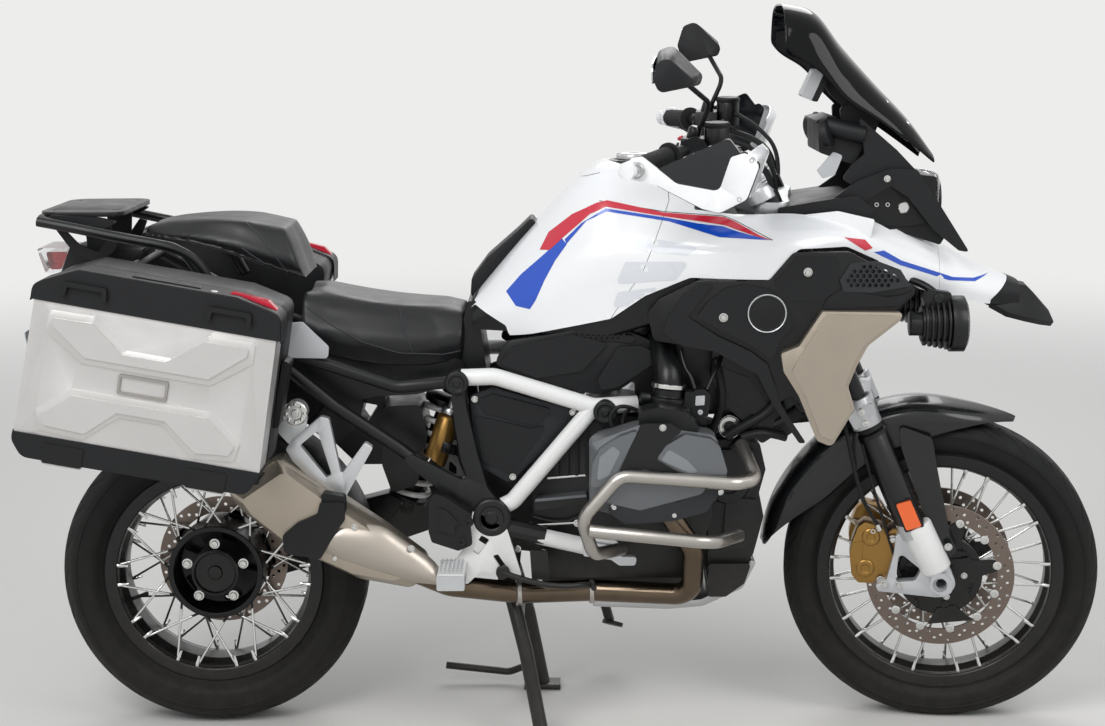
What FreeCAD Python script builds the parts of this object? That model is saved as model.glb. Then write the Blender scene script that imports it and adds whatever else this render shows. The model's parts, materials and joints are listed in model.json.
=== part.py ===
"""Adventure motorcycle standing on its centre stand, in millimetres.

+X is forward, +Y left and +Z up. The origin is on the floor, below the middle of the box round the
whole machine. The driving sizes are cells of the sheet "sizes". The steered pieces are drawn with
the bars straight ahead and then turned together about the steering axis to where the bars rest.
"""
import FreeCAD
import Part

import math
import os
import types

Vector = FreeCAD.Vector
Rotation = FreeCAD.Rotation
Placement = FreeCAD.Placement

SIZES = (
    # alias, value, what it is
    ("wheelbase", 1525, "front axle to rear axle"),
    ("front_axle_x", 795, "front axle ahead of the origin, bars straight"),
    ("front_radius", 325, "front tyre, outside"),
    ("front_width", 120, "front tyre"),
    ("front_bead", 243, "front tyre, bead seat radius"),
    ("rear_radius", 318, "rear tyre, outside"),
    ("rear_width", 170, "rear tyre"),
    ("rear_bead", 217, "rear tyre, bead seat radius"),
    ("rear_lift", 6, "rear tyre off the floor on the centre stand"),
    ("rim_wall", 6, "thickness of the rim's well"),
    ("rim_lip", 12, "height of the rim's lip over the bead seat"),
    ("spoke_radius", 2.6, "wire spoke"),
    ("spoke_pairs", 10, "pairs of crossed spokes on each side of a wheel"),
    ("front_disc", 152.5, "front brake disc, outside radius"),
    ("disc_thick", 5, "brake disc"),
    ("disc_band", 33, "width of the disc's braking band"),
    ("front_disc_y", 62, "middle of a front disc from the wheel's middle"),
    ("rear_disc", 138, "rear brake disc, outside radius"),
    ("rear_disc_y", 66, "rear disc, left of the wheel's middle"),
    ("disc_gap", 2.5, "running gap between a disc and its caliper"),
    ("front_hub", 34, "front hub, radius between its flanges"),
    ("rear_hub", 100, "rear hub, radius of its ring"),
    ("axle_radius", 12.5, "front axle"),
    ("axle_gap", 0.6, "clearance between the axle and what turns on it"),
    ("rake", 25.7, "steering axis from the vertical, degrees"),
    ("trail", 100.6, "trail on the floor"),
    ("rest_steer", 7.95, "bars turned to the right at rest, degrees"),
    ("fork_y", 105, "fork leg from the middle"),
    ("fork_angle", 23.9, "fork leg from the vertical, degrees"),
    ("fork_offset", 12, "axle ahead of the fork leg's line, level"),
    ("fork_top", 1132, "height of the top of the fork tubes"),
    ("stanchion", 21, "fork tube, radius"),
    ("slider", 29, "fork slider, radius"),
    ("slider_low", 425, "height where the slider meets its cast foot"),
    ("slider_top", 640, "height of the slider's top"),
    ("foot_bore", 11, "hole through the hollow axle's end"),
    ("bar_half", 425, "half the handlebar's width, less its end weights"),
    ("bar_radius", 11, "handlebar at the grips"),
    ("grip_radius", 17, "grip"),
    ("grip_length", 118, "grip"),
    ("crank_half", 150, "half the engine block's width"),
    ("head_y", 360, "outer face of a cylinder head cover"),
    ("bar_guard_y", 390, "outer side of an engine guard"),
    ("guard_tube", 13, "engine guard tube, radius"),
    ("frame_tube", 17, "main frame tube, radius"),
    ("frame_y", 185, "main frame tube from the middle"),
    ("case_inner", 252, "case's inner face from the middle"),
    ("case_split", 395, "case's joint from the middle"),
    ("case_outer", 478, "case's outer face from the middle"),
    ("case_wall", 4, "case wall"),
    ("case_long", 462, "case, along its lower edge"),
    ("case_high", 362, "case, square to its lower edge"),
    ("case_tilt", 10.3, "case nose-down, degrees"),
    ("case_gap", 0.6, "gap in the case's joint"),
    ("case_relief", 3, "raised pattern on a case's outer face"),
    ("hinge_drop", 3, "case hinge's pin below the case"),
    ("knuckle", 5, "case hinge knuckle, radius"),
    ("skin", 6, "bodywork panel"),
    ("panel_gap", 0.5, "gap between neighbouring panels and seats"),
    ("pin_gap", 0.3, "gap between the two halves of a turning joint"),
    ("joint_pin", 16, "steering joint's pins, radius"),
    ("seat_half", 165, "half the rider seat's width"),
    ("rack_tube", 9, "luggage rack tube, radius"),
    ("rack_top", 1094, "height of the rack's plate"),
    ("stand_spread", 165, "centre stand foot from the middle"),
    ("stand_tube", 15, "centre stand leg, radius"),
    ("screen_thick", 6, "windscreen"),
    ("muffler_inner", 150, "muffler's inner side from the middle"),
    ("muffler_outer", 262, "muffler's outer side from the middle"),
    ("pipe_radius", 22, "exhaust header, radius"),
)


def make_sheet(doc):
    """Writes the sizes into a spreadsheet and returns them, read back, by name."""
    sheet = doc.addObject("Spreadsheet::Sheet", "sizes")
    for row, (alias, value, note) in enumerate(SIZES, start=1):
        sheet.set("A%d" % row, str(value))
        sheet.setAlias("A%d" % row, alias)
        sheet.set("B%d" % row, note)
    doc.recompute()
    return types.SimpleNamespace(**{row[0]: float(sheet.get(row[0])) for row in SIZES})


DOC = FreeCAD.newDocument("adventure_motorcycle")
S = make_sheet(DOC)
PARTS = {}
REAR_AXLE = Vector(S.front_axle_x - S.wheelbase, 0, S.rear_radius + S.rear_lift)
FRONT_AXLE = Vector(S.front_axle_x, 0, S.front_radius)
STEER_FOOT = Vector(S.front_axle_x + S.trail, 0, 0)
STEER_AXIS = Vector(-math.sin(math.radians(S.rake)), 0, math.cos(math.radians(S.rake)))
SIDE_STAND = Vector(40, 172, 356)
SIDE_STAND_AXIS = Vector(-0.0295, 0.9061, 0.422).normalize()
CAP_HINGE = (190, 1187.3)  # x and z of the fuel cap's hinge pin
BIG = 3000.0  # longer than anything here, for cutting tools


# ---------------------------------------------------------------- drawing helpers

def bind(thing, **expressions):
    """Binds properties to expressions in the sheet's aliases, such as Length="sizes.skin"."""
    for name, expression in expressions.items():
        thing.setExpression(name.replace("__", "."), expression)


def rounded(points, closed=True):
    """Lines and tangent arcs through corners (a, b) or (a, b, radius), as curves in a plane."""
    corners = [Vector(p[0], p[1], 0) for p in points]
    radii = [p[2] if len(p) > 2 else 0.0 for p in points]
    return bent([(c, r) for c, r in zip(corners, radii)], closed)


def bent(corners, closed=False):
    """Lines and tangent arcs through (corner, radius) in space; a radius fits its two runs."""
    count = len(corners)
    ends = []
    for i, (corner, radius) in enumerate(corners):
        before, after = corners[i - 1][0], corners[(i + 1) % count][0]
        if radius <= 0 or (not closed and i in (0, count - 1)):
            ends.append((corner, None, corner))
            continue
        back, ahead = (before - corner), (after - corner)
        turn = math.pi - back.getAngle(ahead)
        room = 0.48 * min(back.Length, ahead.Length)
        set_back = min(radius * math.tan(turn / 2), room)
        if set_back < 1e-3:
            ends.append((corner, None, corner))
            continue
        back.normalize()
        ahead.normalize()
        true_radius = set_back / math.tan(turn / 2)
        to_middle = (back + ahead).normalize()
        reach = true_radius / math.cos(turn / 2) - true_radius
        ends.append((corner + back * set_back, corner + to_middle * reach, corner + ahead * set_back))
    curves = []
    for i, (start, middle, end) in enumerate(ends):
        if middle is not None:
            curves.append(Part.Arc(start, middle, end))
        if i < count - 1 or closed:
            following = ends[(i + 1) % count][0]
            if (following - end).Length > 1e-6:
                curves.append(Part.LineSegment(end, following))
    return curves


def ring(a, b, radius):
    """One full circle for a sketch."""
    return [Part.Circle(Vector(a, b, 0), Vector(0, 0, 1), radius)]


def new_body(label):
    body = DOC.addObject("PartDesign::Body", "Body")
    body.Label = label
    return body


def sketch(body, role, loops, offset=None):
    """A sketch on one of the body's own planes; offset is an expression along the plane's normal."""
    planes = {feature.Role: feature for feature in body.Origin.OriginFeatures}
    drawing = body.newObject("Sketcher::SketchObject", "Sketch")
    drawing.AttachmentSupport = [(planes[role], "")]
    drawing.MapMode = "FlatFace"
    for loop in loops:
        for curve in loop:
            drawing.addGeometry(curve)
    if offset is not None:
        bind(drawing, AttachmentOffset__Base__z=str(offset))
    return drawing


def plate(label, role, loops, start, length, body=None):
    """A body padded from a sketch that starts at an expression along the plane's normal."""
    body = body or new_body(label)
    drawing = sketch(body, role, loops, start)
    pad = body.newObject("PartDesign::Pad", "Pad")
    pad.Profile = drawing
    bind(pad, Length=str(length))
    return body


def lathe(label, profile, body=None):
    """A body turned about Y: the profile's corners are (y, radius, corner radius)."""
    body = body or new_body(label)
    drawing = sketch(body, "YZ_Plane", [rounded(profile)])
    turned = body.newObject("PartDesign::Revolution", "Revolution")
    turned.Profile = drawing
    turned.ReferenceAxis = (drawing, ["H_Axis"])
    turned.Angle = 360
    return body


def pocket(body, role, loops, offset=0):
    """Cuts a sketch right through the body, both ways from its plane."""
    drawing = sketch(body, role, loops, offset)
    cut = body.newObject("PartDesign::Pocket", "Pocket")
    cut.Profile = drawing
    cut.Type = "ThroughAll"
    cut.Midplane = True
    return cut


def around_y(body, feature, count):
    """Repeats a feature evenly about the body's Y axis; count is an expression."""
    axes = {item.Role: item for item in body.Origin.OriginFeatures}
    pattern = body.newObject("PartDesign::PolarPattern", "PolarPattern")
    pattern.Originals = [feature]
    pattern.Axis = (axes["Y_Axis"], [""])
    pattern.Angle = 360
    bind(pattern, Occurrences=str(count))
    body.Tip = pattern
    return pattern


def loft(label, role, sections, ruled=False):
    """A body lofted through outlines: each section is (offset along the normal, corners)."""
    body = new_body(label)
    drawings = [sketch(body, role, [rounded(points)], offset) for offset, points in sections]
    feature = body.newObject("PartDesign::AdditiveLoft", "Loft")
    feature.Profile = drawings[0]
    feature.Sections = drawings[1:]
    feature.Ruled = ruled
    return body


def shrunk(points, share):
    """An outline drawn in towards its own middle."""
    a, b = (sum(p[i] for p in points) / len(points) for i in (0, 1))
    return [(a + (p[0] - a) * share, b + (p[1] - b) * share, *p[2:]) for p in points]


def solid(label, shape):
    """A feature that holds a shape made with Part's own functions."""
    feature = DOC.addObject("Part::Feature", "Shape")
    feature.Label = label
    feature.Shape = shape
    return feature


def tube(label, corners, radius):
    """A round bar swept along lines and arcs; corners are (x, y, z, bend radius)."""
    route = [(Vector(*corner[:3]), corner[3] if len(corner) > 3 else 0.0) for corner in corners]
    spine = solid(label + " line", Part.Wire([curve.toShape() for curve in bent(route)]))
    circle = DOC.addObject("Part::Circle", "Circle")
    bind(circle, Radius=str(radius))
    start, ahead = route[0][0], route[1][0] - route[0][0]
    circle.Placement = Placement(start, Rotation(Vector(0, 0, 1), ahead))
    sweep = DOC.addObject("Part::Sweep", "Sweep")
    sweep.Label = label
    sweep.Sections = [circle]
    sweep.Spine = (spine, [])
    sweep.Solid = True
    sweep.Frenet = False
    return sweep


def rod(label, start, end, radius):
    """A straight round bar between two points, as a cylinder."""
    start, end = Vector(*start), Vector(*end)
    bar = DOC.addObject("Part::Cylinder", "Cylinder")
    bar.Label = label
    bind(bar, Radius=str(radius))
    bar.Height = (end - start).Length
    bar.Placement = Placement(start, Rotation(Vector(0, 0, 1), end - start))
    return bar


def box(label, low, high):
    """An upright box between two corners."""
    block = DOC.addObject("Part::Box", "Box")
    block.Label = label
    block.Length, block.Width, block.Height = (high[i] - low[i] for i in range(3))
    block.Placement = Placement(Vector(*low), Rotation())
    return block


def fused(label, pieces):
    joined = DOC.addObject("Part::MultiFuse", "Fusion")
    joined.Label = label
    joined.Shapes = pieces
    joined.Refine = False
    return joined


def common(label, first, second):
    """What two solids share."""
    shared = DOC.addObject("Part::Common", "Common")
    shared.Label = label
    shared.Base, shared.Tool = first, second
    shared.Refine = False
    return shared


def cut(label, base, tool):
    less = DOC.addObject("Part::Cut", "Cut")
    less.Label = label
    less.Base, less.Tool = base, tool
    less.Refine = False
    return less


def grouped(label, pieces):
    """Solids that share a node without touching."""
    group = DOC.addObject("Part::Compound", "Compound")
    group.Label = label
    group.Links = pieces
    return group


def mirrored(label, piece):
    """The left-hand copy of a right-hand piece."""
    other = DOC.addObject("Part::Mirroring", "Mirroring")
    other.Label = label
    other.Source = piece
    other.Normal = Vector(0, 1, 0)
    return other


def both_sides(label, piece):
    piece.Label = label + " right"
    return grouped(label, [piece, mirrored(label + " left", piece)])


def move(piece, base, axis=(0, 0, 1), angle=0.0):
    """Puts a piece at a point, turned about an axis through its own origin."""
    piece.Placement = Placement(Vector(*base), Rotation(Vector(*axis), angle))
    return piece


def placed(label, piece, base):
    """A piece moved to a point, while the piece itself stays where others were fitted to it."""
    group = grouped(label + " in place", [piece])
    group.Placement = Placement(base, Rotation())
    return group


def node(label, piece):
    """Registers a finished piece under the name of its file."""
    piece.Label = label
    PARTS[label] = piece
    return piece


def steered_node(label, piece):
    """Registers a piece drawn with the bars straight, turned to where they rest.

    The piece itself stays straight ahead, so that others can still be cut to fit it.
    """
    piece.Label = label + " straight"
    turned = grouped(label, [piece])
    turned.Placement = Placement(Vector(), Rotation(STEER_AXIS, -S.rest_steer), STEER_FOOT)
    node(label, turned)
    return piece


# ---------------------------------------------------------------- wheels

def wheel_set(name, radius, width, bead, hub_flanges):
    """Tyre, rim and laced hub of one wheel about Y, with its middle at the origin.

    hub_flanges is a table of (y where a spoke leaves the hub, its radius there, y at the rim).
    """
    half, seat = width / 2, 0.36 * width
    tyre = lathe(name + " tyre", [
        (-seat, bead), (-seat, bead + S.rim_lip + 3, 6), (-half, bead + 0.34 * (radius - bead), 24),
        (-half, radius - 0.27 * (radius - bead), 26), (-0.62 * half, radius, 34),
        (0.62 * half, radius, 34), (half, radius - 0.27 * (radius - bead), 26),
        (half, bead + 0.34 * (radius - bead), 24), (seat, bead + S.rim_lip + 3, 6), (seat, bead)])
    lip = seat + S.rim_wall
    rim = lathe(name + " rim", [
        (-seat, bead), (-seat, bead + S.rim_lip, 1), (-lip, bead + S.rim_lip, 2),
        (-lip, bead - 14, 5), (-seat + 10, bead - 16, 6), (-0.4 * seat, bead - 24, 10),
        (0.4 * seat, bead - 24, 10), (seat - 10, bead - 16, 6), (lip, bead - 14, 5),
        (lip, bead + S.rim_lip, 2), (seat, bead + S.rim_lip, 1), (seat, bead)])
    pairs = int(S.spoke_pairs)
    wires = []
    for y_hub, r_hub, y_rim in hub_flanges:
        for pair in range(pairs):
            for lean in (-1, 1):
                at_hub = math.radians(360 / pairs * (pair + 0.5 * (y_hub > 0)) + lean * 4)
                at_rim = at_hub + lean * math.radians(26)
                r_rim = bead - 13
                wires.append(rod("spoke", (r_hub * math.cos(at_hub), y_hub, r_hub * math.sin(at_hub)),
                                 (r_rim * math.cos(at_rim), y_rim, r_rim * math.sin(at_rim)),
                                 "sizes.spoke_radius"))
    return tyre, rim, wires


def front_wheel():
    hub = lathe("front hub", [
        (-52, S.axle_radius + S.axle_gap), (-52, 42, 3), (-34, 42, 6), (-33, 56, 2), (-26, 56, 2),
        (-20, S.front_hub, 8), (20, S.front_hub, 8), (26, 56, 2), (33, 56, 2), (34, 42, 6), (52, 42, 3),
        (52, S.axle_radius + S.axle_gap)])
    seat = 0.36 * S.front_width
    tyre, rim, wires = wheel_set(
        "front", S.front_radius, S.front_width, S.front_bead,
        ((-29, 50, -38), (29, 50, 38)))
    laced = cut("front spokes", fused("front laced", [hub] + wires), rim)
    discs = []
    for side in (-1, 1):
        middle = side * S.front_disc_y
        thick = S.disc_thick / 2
        band = lathe("band", [(middle - thick, S.front_disc - S.disc_band), (middle - thick, S.front_disc),
                              (middle + thick, S.front_disc), (middle + thick, S.front_disc - S.disc_band)])
        inner, outer = sorted((side * 52, middle + side * thick))
        carrier = lathe("carrier", [(inner, 40), (inner, 62), (middle - thick, 78), (middle - thick, 124),
                                    (middle + thick, 124), (middle + thick, 40)] if side > 0 else
                        [(outer, 40), (middle - thick, 40), (middle - thick, 124), (middle + thick, 124),
                         (middle + thick, 78), (outer, 62)])
        windows = pocket(carrier, "XZ_Plane", [rounded([(62, -16, 6), (112, -30, 8), (112, 30, 8), (62, 16, 6)])])
        around_y(carrier, windows, 6)
        discs.append(fused("disc", [band, carrier]))
    pieces = {"front_tyre": tyre, "front_rim": rim, "front_spokes": laced,
              "front_discs": grouped("front discs", discs)}
    for label, piece in pieces.items():
        steered_node(label, placed(label, piece, FRONT_AXLE))


def rear_wheel():
    seat = 0.36 * S.rear_width
    tyre, rim, wires = wheel_set(
        "rear", S.rear_radius, S.rear_width, S.rear_bead,
        ((-40, S.rear_hub - 4, -seat - 1), (40, S.rear_hub - 4, seat + 1)))
    hub = lathe("rear hub", [
        (-46, S.rear_hub - 12, 2), (-46, S.rear_hub, 3), (46, S.rear_hub, 3), (46, 40, 3),
        (60, 40, 3), (60, 0), (34, 0), (34, 52, 4), (30, S.rear_hub - 12, 6)])
    windows = pocket(hub, "XZ_Plane", [rounded([(50, -14, 5), (82, -22, 6), (82, 22, 6), (50, 14, 5)])])
    around_y(hub, windows, 5)
    laced = cut("rear spokes", fused("rear laced", [hub] + wires), rim)
    middle, thick = S.rear_disc_y, S.disc_thick / 2
    disc = lathe("rear disc", [
        (60, 40), (60, 72), (middle - thick, 80), (middle - thick, S.rear_disc),
        (middle + thick, S.rear_disc), (middle + thick, 40)])
    pieces = {"rear_tyre": tyre, "rear_rim": rim, "rear_spokes": laced, "rear_disc": disc}
    for label, piece in pieces.items():
        node(label, placed(label, piece, REAR_AXLE))


# ---------------------------------------------------------------- front end

JOINT_HEIGHTS = (684, 1080)  # lower faces of the two steering joints on the yokes


def fork_point(height, lateral=0.0, ahead=0.0):
    """A point on a fork leg's middle line at a height, bars straight."""
    rise = height - FRONT_AXLE.z
    x = FRONT_AXLE.x - S.fork_offset - rise * math.tan(math.radians(S.fork_angle)) + ahead
    return (x, lateral, height)


def steer_point(height, along=0.0):
    """A point on the steering axis at a height, or further along it."""
    return Vector(STEER_FOOT.x - height * math.tan(math.radians(S.rake)), 0, height) + STEER_AXIS * along


def front_end():
    y = -S.fork_y
    tubes = both_sides("fork tubes", rod("stanchion", fork_point(S.slider_low + 40, y),
                                         fork_point(S.fork_top, y), "sizes.stanchion"))
    steered_node("fork_tubes", tubes)
    slider = rod("slider", fork_point(S.slider_low, y), fork_point(S.slider_top, y), "sizes.slider")
    foot = plate("foot", "XZ_Plane", [rounded([
        (720, 436, 6), (700, 424, 6), (697, 384, 20), (684, 328, 10), (661, 316, 5), (667, 303, 6),
        (784, 294, 20), (808, 296, 20), (826, 322, 22), (814, 352, 20), (796, 384, 12), (756, 446, 8)])],
        "sizes.fork_y - 13", 24)
    pocket(foot, "XZ_Plane", [rounded([(707, 390, 8), (754, 352, 10), (742, 328, 8), (702, 324, 6)])])
    axle_line = [(FRONT_AXLE.x, lateral, FRONT_AXLE.z) for lateral in (-BIG, BIG)]
    boss = rod("boss", (FRONT_AXLE.x, y - 13, FRONT_AXLE.z), (FRONT_AXLE.x, y + 30, FRONT_AXLE.z), 25)
    cast = fused("cast leg", [slider, foot, boss])
    pin = rod("pin", (FRONT_AXLE.x, -(S.fork_y + 15), FRONT_AXLE.z),
              (FRONT_AXLE.x, S.fork_y + 15, FRONT_AXLE.z), "sizes.axle_radius")
    cast_left = mirrored("cast left", cast)
    legs = cut("fork legs", fused("legs and axle", [cast, cast_left, pin]),
               fused("leg bores", [tubes, rod("axle hole", *axle_line, "sizes.foot_bore")]))
    steered_node("fork_legs", legs)

    yokes = [rod("clamp", fork_point(656, side * S.fork_y), fork_point(712, side * S.fork_y), 31)
             for side in (-1, 1)]
    yokes += [rod("joint", steer_point(height), steer_point(height, 16), "sizes.joint_pin")
              for height in JOINT_HEIGHTS]
    for height, thick, rear in ((690, 22, 24), (1092, 22, 26)):
        axis_x = STEER_FOOT.x - height * math.tan(math.radians(S.rake))
        fork_x = fork_point(height)[0]
        yokes.append(plate("yoke", "XY_Plane", [rounded([
            (axis_x - rear, 34, 20), (fork_x - 32, S.fork_y + 24, 26), (fork_x + 28, S.fork_y + 28, 28),
            (fork_x + 22, 40, 30), (fork_x + 22, -40, 30), (fork_x + 28, -S.fork_y - 28, 28),
            (fork_x - 32, -S.fork_y - 24, 26), (axis_x - rear, -34, 20)])], height, thick))
    steered_node("fork_yokes", cut("yokes", fused("yokes", yokes), tubes))

    bar = tube("bar", ((188, -S.bar_half, 1220), (286, -232, 1238, 60), (338, -120, 1182, 60), (346, 0, 1178, 200),
                       (338, 120, 1182, 60), (286, 232, 1238, 60), (188, S.bar_half, 1220)), "sizes.bar_radius")
    risers = [box("riser", (326, side * 48 - 14, 1114), (366, side * 48 + 14, 1198)) for side in (-1, 1)]
    controls = []
    for side in (-1, 1):
        low, high = sorted((side * 262, side * 212))
        controls.append(box("controls", (262, low, 1200), (308, high, 1256)))
        controls.append(rod("reservoir", (330, side * 240, 1226), (330, side * 240, 1278), 24))
    bars = fused("bar and clamps", [bar] + risers + controls)
    steered_node("handlebar", bars)
    end = Vector(188, -S.bar_half, 1220)
    way = (Vector(286, -232, 1238) - end).normalize()
    grip = rod("grip", end + way * 9, end + way * S.grip_length, "sizes.grip_radius")
    steered_node("grips", cut("hand grips", both_sides("grips", grip), bars))

    arm = plate("guard arm", "XZ_Plane", [rounded([
        (172, 1222, 8), (182, 1240, 10), (203, 1243, 10), (231, 1222, 14), (266, 1194, 20), (345, 1180, 14),
        (366, 1244, 10), (392, 1252, 10), (419, 1230, 14), (396, 1166, 16), (346, 1140, 18), (314, 1148, 20),
        (231, 1190, 20), (180, 1202, 8)])], "sizes.bar_half + 2", 8)
    deflector = plate("deflector", "XZ_Plane", [rounded([
        (226, 1216, 6), (305, 1250, 20), (362, 1276, 10), (384, 1246, 8), (368, 1196, 8), (301, 1176, 14),
        (250, 1196, 10)])], "sizes.bar_half - 3", 5)
    weight = rod("weight", end - way * 30, end - way * 12, 17)
    shield = loft("shield", "XZ_Plane", [
        ("sizes.bar_half + 2", [(364, 1158, 4), (388, 1166, 10), (416, 1242, 10), (392, 1254, 4), (402, 1240, 8), (380, 1172, 8)]),
        (330, [(392, 1150, 4), (408, 1164, 10), (434, 1242, 10), (412, 1262, 4), (422, 1242, 8), (398, 1168, 8)]),
        (236, [(396, 1176, 4), (406, 1186, 10), (424, 1232, 10), (410, 1244, 4), (414, 1230, 8), (396, 1188, 8)])])
    guards = cut("hand guards", both_sides("guards", fused("guard", [arm, weight, deflector, shield])), bars)
    steered_node("hand_guards", guards)

    mirror = loft("mirror", "XZ_Plane", [
        (340, [(226, 1350, 14), (303, 1366, 10), (309, 1384, 12), (252, 1440, 18), (226, 1430, 14), (213, 1388, 16)]),
        (462, [(236, 1362, 14), (294, 1374, 10), (299, 1386, 12), (252, 1426, 18), (233, 1418, 14), (224, 1388, 16)])])
    stem = tube("mirror stem", ((286, -236, 1250), (318, -250, 1322, 30), (268, -388, 1384)), 5)
    steered_node("mirrors", cut("mirrors", both_sides("mirrors", fused("mirror", [mirror, stem])), bars))
    mudguard(legs)
    calipers(legs)


def mudguard(legs):
    """A curved blade over the tyre between two arcs about the axle, with legs down the fork."""
    gap, thick, half = 38, 5, 73
    inner, outer = S.front_radius + gap, S.front_radius + gap + thick
    middle = FRONT_AXLE + Vector(-8, 0, 3)
    blade = lathe("blade", [(-half, inner - 46, 4), (-half, inner - 6, 20), (-half + 30, outer, 30),
                            (half - 30, outer, 30), (half, inner - 6, 20), (half, inner - 46, 4),
                            (half - thick, inner - 46, 4), (half - thick, inner - 10, 18),
                            (half - 34, inner, 26), (-half + 34, inner, 26), (-half + thick, inner - 10, 18),
                            (-half + thick, inner - 46, 4)])
    move(blade, middle)
    front, back = math.radians(68), math.radians(196)
    fan = [(FRONT_AXLE.x, FRONT_AXLE.z)]
    for step in range(7):
        angle = front + (back - front) * step / 6
        fan.append((FRONT_AXLE.x + 600 * math.cos(angle), FRONT_AXLE.z + 600 * math.sin(angle)))
    sector = plate("sector", "XZ_Plane", [rounded(fan)], -200, 400)
    leg = plate("mudguard leg", "XZ_Plane", [rounded([
        (688, 656, 8), (704, 676, 8), (762, 680, 10), (772, 626, 40), (802, 490, 30), (815, 453, 12),
        (820, 404, 12), (808, 384, 8), (790, 366, 8), (780, 384, 6), (742, 489, 30)])], "sizes.fork_y - 21", 8)
    root = plate("leg root", "XZ_Plane", [rounded([
        (700, 652, 8), (712, 676, 8), (764, 678, 8), (768, 640, 8)])], 70, "sizes.fork_y - 13 - 70")
    wings = both_sides("mudguard legs", fused("leg and root", [leg, root]))
    whole = fused("blade and legs", [common("blade between", blade, sector), wings])
    steered_node("front_mudguard", cut("mudguard", whole, legs))


def calipers(legs):
    caliper = plate("caliper", "XZ_Plane", [rounded([
        (637, 444, 8), (678, 432, 10), (695, 403, 10), (688, 366, 12), (676, 334, 10), (656, 312, 8),
        (626, 312, 8), (612, 330, 10), (607, 372, 12), (612, 400, 10), (623, 432, 8)])],
        "sizes.front_disc_y - 17", 47)
    half = S.disc_thick / 2 + S.disc_gap
    slot = lathe("slot", [(-S.front_disc_y - half, 20), (-S.front_disc_y - half, S.front_disc + 6),
                          (-S.front_disc_y + half, S.front_disc + 6), (-S.front_disc_y + half, 20)])
    move(slot, FRONT_AXLE)
    bracket = plate("bracket", "XZ_Plane", [rounded([
        (670, 410, 6), (696, 430, 8), (716, 430, 6), (705, 396, 8), (699, 340, 8), (690, 320, 6), (664, 308, 5)])],
        "sizes.fork_y - 26", 13)
    whole = both_sides("calipers", fused("caliper", [cut("slotted", caliper, slot), bracket]))
    steered_node("calipers", cut("fitted calipers", whole, legs))


# ---------------------------------------------------------------- engine and frame

MUFFLER_SIDE = [(-300, 345, 24), (-262, 392, 24), (-352, 462, 20), (-477, 548, 20), (-563, 612, 14), (-611, 579, 8),
                (-664, 543, 8), (-639, 507, 10), (-562, 443, 14), (-482, 402, 20), (-406, 365, 20)]


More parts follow.
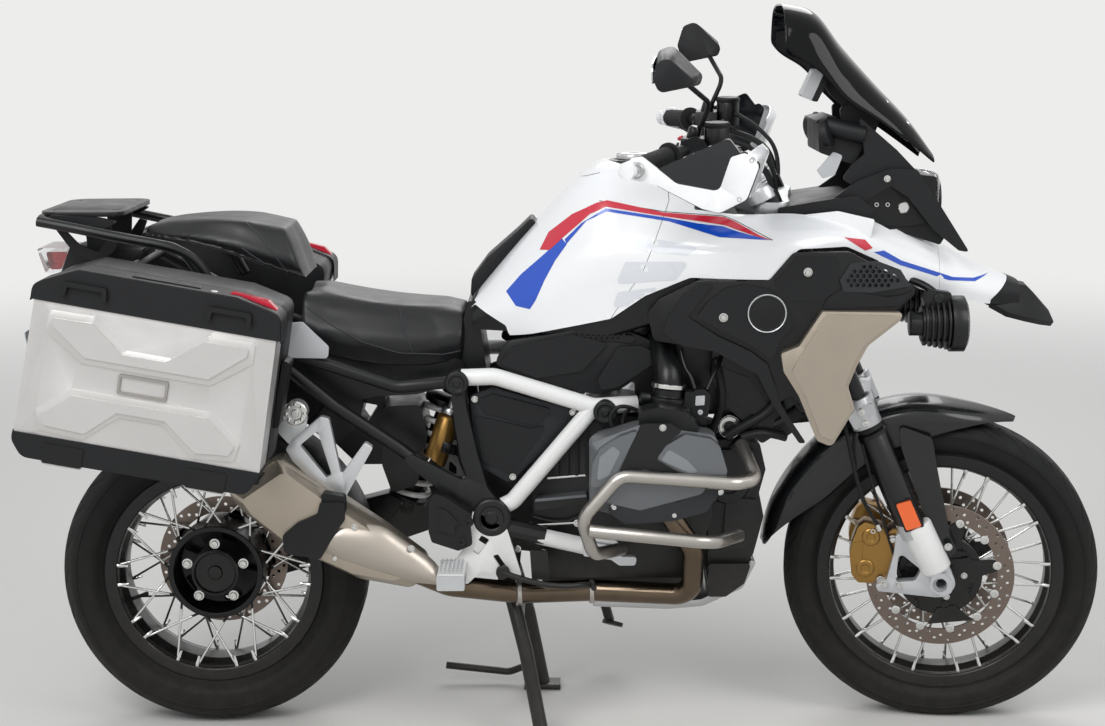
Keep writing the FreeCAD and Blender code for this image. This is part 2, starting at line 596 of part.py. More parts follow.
def engine():
    crankcase = plate("crankcase", "XZ_Plane", [rounded([
        (-40, 340, 20), (-60, 420, 20), (-60, 640, 30), (120, 680, 40), (290, 650, 40), (306, 470, 40),
        (262, 340, 30)])], "-sizes.crank_half", "2 * sizes.crank_half")
    sump = plate("sump", "XZ_Plane", [rounded([
        (-40, 304, 20), (-50, 350), (262, 350), (250, 316, 20), (220, 304, 20)])], -90, 180)
    gearbox = plate("gearbox", "XZ_Plane", [rounded([
        (-196, 420, 30), (-200, 540, 40), (-150, 610, 30), (-50, 620), (-50, 380), (-150, 390, 20)])], -95, 190)
    front = plate("front cover", "XZ_Plane", [rounded([
        (236, 345), (352, 348, 16), (384, 400, 20), (398, 480, 24), (410, 568, 20), (398, 606, 20),
        (236, 648)])], -85, 170)
    lugs = [rod("side stand lug", SIDE_STAND - SIDE_STAND_AXIS * 36,
                SIDE_STAND - SIDE_STAND_AXIS * (12 + S.pin_gap), 17)]
    lugs += [plate("stand lug", "XZ_Plane", [rounded([(-150, 396), (-84, 396), (-94, 300, 16), (-130, 300, 16)])],
                  start, 12) for start in (-92, 80)]
    bar_hole = rod("stand bar hole", (-112, -BIG, 318), (-112, BIG, 318), 13.05)
    block = cut("engine", fused("engine solid", [crankcase, sump, gearbox, front] + lugs), bar_hole)
    node("engine_block", block)
    head = loft("head cover", "XZ_Plane", [
        ("sizes.crank_half", [(70, 540, 20), (70, 650, 20), (150, 668, 20), (270, 650, 24), (284, 590, 20), (270, 540, 20), (150, 524, 20)]),
        ("sizes.head_y - 90", [(53, 530, 14), (53, 660, 14), (150, 694, 20), (296, 676, 24), (320, 600, 20), (294, 546, 20), (150, 508, 20)]),
        ("sizes.head_y - 30", [(53, 530, 14), (53, 660, 14), (150, 696, 20), (296, 676, 24), (321, 600, 20), (294, 550, 20), (150, 506, 20)]),
        ("sizes.head_y", [(82, 550, 14), (82, 640, 14), (150, 670, 20), (270, 656, 24), (292, 600, 20), (268, 566, 20), (150, 534, 20)])],
        ruled=True)
    heads = both_sides("cylinders", head)
    node("cylinders", heads)
    intake = tube("intake", ((206, -232, 676), (212, -226, 770, 40), (196, -150, 842)), 28)
    intakes = cut("intakes", both_sides("intakes", intake), heads)
    node("intakes", intakes)
    plate_points = [(60, 268, 10), (220, 262, 20), (290, 268, 20), (372, 306, 14), (400, 362, 6), (388, 366, 6),
                    (360, 318, 10), (286, 282, 16), (220, 276, 20), (64, 280, 4)]
    shield = plate("skid plate", "XZ_Plane", [rounded(plate_points)], -112, 224)
    posts = [rod("post", (100, side * 60, 272), (100, side * 60, 304), 10) for side in (-1, 1)]
    posts += [rod("front post", (300, side * 60, 290), (280, side * 60, 420), 10) for side in (-1, 1)]
    node("skid_plate", cut("fitted shield", fused("shield and posts", [shield] + posts), block))
    header = tube("header", ((190, -240, 530), (262, -225, 420, 50), (262, -182, 313, 40), (60, -138, 310, 60),
                             (-90, -160, 312, 60), (-230, -176, 332, 60), (-330, -196, 380)), "sizes.pipe_radius")
    muffler = loft("muffler", "XZ_Plane", [
        ("sizes.muffler_inner", shrunk(MUFFLER_SIDE, 0.86)), ("sizes.muffler_inner + 18", MUFFLER_SIDE),
        ("sizes.muffler_outer - 24", MUFFLER_SIDE), ("sizes.muffler_outer", shrunk(MUFFLER_SIDE, 0.84))], ruled=True)
    node("muffler", muffler)
    shields = [
        plate("heat shield", "XZ_Plane", [rounded([
            (-436, 474, 8), (-353, 466, 10), (-262, 392, 14), (-262, 348, 10), (-406, 366, 30), (-474, 400, 8)])],
            "sizes.muffler_outer", 3),
        plate("muffler bracket", "XZ_Plane", [rounded([
            (-477, 521, 6), (-439, 515, 6), (-443, 482, 10), (-480, 406, 8), (-559, 446, 8), (-537, 473, 6),
            (-507, 482, 10)])], "sizes.muffler_outer", 5)]
    node("exhaust_shields", grouped("exhaust shields", shields))
    node("exhaust_pipe", cut("header", header, fused("header ends", [heads, muffler])))
    return heads, intakes, muffler, block


def frame_head(block):
    """The casting from the engine to the upper steering joint, which also carries the front shock."""
    top, bottom = JOINT_HEIGHTS[1], JOINT_HEIGHTS[1] - 24
    x = steer_point(bottom).x
    beam = plate("head beam", "XZ_Plane", [rounded([
        (232, 620), (266, 840, 60), (288, 960, 60), (x - 20, bottom + 8, 8), (x + 18, bottom + 8, 8),
        (x - 8, 1000, 30), (424, 966, 8), (424, 936.4, 4), (352, 936.4, 20), (318, 820, 60), (300, 620)])], -22, 44)
    pin = rod("upper joint", steer_point(top, -30), steer_point(top, -S.pin_gap), "sizes.joint_pin")
    return cut("head", fused("beam and pin", [beam, pin]), block)


def main_frame(block):
    y = -S.frame_y
    side = [
        # the top rail, the slanted down tube and the lower front tube of one side
        tube("top rail", ((-200, y, 764), (-134, y, 766, 60), (64, y, 704, 40), (150, y + 18, 706)), "sizes.frame_tube"),
        tube("down tube", ((64, y, 704), (-100, y, 510, 30), (-150, y, 486)), "sizes.frame_tube"),
        tube("lower tube", ((-150, y, 486), (-110, y, 452, 30), (52, y - 4, 416)), "sizes.frame_tube"),
        plate("eye plate", "XZ_Plane", [rounded([
            (34, 436, 4), (64, 434, 8), (113, 429, 10), (114, 392, 10), (64, 399, 8), (36, 406, 4)])],
            "sizes.frame_y - 3", 12),
    ]
    frame = grouped("main frame", [both_sides("main frame", fused("frame side", side)), frame_head(block)])
    node("main_frame", frame)
    back = [
        tube("pivot leg", ((-142, y + 6, 484), (-194, y + 6, 594, 60), (-205, y + 6, 756)), 15),
        tube("rear stay", ((-142, y + 6, 484), (-327, y + 6, 619, 60), (-455, y + 6, 706, 60), (-620, y + 6, 842)), 13),
        tube("seat rail", ((-205, y + 6, 756), (-330, y + 6, 744, 60), (-620, y + 6, 842, 60), (-860, y + 40, 980)), 13),
    ]
    cross = [rod("cross", (x, y + 6, z), (x, S.frame_y - 6, z), 13) for x, z in ((-205, 756), (-620, 842))]
    cross.append(rod("tail cross", (-860, y + 40, 980), (-860, S.frame_y - 40, 980), 12))
    back.append(plate("pivot casting", "XZ_Plane", [rounded([
        (-196, 730, 8), (-183, 670, 40), (-169, 607, 40), (-150, 540, 20), (-128, 512, 10), (-150, 478, 10),
        (-196, 500, 14), (-231, 525, 30), (-304, 582, 10), (-318, 603, 5), (-298, 609, 8), (-218, 565, 14),
        (-188, 552, 10), (-203, 601, 30), (-214, 670, 40), (-222, 736, 8)])], "sizes.frame_y - 15", 28))
    half = fused("rear side", back)
    rear = fused("rear frame", [half, mirrored("rear side left", half)] + cross)
    rear = cut("rear frame fitted", rear, frame)
    node("rear_frame", rear)
    return frame, rear


def engine_guards():
    y = -S.bar_guard_y + S.guard_tube
    loop = tube("guard loop", ((118, -250, 428), (60, y + 40, 440, 40), (38, y, 522, 40), (112, y, 606, 40),
                               (330, y, 590, 40), (376, y + 30, 590, 30), (352, -250, 640)), "sizes.guard_tube")
    low = tube("guard brace", ((52, y, 498), (291, y, 473, 60), (352, -240, 452)), "sizes.guard_tube")
    node("engine_guards", both_sides("engine guards", fused("guard", [loop, low])))


def rear_drive(rear_frame):
    arm = plate("swingarm", "XZ_Plane", [rounded([
        (-110, 440, 20), (-120, 500, 20), (-330, 470, 40), (-640, 390, 40), (-690, 300, 30), (-640, 270, 30),
        (-420, 330, 40)])], -150, 46)
    drive = rod("final drive", (REAR_AXLE.x, 84, REAR_AXLE.z), (REAR_AXLE.x, 160, REAR_AXLE.z), 88)
    nose = rod("drive flange", (REAR_AXLE.x, 70, REAR_AXLE.z), (REAR_AXLE.x, 90, REAR_AXLE.z), 34)
    pivot = rod("pivot", (-142, 96, 484), (-142, 150, 484), 40)
    mount = rod("shock mount", (-326, -30, 458), (-326, 120, 458), 14)
    swingarm = fused("swingarm", [arm, drive, nose, pivot, mount])
    node("swingarm", swingarm)
    spring = rod("spring", (-326, -6, 474), (-238, -6, 700), 40)
    eye = rod("shock eye", (-238, -6, 700), (-212, -6, 756), 14)
    reservoir = rod("shock body", (-240, -70, 630), (-240, -70, 730), 24)
    link = rod("reservoir link", (-240, -70, 700), (-238, -6, 700), 10)
    shock = fused("rear shock", [spring, eye, reservoir, link])
    node("rear_shock", cut("fitted shock", shock, fused("shock seats", [rear_frame, swingarm])))


def stands():
    legs = [tube("leg", ((-112, side * 112, 318), (-76, side * 144, 180, 60), (-44, side * S.stand_spread, 8)), "sizes.stand_tube")
            for side in (-1, 1)]
    feet = [box("foot", (-86, side * S.stand_spread - 24, 0), (-6, side * S.stand_spread + 24, 12)) for side in (-1, 1)]
    bar = rod("cross bar", (-112, -126, 318), (-112, 126, 318), 13)
    tie = rod("tie", (-90, -134, 240), (-90, 134, 240), 10)
    lever = tube("lever", ((-52, S.stand_spread, 60), (-120, S.stand_spread + 24, 26, 30), (-262, S.stand_spread + 30, 40)), 8)
    frame = fused("stand frame", [fused("stand legs", legs + feet), bar])
    node("centre_stand", fused("centre stand", [fused("braced stand", [frame, tie]), lever]))
    boss = rod("side stand boss", SIDE_STAND - SIDE_STAND_AXIS * 12, SIDE_STAND + SIDE_STAND_AXIS * 14, 17)
    prop = tube("side prop", (tuple(SIDE_STAND), (76, 240, 236, 60), (106, 284, 116)), 11)
    pad = rod("pad", (112, 286, 104), (114, 289, 112), 24)
    node("side_stand", fused("side stand", [prop, pad, boss]))


# ---------------------------------------------------------------- bodywork

BODY_STATIONS = (
    # x, then half width and height of the section's top, shoulder, waist and lower edge
    (-186, 50, 905, 92, 895, 118, 868, 108, 836),
    (-60, 66, 1052, 124, 1004, 166, 932, 162, 848),
    (70, 80, 1176, 140, 1120, 200, 1004, 196, 876),
    (140, 88, 1174, 150, 1118, 212, 1012, 206, 898),
    (210, 90, 1148, 158, 1106, 222, 1018, 216, 920),
    (340, 96, 1104, 172, 1084, 240, 1030, 234, 936),
    (470, 96, 1104, 164, 1086, 232, 1040, 226, 970),
    (580, 84, 1096, 140, 1074, 186, 1036, 180, 990),
    (720, 58, 1042, 104, 1022, 132, 978, 124, 930),
    (850, 40, 972, 78, 956, 94, 924, 84, 896),
    (936, 26, 936, 50, 926, 58, 908, 50, 888),
)


def station_outline(row, less=0.0):
    """The eight corners of one bodywork section, drawn in by a wall and open below if less is given."""
    x, top_y, top_z, high_y, high_z, mid_y, mid_z, low_y, low_z = row
    floor = low_z - 40 if less else low_z
    right = [(-(low_y - less), floor, 10), (-(mid_y - less), mid_z, 40),
             (-(high_y - less), high_z - less, 40), (-(top_y - less), top_z - less, 40)]
    return right + [(-a, b, r) for a, b, r in reversed(right)]


def bodywork():
    """Tank, its covers and the front panels, cut from one lofted form by their side outlines."""
    outer = loft("outer form", "YZ_Plane", [(row[0], station_outline(row)) for row in BODY_STATIONS], ruled=True)
    inner = loft("inner form", "YZ_Plane", [(row[0], station_outline(row, S.skin)) for row in BODY_STATIONS], ruled=True)
    shell = cut("bodywork shell", outer, inner)
    lamp = loft("headlight", "YZ_Plane", [
        (606, [(-104, 1052, 20), (-112, 1140, 30), (112, 1140, 30), (104, 1052, 20)]),
        (772, [(-82, 1056, 20), (-76, 1156, 30), (76, 1156, 30), (82, 1056, 20)])])
    node("headlight", lamp)
    cockpit = fused("cockpit", [box("cockpit", (264, -159, 1000), (600, 159, 1300)),
                                box("yoke's sweep", (264, -178, 1086), (600, 178, 1300))])
    seam = [(97.5, 883.5), (161, 980, 40), (214.5, 1112), (212.5, 1260)]
    back_seam = [(a - S.panel_gap, *rest) for a, *rest in seam]
    side_view = {
        # the tank's covers and the long panels of shoulder and beak, seen from the side
        "tank_cover": [(-104, 838, 20), (-112, 862, 10), (-176, 900, 8), (-184, 890, 8), (-160, 940, 30), (20, 1152, 30),
                       (60, 1260)] + back_seam[::-1],
        "shoulder_panels": seam + [(540, 1260), (600, 1100, 60), (760, 1100), (760, 900), (700, 942, 20),
                                   (664, 976, 20), (562, 1024, 30), (462, 1024, 20), (413, 964, 20), (252, 968, 30),
                                   (164, 930, 20)],
        "beak": [(760.5, 1100), (950, 1100), (950, 800), (760.5, 800)],
    }
    panels = {}
    for label, points in side_view.items():
        tool = plate(label + " outline", "XZ_Plane", [rounded(points)], -BIG / 2, BIG)
        panels[label] = common(label, shell, tool)
    panels["shoulder_panels"] = cut("shoulders", panels["shoulder_panels"], fused("openings", [cockpit, lamp]))
    hinge_x, hinge_z = CAP_HINGE
    boss = fused("filler", [rod("filler boss", (150, 0, 1140), (150, 0, 1182), 44)]
                 + [box("ear", (hinge_x - 3.5, low, 1170), (hinge_x + 3.5, low + 6, hinge_z)) for low in (-17, 11)]
                 + [rod("ear end", (hinge_x, low, hinge_z), (hinge_x, low + 6, hinge_z), 3.5) for low in (-17, 11)])
    filler = rod("filler hole", (150, 0, 1170), (150, 0, 1300), 26)
    panels["tank_cover"] = cut("cover", fused("cover and boss", [panels["tank_cover"], boss]), filler)
    for label, piece in panels.items():
        node(label, piece)
    room = box("tank room", (-180, -400, 850), (262, 400, 1300))
    tank = common("tank", inner, room)
    tank = cut("tank fitted", tank, boss)
    node("fuel_tank", tank)
    cap = [rod("lid", (150, 0, 1182.3), (150, 0, 1194), 37),
           rod("knuckle", (hinge_x, -10, hinge_z), (hinge_x, 10, hinge_z), 4.5)]
    node("fuel_cap", fused("fuel cap", cap))
    pad = plate("pad", "XZ_Plane", [rounded([
        (-186, 916, 6), (-184, 944, 6), (-152, 987, 20), (-89, 1042, 6), (-60, 1070, 6), (-40, 1040), (-120, 940, 20),
        (-176, 890, 6)])], -50, 100)
    node("tank_pad", cut("tank pad", pad, outer))
    tip = loft("beak tip", "YZ_Plane", [(871, [(-70, 888, 4), (-60, 912, 6), (60, 912, 6), (70, 888, 4)]),
                                        (1018, [(-26, 846, 3), (-20, 862, 4), (20, 862, 4), (26, 846, 3)])], ruled=True)
    node("beak_tip", cut("tip", tip, panels["beak"]))
    return fused("bodywork and tank", [outer, tank])


def cowls(outer, intakes, frame):
    cowl = plate("cowl", "XZ_Plane", [rounded([
        (168, 900, 14), (190, 926, 14), (262, 962, 20), (404, 962, 20), (452, 1018, 16), (562, 1018, 20),
        (700, 944, 14), (664, 912, 10), (640, 890, 10), (560, 800, 20), (550, 756, 16), (560, 712, 10),
        (530, 650, 12), (500, 664, 10), (452, 744, 20), (424, 712, 12),
        (392, 782, 16), (288, 828, 20), (180, 846, 14)])], 214, 24)
    node("side_cowls", cut("cowls", both_sides("cowls", cowl), outer))
    wing = plate("wing", "XZ_Plane", [rounded([
        (508, 905, 6), (666, 902, 8), (656, 884, 10), (598, 838, 20), (576, 797, 20), (560, 756, 16), (574, 712, 10),
        (530, 636, 12), (502, 648, 10), (464, 738, 20), (434, 786, 10), (428, 822, 6), (463, 836, 8)])], 238.3, 22)
    node("wing_panels", both_sides("wings", wing))
    radiator = plate("radiator", "XZ_Plane", [rounded([
        (440, 700, 6), (476, 720, 6), (566, 900, 6), (520, 900, 6), (436, 740, 6)])], 172, 41.7)
    node("radiators", both_sides("radiators", radiator))
    airbox = plate("airbox cover", "XZ_Plane", [rounded([
        (-134, 790, 10), (-112, 832, 10), (98, 872, 10), (172, 838, 10), (194, 822, 8), (192, 788, 10),
        (114, 736, 14), (66, 728, 10), (-60, 754, 10)])], 150, 30)
    boxes = cut("airbox", both_sides("airbox", airbox), fused("airbox neighbours", [intakes, frame]))
    node("airbox_covers", cut("airbox fitted", boxes, outer))
    panel = plate("side panel", "XZ_Plane", [rounded([
        (-186, 722, 10), (-140, 738, 10), (40, 690, 14), (-106, 542, 14), (-170, 580, 14)])], 152, 12)
    tail = plate("tail panel", "XZ_Plane", [rounded([
        (-556, 876, 8), (-513, 879, 8), (-462, 829, 8), (-464, 806, 8), (-556, 808, 8)])], 192.3, 8)
    node("side_panels", grouped("side panels", [both_sides("side panel", panel), both_sides("tail", tail)]))


def seats():
    half = S.seat_half
    rider = loft("rider seat", "YZ_Plane", [
        (-528, [(-120, 812, 20), (-150, 864, 40), (-110, 935, 40), (110, 935, 40), (150, 864, 40), (120, 812, 20)]),
        (-380, [(-130, 776, 20), (-half, 830, 40), (-120, 902, 40), (120, 902, 40), (half, 830, 40), (130, 776, 20)]),
        (-192, [(-110, 780, 20), (-130, 840, 40), (-92, 890, 40), (92, 890, 40), (130, 840, 40), (110, 780, 20)])])
    node("rider_seat", rider)
    pillion = loft("pillion seat", "YZ_Plane", [
        (-858, [(-70, 1030, 10), (-84, 1040, 20), (-60, 1056, 20), (60, 1056, 20), (84, 1040, 20), (70, 1030, 10)]),
        (-700, [(-120, 1010, 10), (-150, 1030, 30), (-110, 1070, 30), (110, 1070, 30), (150, 1030, 30), (120, 1010, 10)]),
        (-532, [(-110, 942, 10), (-140, 980, 30), (-100, 1052, 30), (100, 1052, 30), (140, 980, 30), (110, 942, 10)])])
    node("pillion_seat", pillion)


def rear_end(rear_frame):
    rail_z = S.rack_top - S.rack_tube - 2
    side = tube("rack rail", ((-1036, -60, rail_z), (-1030, -190, rail_z - 2, 50), (-930, -196, 1062, 60),
                              (-750, -190, 1026, 60), (-690, -170, 930)), "sizes.rack_tube")
    plate_top = plate("rack plate", "XY_Plane", [rounded([
        (-1040, -150, 40), (-1040, 150, 40), (-872, 160, 40), (-872, -160, 40)])], "sizes.rack_top - 9", 9)
    holes = [ring(-956 + along * 60, across * 110, 3.3) for along in (-1, 1) for across in (-1, 1)]
    pocket(plate_top, "XY_Plane", holes)
    carrier = tube("carrier", ((-620, -179, 842), (-660, -243, 884, 20), (-900, -243, 930, 20), (-930, -243, 760, 20),
                               (-640, -243, 700, 20), (-560, -179, 796)), "sizes.rack_tube")
    rack = fused("rack", [side, mirrored("rack left", side), plate_top])
    whole = grouped("rack and carriers", [rack, both_sides("carriers", carrier)])
    node("luggage_rack", cut("fitted rack", whole, rear_frame))
    light = plate("tail light", "XZ_Plane", [rounded([
        (-1071, 1014, 6), (-1054, 960, 10), (-1016, 962, 10), (-992, 1012, 10)])], -62, 124)
    node("tail_light", light)
    hanger = plate("hanger", "XZ_Plane", [rounded([
        (-850, 1010, 6), (-1000, 1012), (-1060, 860), (-1104, 700, 10), (-1098, 690, 6), (-1050, 850),
        (-980, 952, 20), (-860, 968, 6)])], -70, 140)
    node("plate_holder", cut("hanger", hanger, fused("hanger seats", [light, rear_frame])))


SCREEN_STATIONS = (
    # x, height of the middle, then half width and height of the middle panel's edge, the bend and the rim
    (420, 1492, 84, 1490, 124, 1470, 136, 1446),
    (455, 1492, 86, 1486, 128, 1448, 140, 1398),
    (509, 1475, 88, 1464, 131, 1418, 144, 1362),
    (560, 1412, 88, 1400, 132, 1354, 146, 1308),
    (630, 1335, 88, 1323, 132, 1282, 146, 1246),
    (700, 1262, 86, 1251, 128, 1220, 140, 1198),
    (757, 1183, 76, 1179, 104, 1170, 112, 1160),
)


def screen_outline(row):
    """One section across the windscreen: a shallow arch with its sides folded down."""
    _, top, edge_y, edge_z, bend_y, bend_z, rim_y, rim_z = row
    wall = S.screen_thick
    over = [(-rim_y, rim_z), (-bend_y, bend_z, 40), (-edge_y, edge_z, 60), (0, top, 300)]
    over += [(-a, b, *r) for a, b, *r in reversed(over[:-1])]
    under = [(rim_y - wall, rim_z), (bend_y - wall, bend_z - wall, 36), (edge_y - 2, edge_z - 1.4 * wall, 54),
             (0, top - 1.4 * wall, 300)]
    return over + under + [(-a, b, *r) for a, b, *r in reversed(under[:-1])]


def nose(outer):
    bars = loft("nose bar", "YZ_Plane", [
        (x, [(-y - 5, low), (-y + 5, low), (-y + 5, high), (-y - 5, high)]) for x, y, low, high in (
            (505, 167, 1050, 1090), (579, 156, 1098, 1134), (638, 150, 1142, 1168), (652, 149, 1141, 1165),
            (728, 122, 1090, 1120), (794, 92, 1006, 1034), (816, 82, 960, 1002))], ruled=True)
    cross = rod("nose cross", (570, -152, 1112), (570, 152, 1112), 8)
    stalk = box("stalk", (556, -30, 1110), (584, 30, 1200))
    arms = [rod("screen arm", (600, side * 90, 1222), (690, side * 90, 1242), 7) for side in (-1, 1)]
    shelf = rod("screen arms' root", (600, -96, 1222), (600, 96, 1222), 8)
    frame = fused("nose frame", [bars, mirrored("nose bar left", bars), cross, stalk, shelf] + arms)
    screen = loft("screen", "YZ_Plane", [(row[0], screen_outline(row)) for row in SCREEN_STATIONS], ruled=True)
    node("windscreen", screen)
    dash = plate("instrument", "XZ_Plane", [rounded([
        (517, 1273, 6), (545, 1280, 6), (611, 1226, 6), (584, 1180, 8), (520, 1204, 8)])], -95, 190)
    node("instrument", dash)
    node("nose_frame", cut("fitted nose frame", frame, fused("nose seats", [screen, dash, outer])))
    # a lamp's finned body behind its wide bezel: x of each step and its radius
    steps = [(693, 716, 24), (716, 774, 36), (772, 800, 56)] + [(720 + 11 * i, 724 + 11 * i, 44 + 2 * i) for i in range(5)]
    lamp = fused("aux lamp", [rod("lamp step", (start, -165, 866), (end, -165, 866), radius)
                              for start, end, radius in steps])
    node("aux_lamps", both_sides("aux lamps", lamp))
    tip = steer_point(652)
    arm = fused("control arm", [
        tube("arm", ((300, side * 110, 640), (470, side * 60, 654, 60), tuple(tip)), 12) for side in (-1, 1)])
    strut = rod("front shock", (446, 0, 654), (400, 0, 930), 34)
    tie = rod("arm tie", (446, -70, 653), (446, 70, 653), 12)
    ball = rod("lower joint", tip, steer_point(JOINT_HEIGHTS[0], -S.pin_gap), "sizes.joint_pin - 2")
    node("front_suspension", fused("front suspension", [arm, strut, tie, ball]))


def footrests(muffler, frame, rear_frame):
    bracket = plate("bracket", "XZ_Plane", [rounded([
        (-179, 498, 6), (-111, 458, 8), (-80, 353, 8), (-120, 362, 6), (-163, 372, 8), (-196, 340, 8),
        (-222, 383, 8), (-196, 422, 14)])], 196, 12)
    pocket(bracket, "XZ_Plane", [rounded([(-163, 446, 4), (-146, 436, 4), (-170, 404, 4), (-181, 413, 4)])])
    pocket(bracket, "XZ_Plane", [rounded([(-141, 403, 3), (-130, 406, 3), (-107, 372, 3), (-118, 367, 3)])])
    heel = plate("heel guard", "XZ_Plane", [rounded([
        (-253, 530, 8), (-184, 488, 8), (-182, 456, 8), (-201, 416, 8), (-257, 434, 8), (-267, 513, 8)])], 203, 5)
    pocket(heel, "XZ_Plane", [rounded([(-249, 509, 3), (-233, 492, 6), (-237, 439, 3), (-254, 449, 3)])])
    peg = box("peg", (-246, -320, 364), (-193, -206, 394))
    rest = both_sides("footrests", fused("footrest", [bracket, heel, peg]))
    node("footrests", cut("fitted footrests", rest, fused("footrest seats", [frame, rear_frame])))
    stay = plate("stay", "XZ_Plane", [rounded([
        (-552, 624, 8), (-537, 643, 8), (-480, 691, 8), (-464, 686, 6), (-442, 571, 4), (-393, 638, 6),
        (-377, 627, 6), (-437, 520, 8), (-462, 520, 8), (-538, 600, 8)])], 190, 20)
    pocket(stay, "XZ_Plane", [rounded([(-523, 632, 4), (-487, 662, 4), (-461, 572, 3), (-472, 566, 3)])])
    carrier = plate("peg carrier", "XZ_Plane", [rounded([
        (-582, 676, 6), (-562, 698, 6), (-506, 690, 4), (-514, 655, 4), (-545, 634, 4)])], 196, 12)
    knob = rod("knob", (-528, -192, 701), (-528, -222, 701), 23)
    stays = both_sides("pillion footrests", fused("stay and peg", [stay, carrier, knob]))
    node("pillion_footrests", cut("stays", stays, fused("stay seats", [muffler, rear_frame])))


# ---------------------------------------------------------------- cases

def case_half(label, start, end):
    """One half of a case in its own frame, x along its lower edge, walls all round but the joint."""
    half_long, half_high = S.case_long / 2, S.case_high / 2
    outline = [(-half_long, -half_high + 30, 24), (-half_long + 20, -half_high, 24), (half_long - 20, -half_high, 24),
               (half_long, -half_high + 40, 24), (half_long - 8, half_high - 18, 24), (half_long - 90, half_high, 24),
               (-half_long + 80, half_high, 24), (-half_long + 6, half_high - 34, 24)]
    body = plate(label, "XZ_Plane", [rounded(outline)], start, "%s - (%s)" % (end, start))
    return body, outline


CASE_RELIEF = (
    # the two raised shapes on a case's face, in its own frame
    [(-196, 102, 8), (-110, 103, 8), (-42, 50, 10), (38, 50, 10), (101, 104, 8), (188, 105, 8), (189, 66, 8),
     (117, 12, 10), (-124, 12, 10), (-196, 62, 8)],
    [(-197, -88, 8), (-134, -38, 10), (124, -37, 10), (188, -86, 8), (180, -124, 8), (104, -130, 8), (39, -77, 10),
     (-42, -77, 10), (-103, -130, 8), (-190, -126, 8)],
)


def cases():
    where = Vector(-767, 0, 812)
    half_long, half_high, wall = S.case_long / 2, S.case_high / 2, S.case_wall
    turn = Rotation(Vector(0, 1, 0), S.case_tilt)

    def hollow(label, start, end):
        points = [(-half_long + wall, -half_high + wall + 28, 20), (-half_long + 20 + wall, -half_high + wall, 20),
                  (half_long - 20 - wall, -half_high + wall, 20), (half_long - wall, -half_high + 40 + wall, 20),
                  (half_long - 8 - wall, half_high - 18 - wall, 20), (half_long - 92, half_high - wall, 20),
                  (-half_long + 82, half_high - wall, 20), (-half_long + 6 + wall, half_high - 34 - wall, 20)]
        return plate(label, "XZ_Plane", [rounded(points)], start, "%s - (%s)" % (end, start))

    def knuckles(first, last, radius):
        """Rods about the hinge's pin, at both ends of the case."""
        y, z = -S.case_split - S.case_gap / 2, -half_high - S.hinge_drop
        return [rod("knuckle", (side * first, y, z), (side * last, y, z), radius) for side in (-1, 1)]

    face = "sizes.case_outer - sizes.case_relief"
    base_out, _ = case_half("case base", "sizes.case_inner", "sizes.case_split")
    base = cut("case base", base_out, hollow("base room", "sizes.case_inner + sizes.case_wall", "sizes.case_split + 10"))
    lid_out, _ = case_half("case lid", "sizes.case_split + sizes.case_gap", face)
    lid = cut("case lid", lid_out, hollow("lid room", "sizes.case_split - 10", face + " - sizes.case_wall"))
    raised = [plate("relief", "XZ_Plane", [rounded(points)], face, "sizes.case_relief") for points in CASE_RELIEF]
    blocks = [plate("hinge block", "XZ_Plane", [rounded([
        (side * 97, -half_high + 26, 4), (side * 172, -half_high + 26, 4), (side * 172, -half_high - 8, 4),
        (side * 97, -half_high - 8, 4)])], face + " - 4", "sizes.case_relief + 4") for side in (-1, 1)]
    gap = "sizes.knuckle + sizes.case_gap"
    lid = cut("hinged lid", fused("lid and relief", [lid] + raised + blocks + knuckles(110, 134, "sizes.knuckle")),
              fused("base knuckle room", knuckles(134, 159, gap)))
    base = cut("hinged base", fused("base and knuckles", [base] + knuckles(134.6, 158, "sizes.knuckle")),
               fused("lid knuckle room", knuckles(109, 134.6, gap)))
    for piece in (base, lid):
        piece.Placement = Placement(where, turn)
    node("case_bases", both_sides("case bases", base))
    node("case_lid_right", lid)
    node("case_lid_left", mirrored("case lid left", lid))


def check_and_write():
    """Recomputes, stops on any failed object, then writes one file for each registered piece."""
    DOC.recompute()
    for thing in DOC.Objects:
        if any(word in state for state in thing.State for word in ("Invalid", "Error")):
            raise RuntimeError("%s (%s) did not compute" % (thing.Name, thing.Label))
    os.makedirs("parts", exist_ok=True)
    for label, piece in PARTS.items():
        shape = piece.Shape
        if shape.isNull() or not shape.isValid() or not shape.Solids:
            raise RuntimeError("%s has no valid solid" % label)
        shape.exportStep("parts/%s.step" % label)
        print("%-20s %2d solids %10.0f mm3" % (label, len(shape.Solids), shape.Volume))


front_wheel()
rear_wheel()
front_end()
HEADS, INTAKES, MUFFLER, BLOCK = engine()
FRAME, REAR_FRAME = main_frame(BLOCK)
engine_guards()
rear_drive(REAR_FRAME)
stands()
OUTER = bodywork()
cowls(OUTER, INTAKES, FRAME)
seats()
rear_end(REAR_FRAME)
nose(OUTER)
footrests(MUFFLER, FRAME, REAR_FRAME)
cases()
check_and_write()
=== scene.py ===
"""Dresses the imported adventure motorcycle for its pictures.

The machine stands on its centre stand with the bars turned a little to the right. Everything is in
metres in the model's own frame: +X forward, +Y left, +Z up, the floor at z = 0. Pieces of the
steered front end are drawn with the bars straight ahead and then turned to where they rest.
"""
from __future__ import annotations

import json
import logging
import math
from dataclasses import dataclass, field
from enum import Enum
from typing import Iterable, Sequence

import bmesh
import bpy
from mathutils import Matrix, Vector
from mathutils.bvhtree import BVHTree
from mathutils.geometry import delaunay_2d_cdt

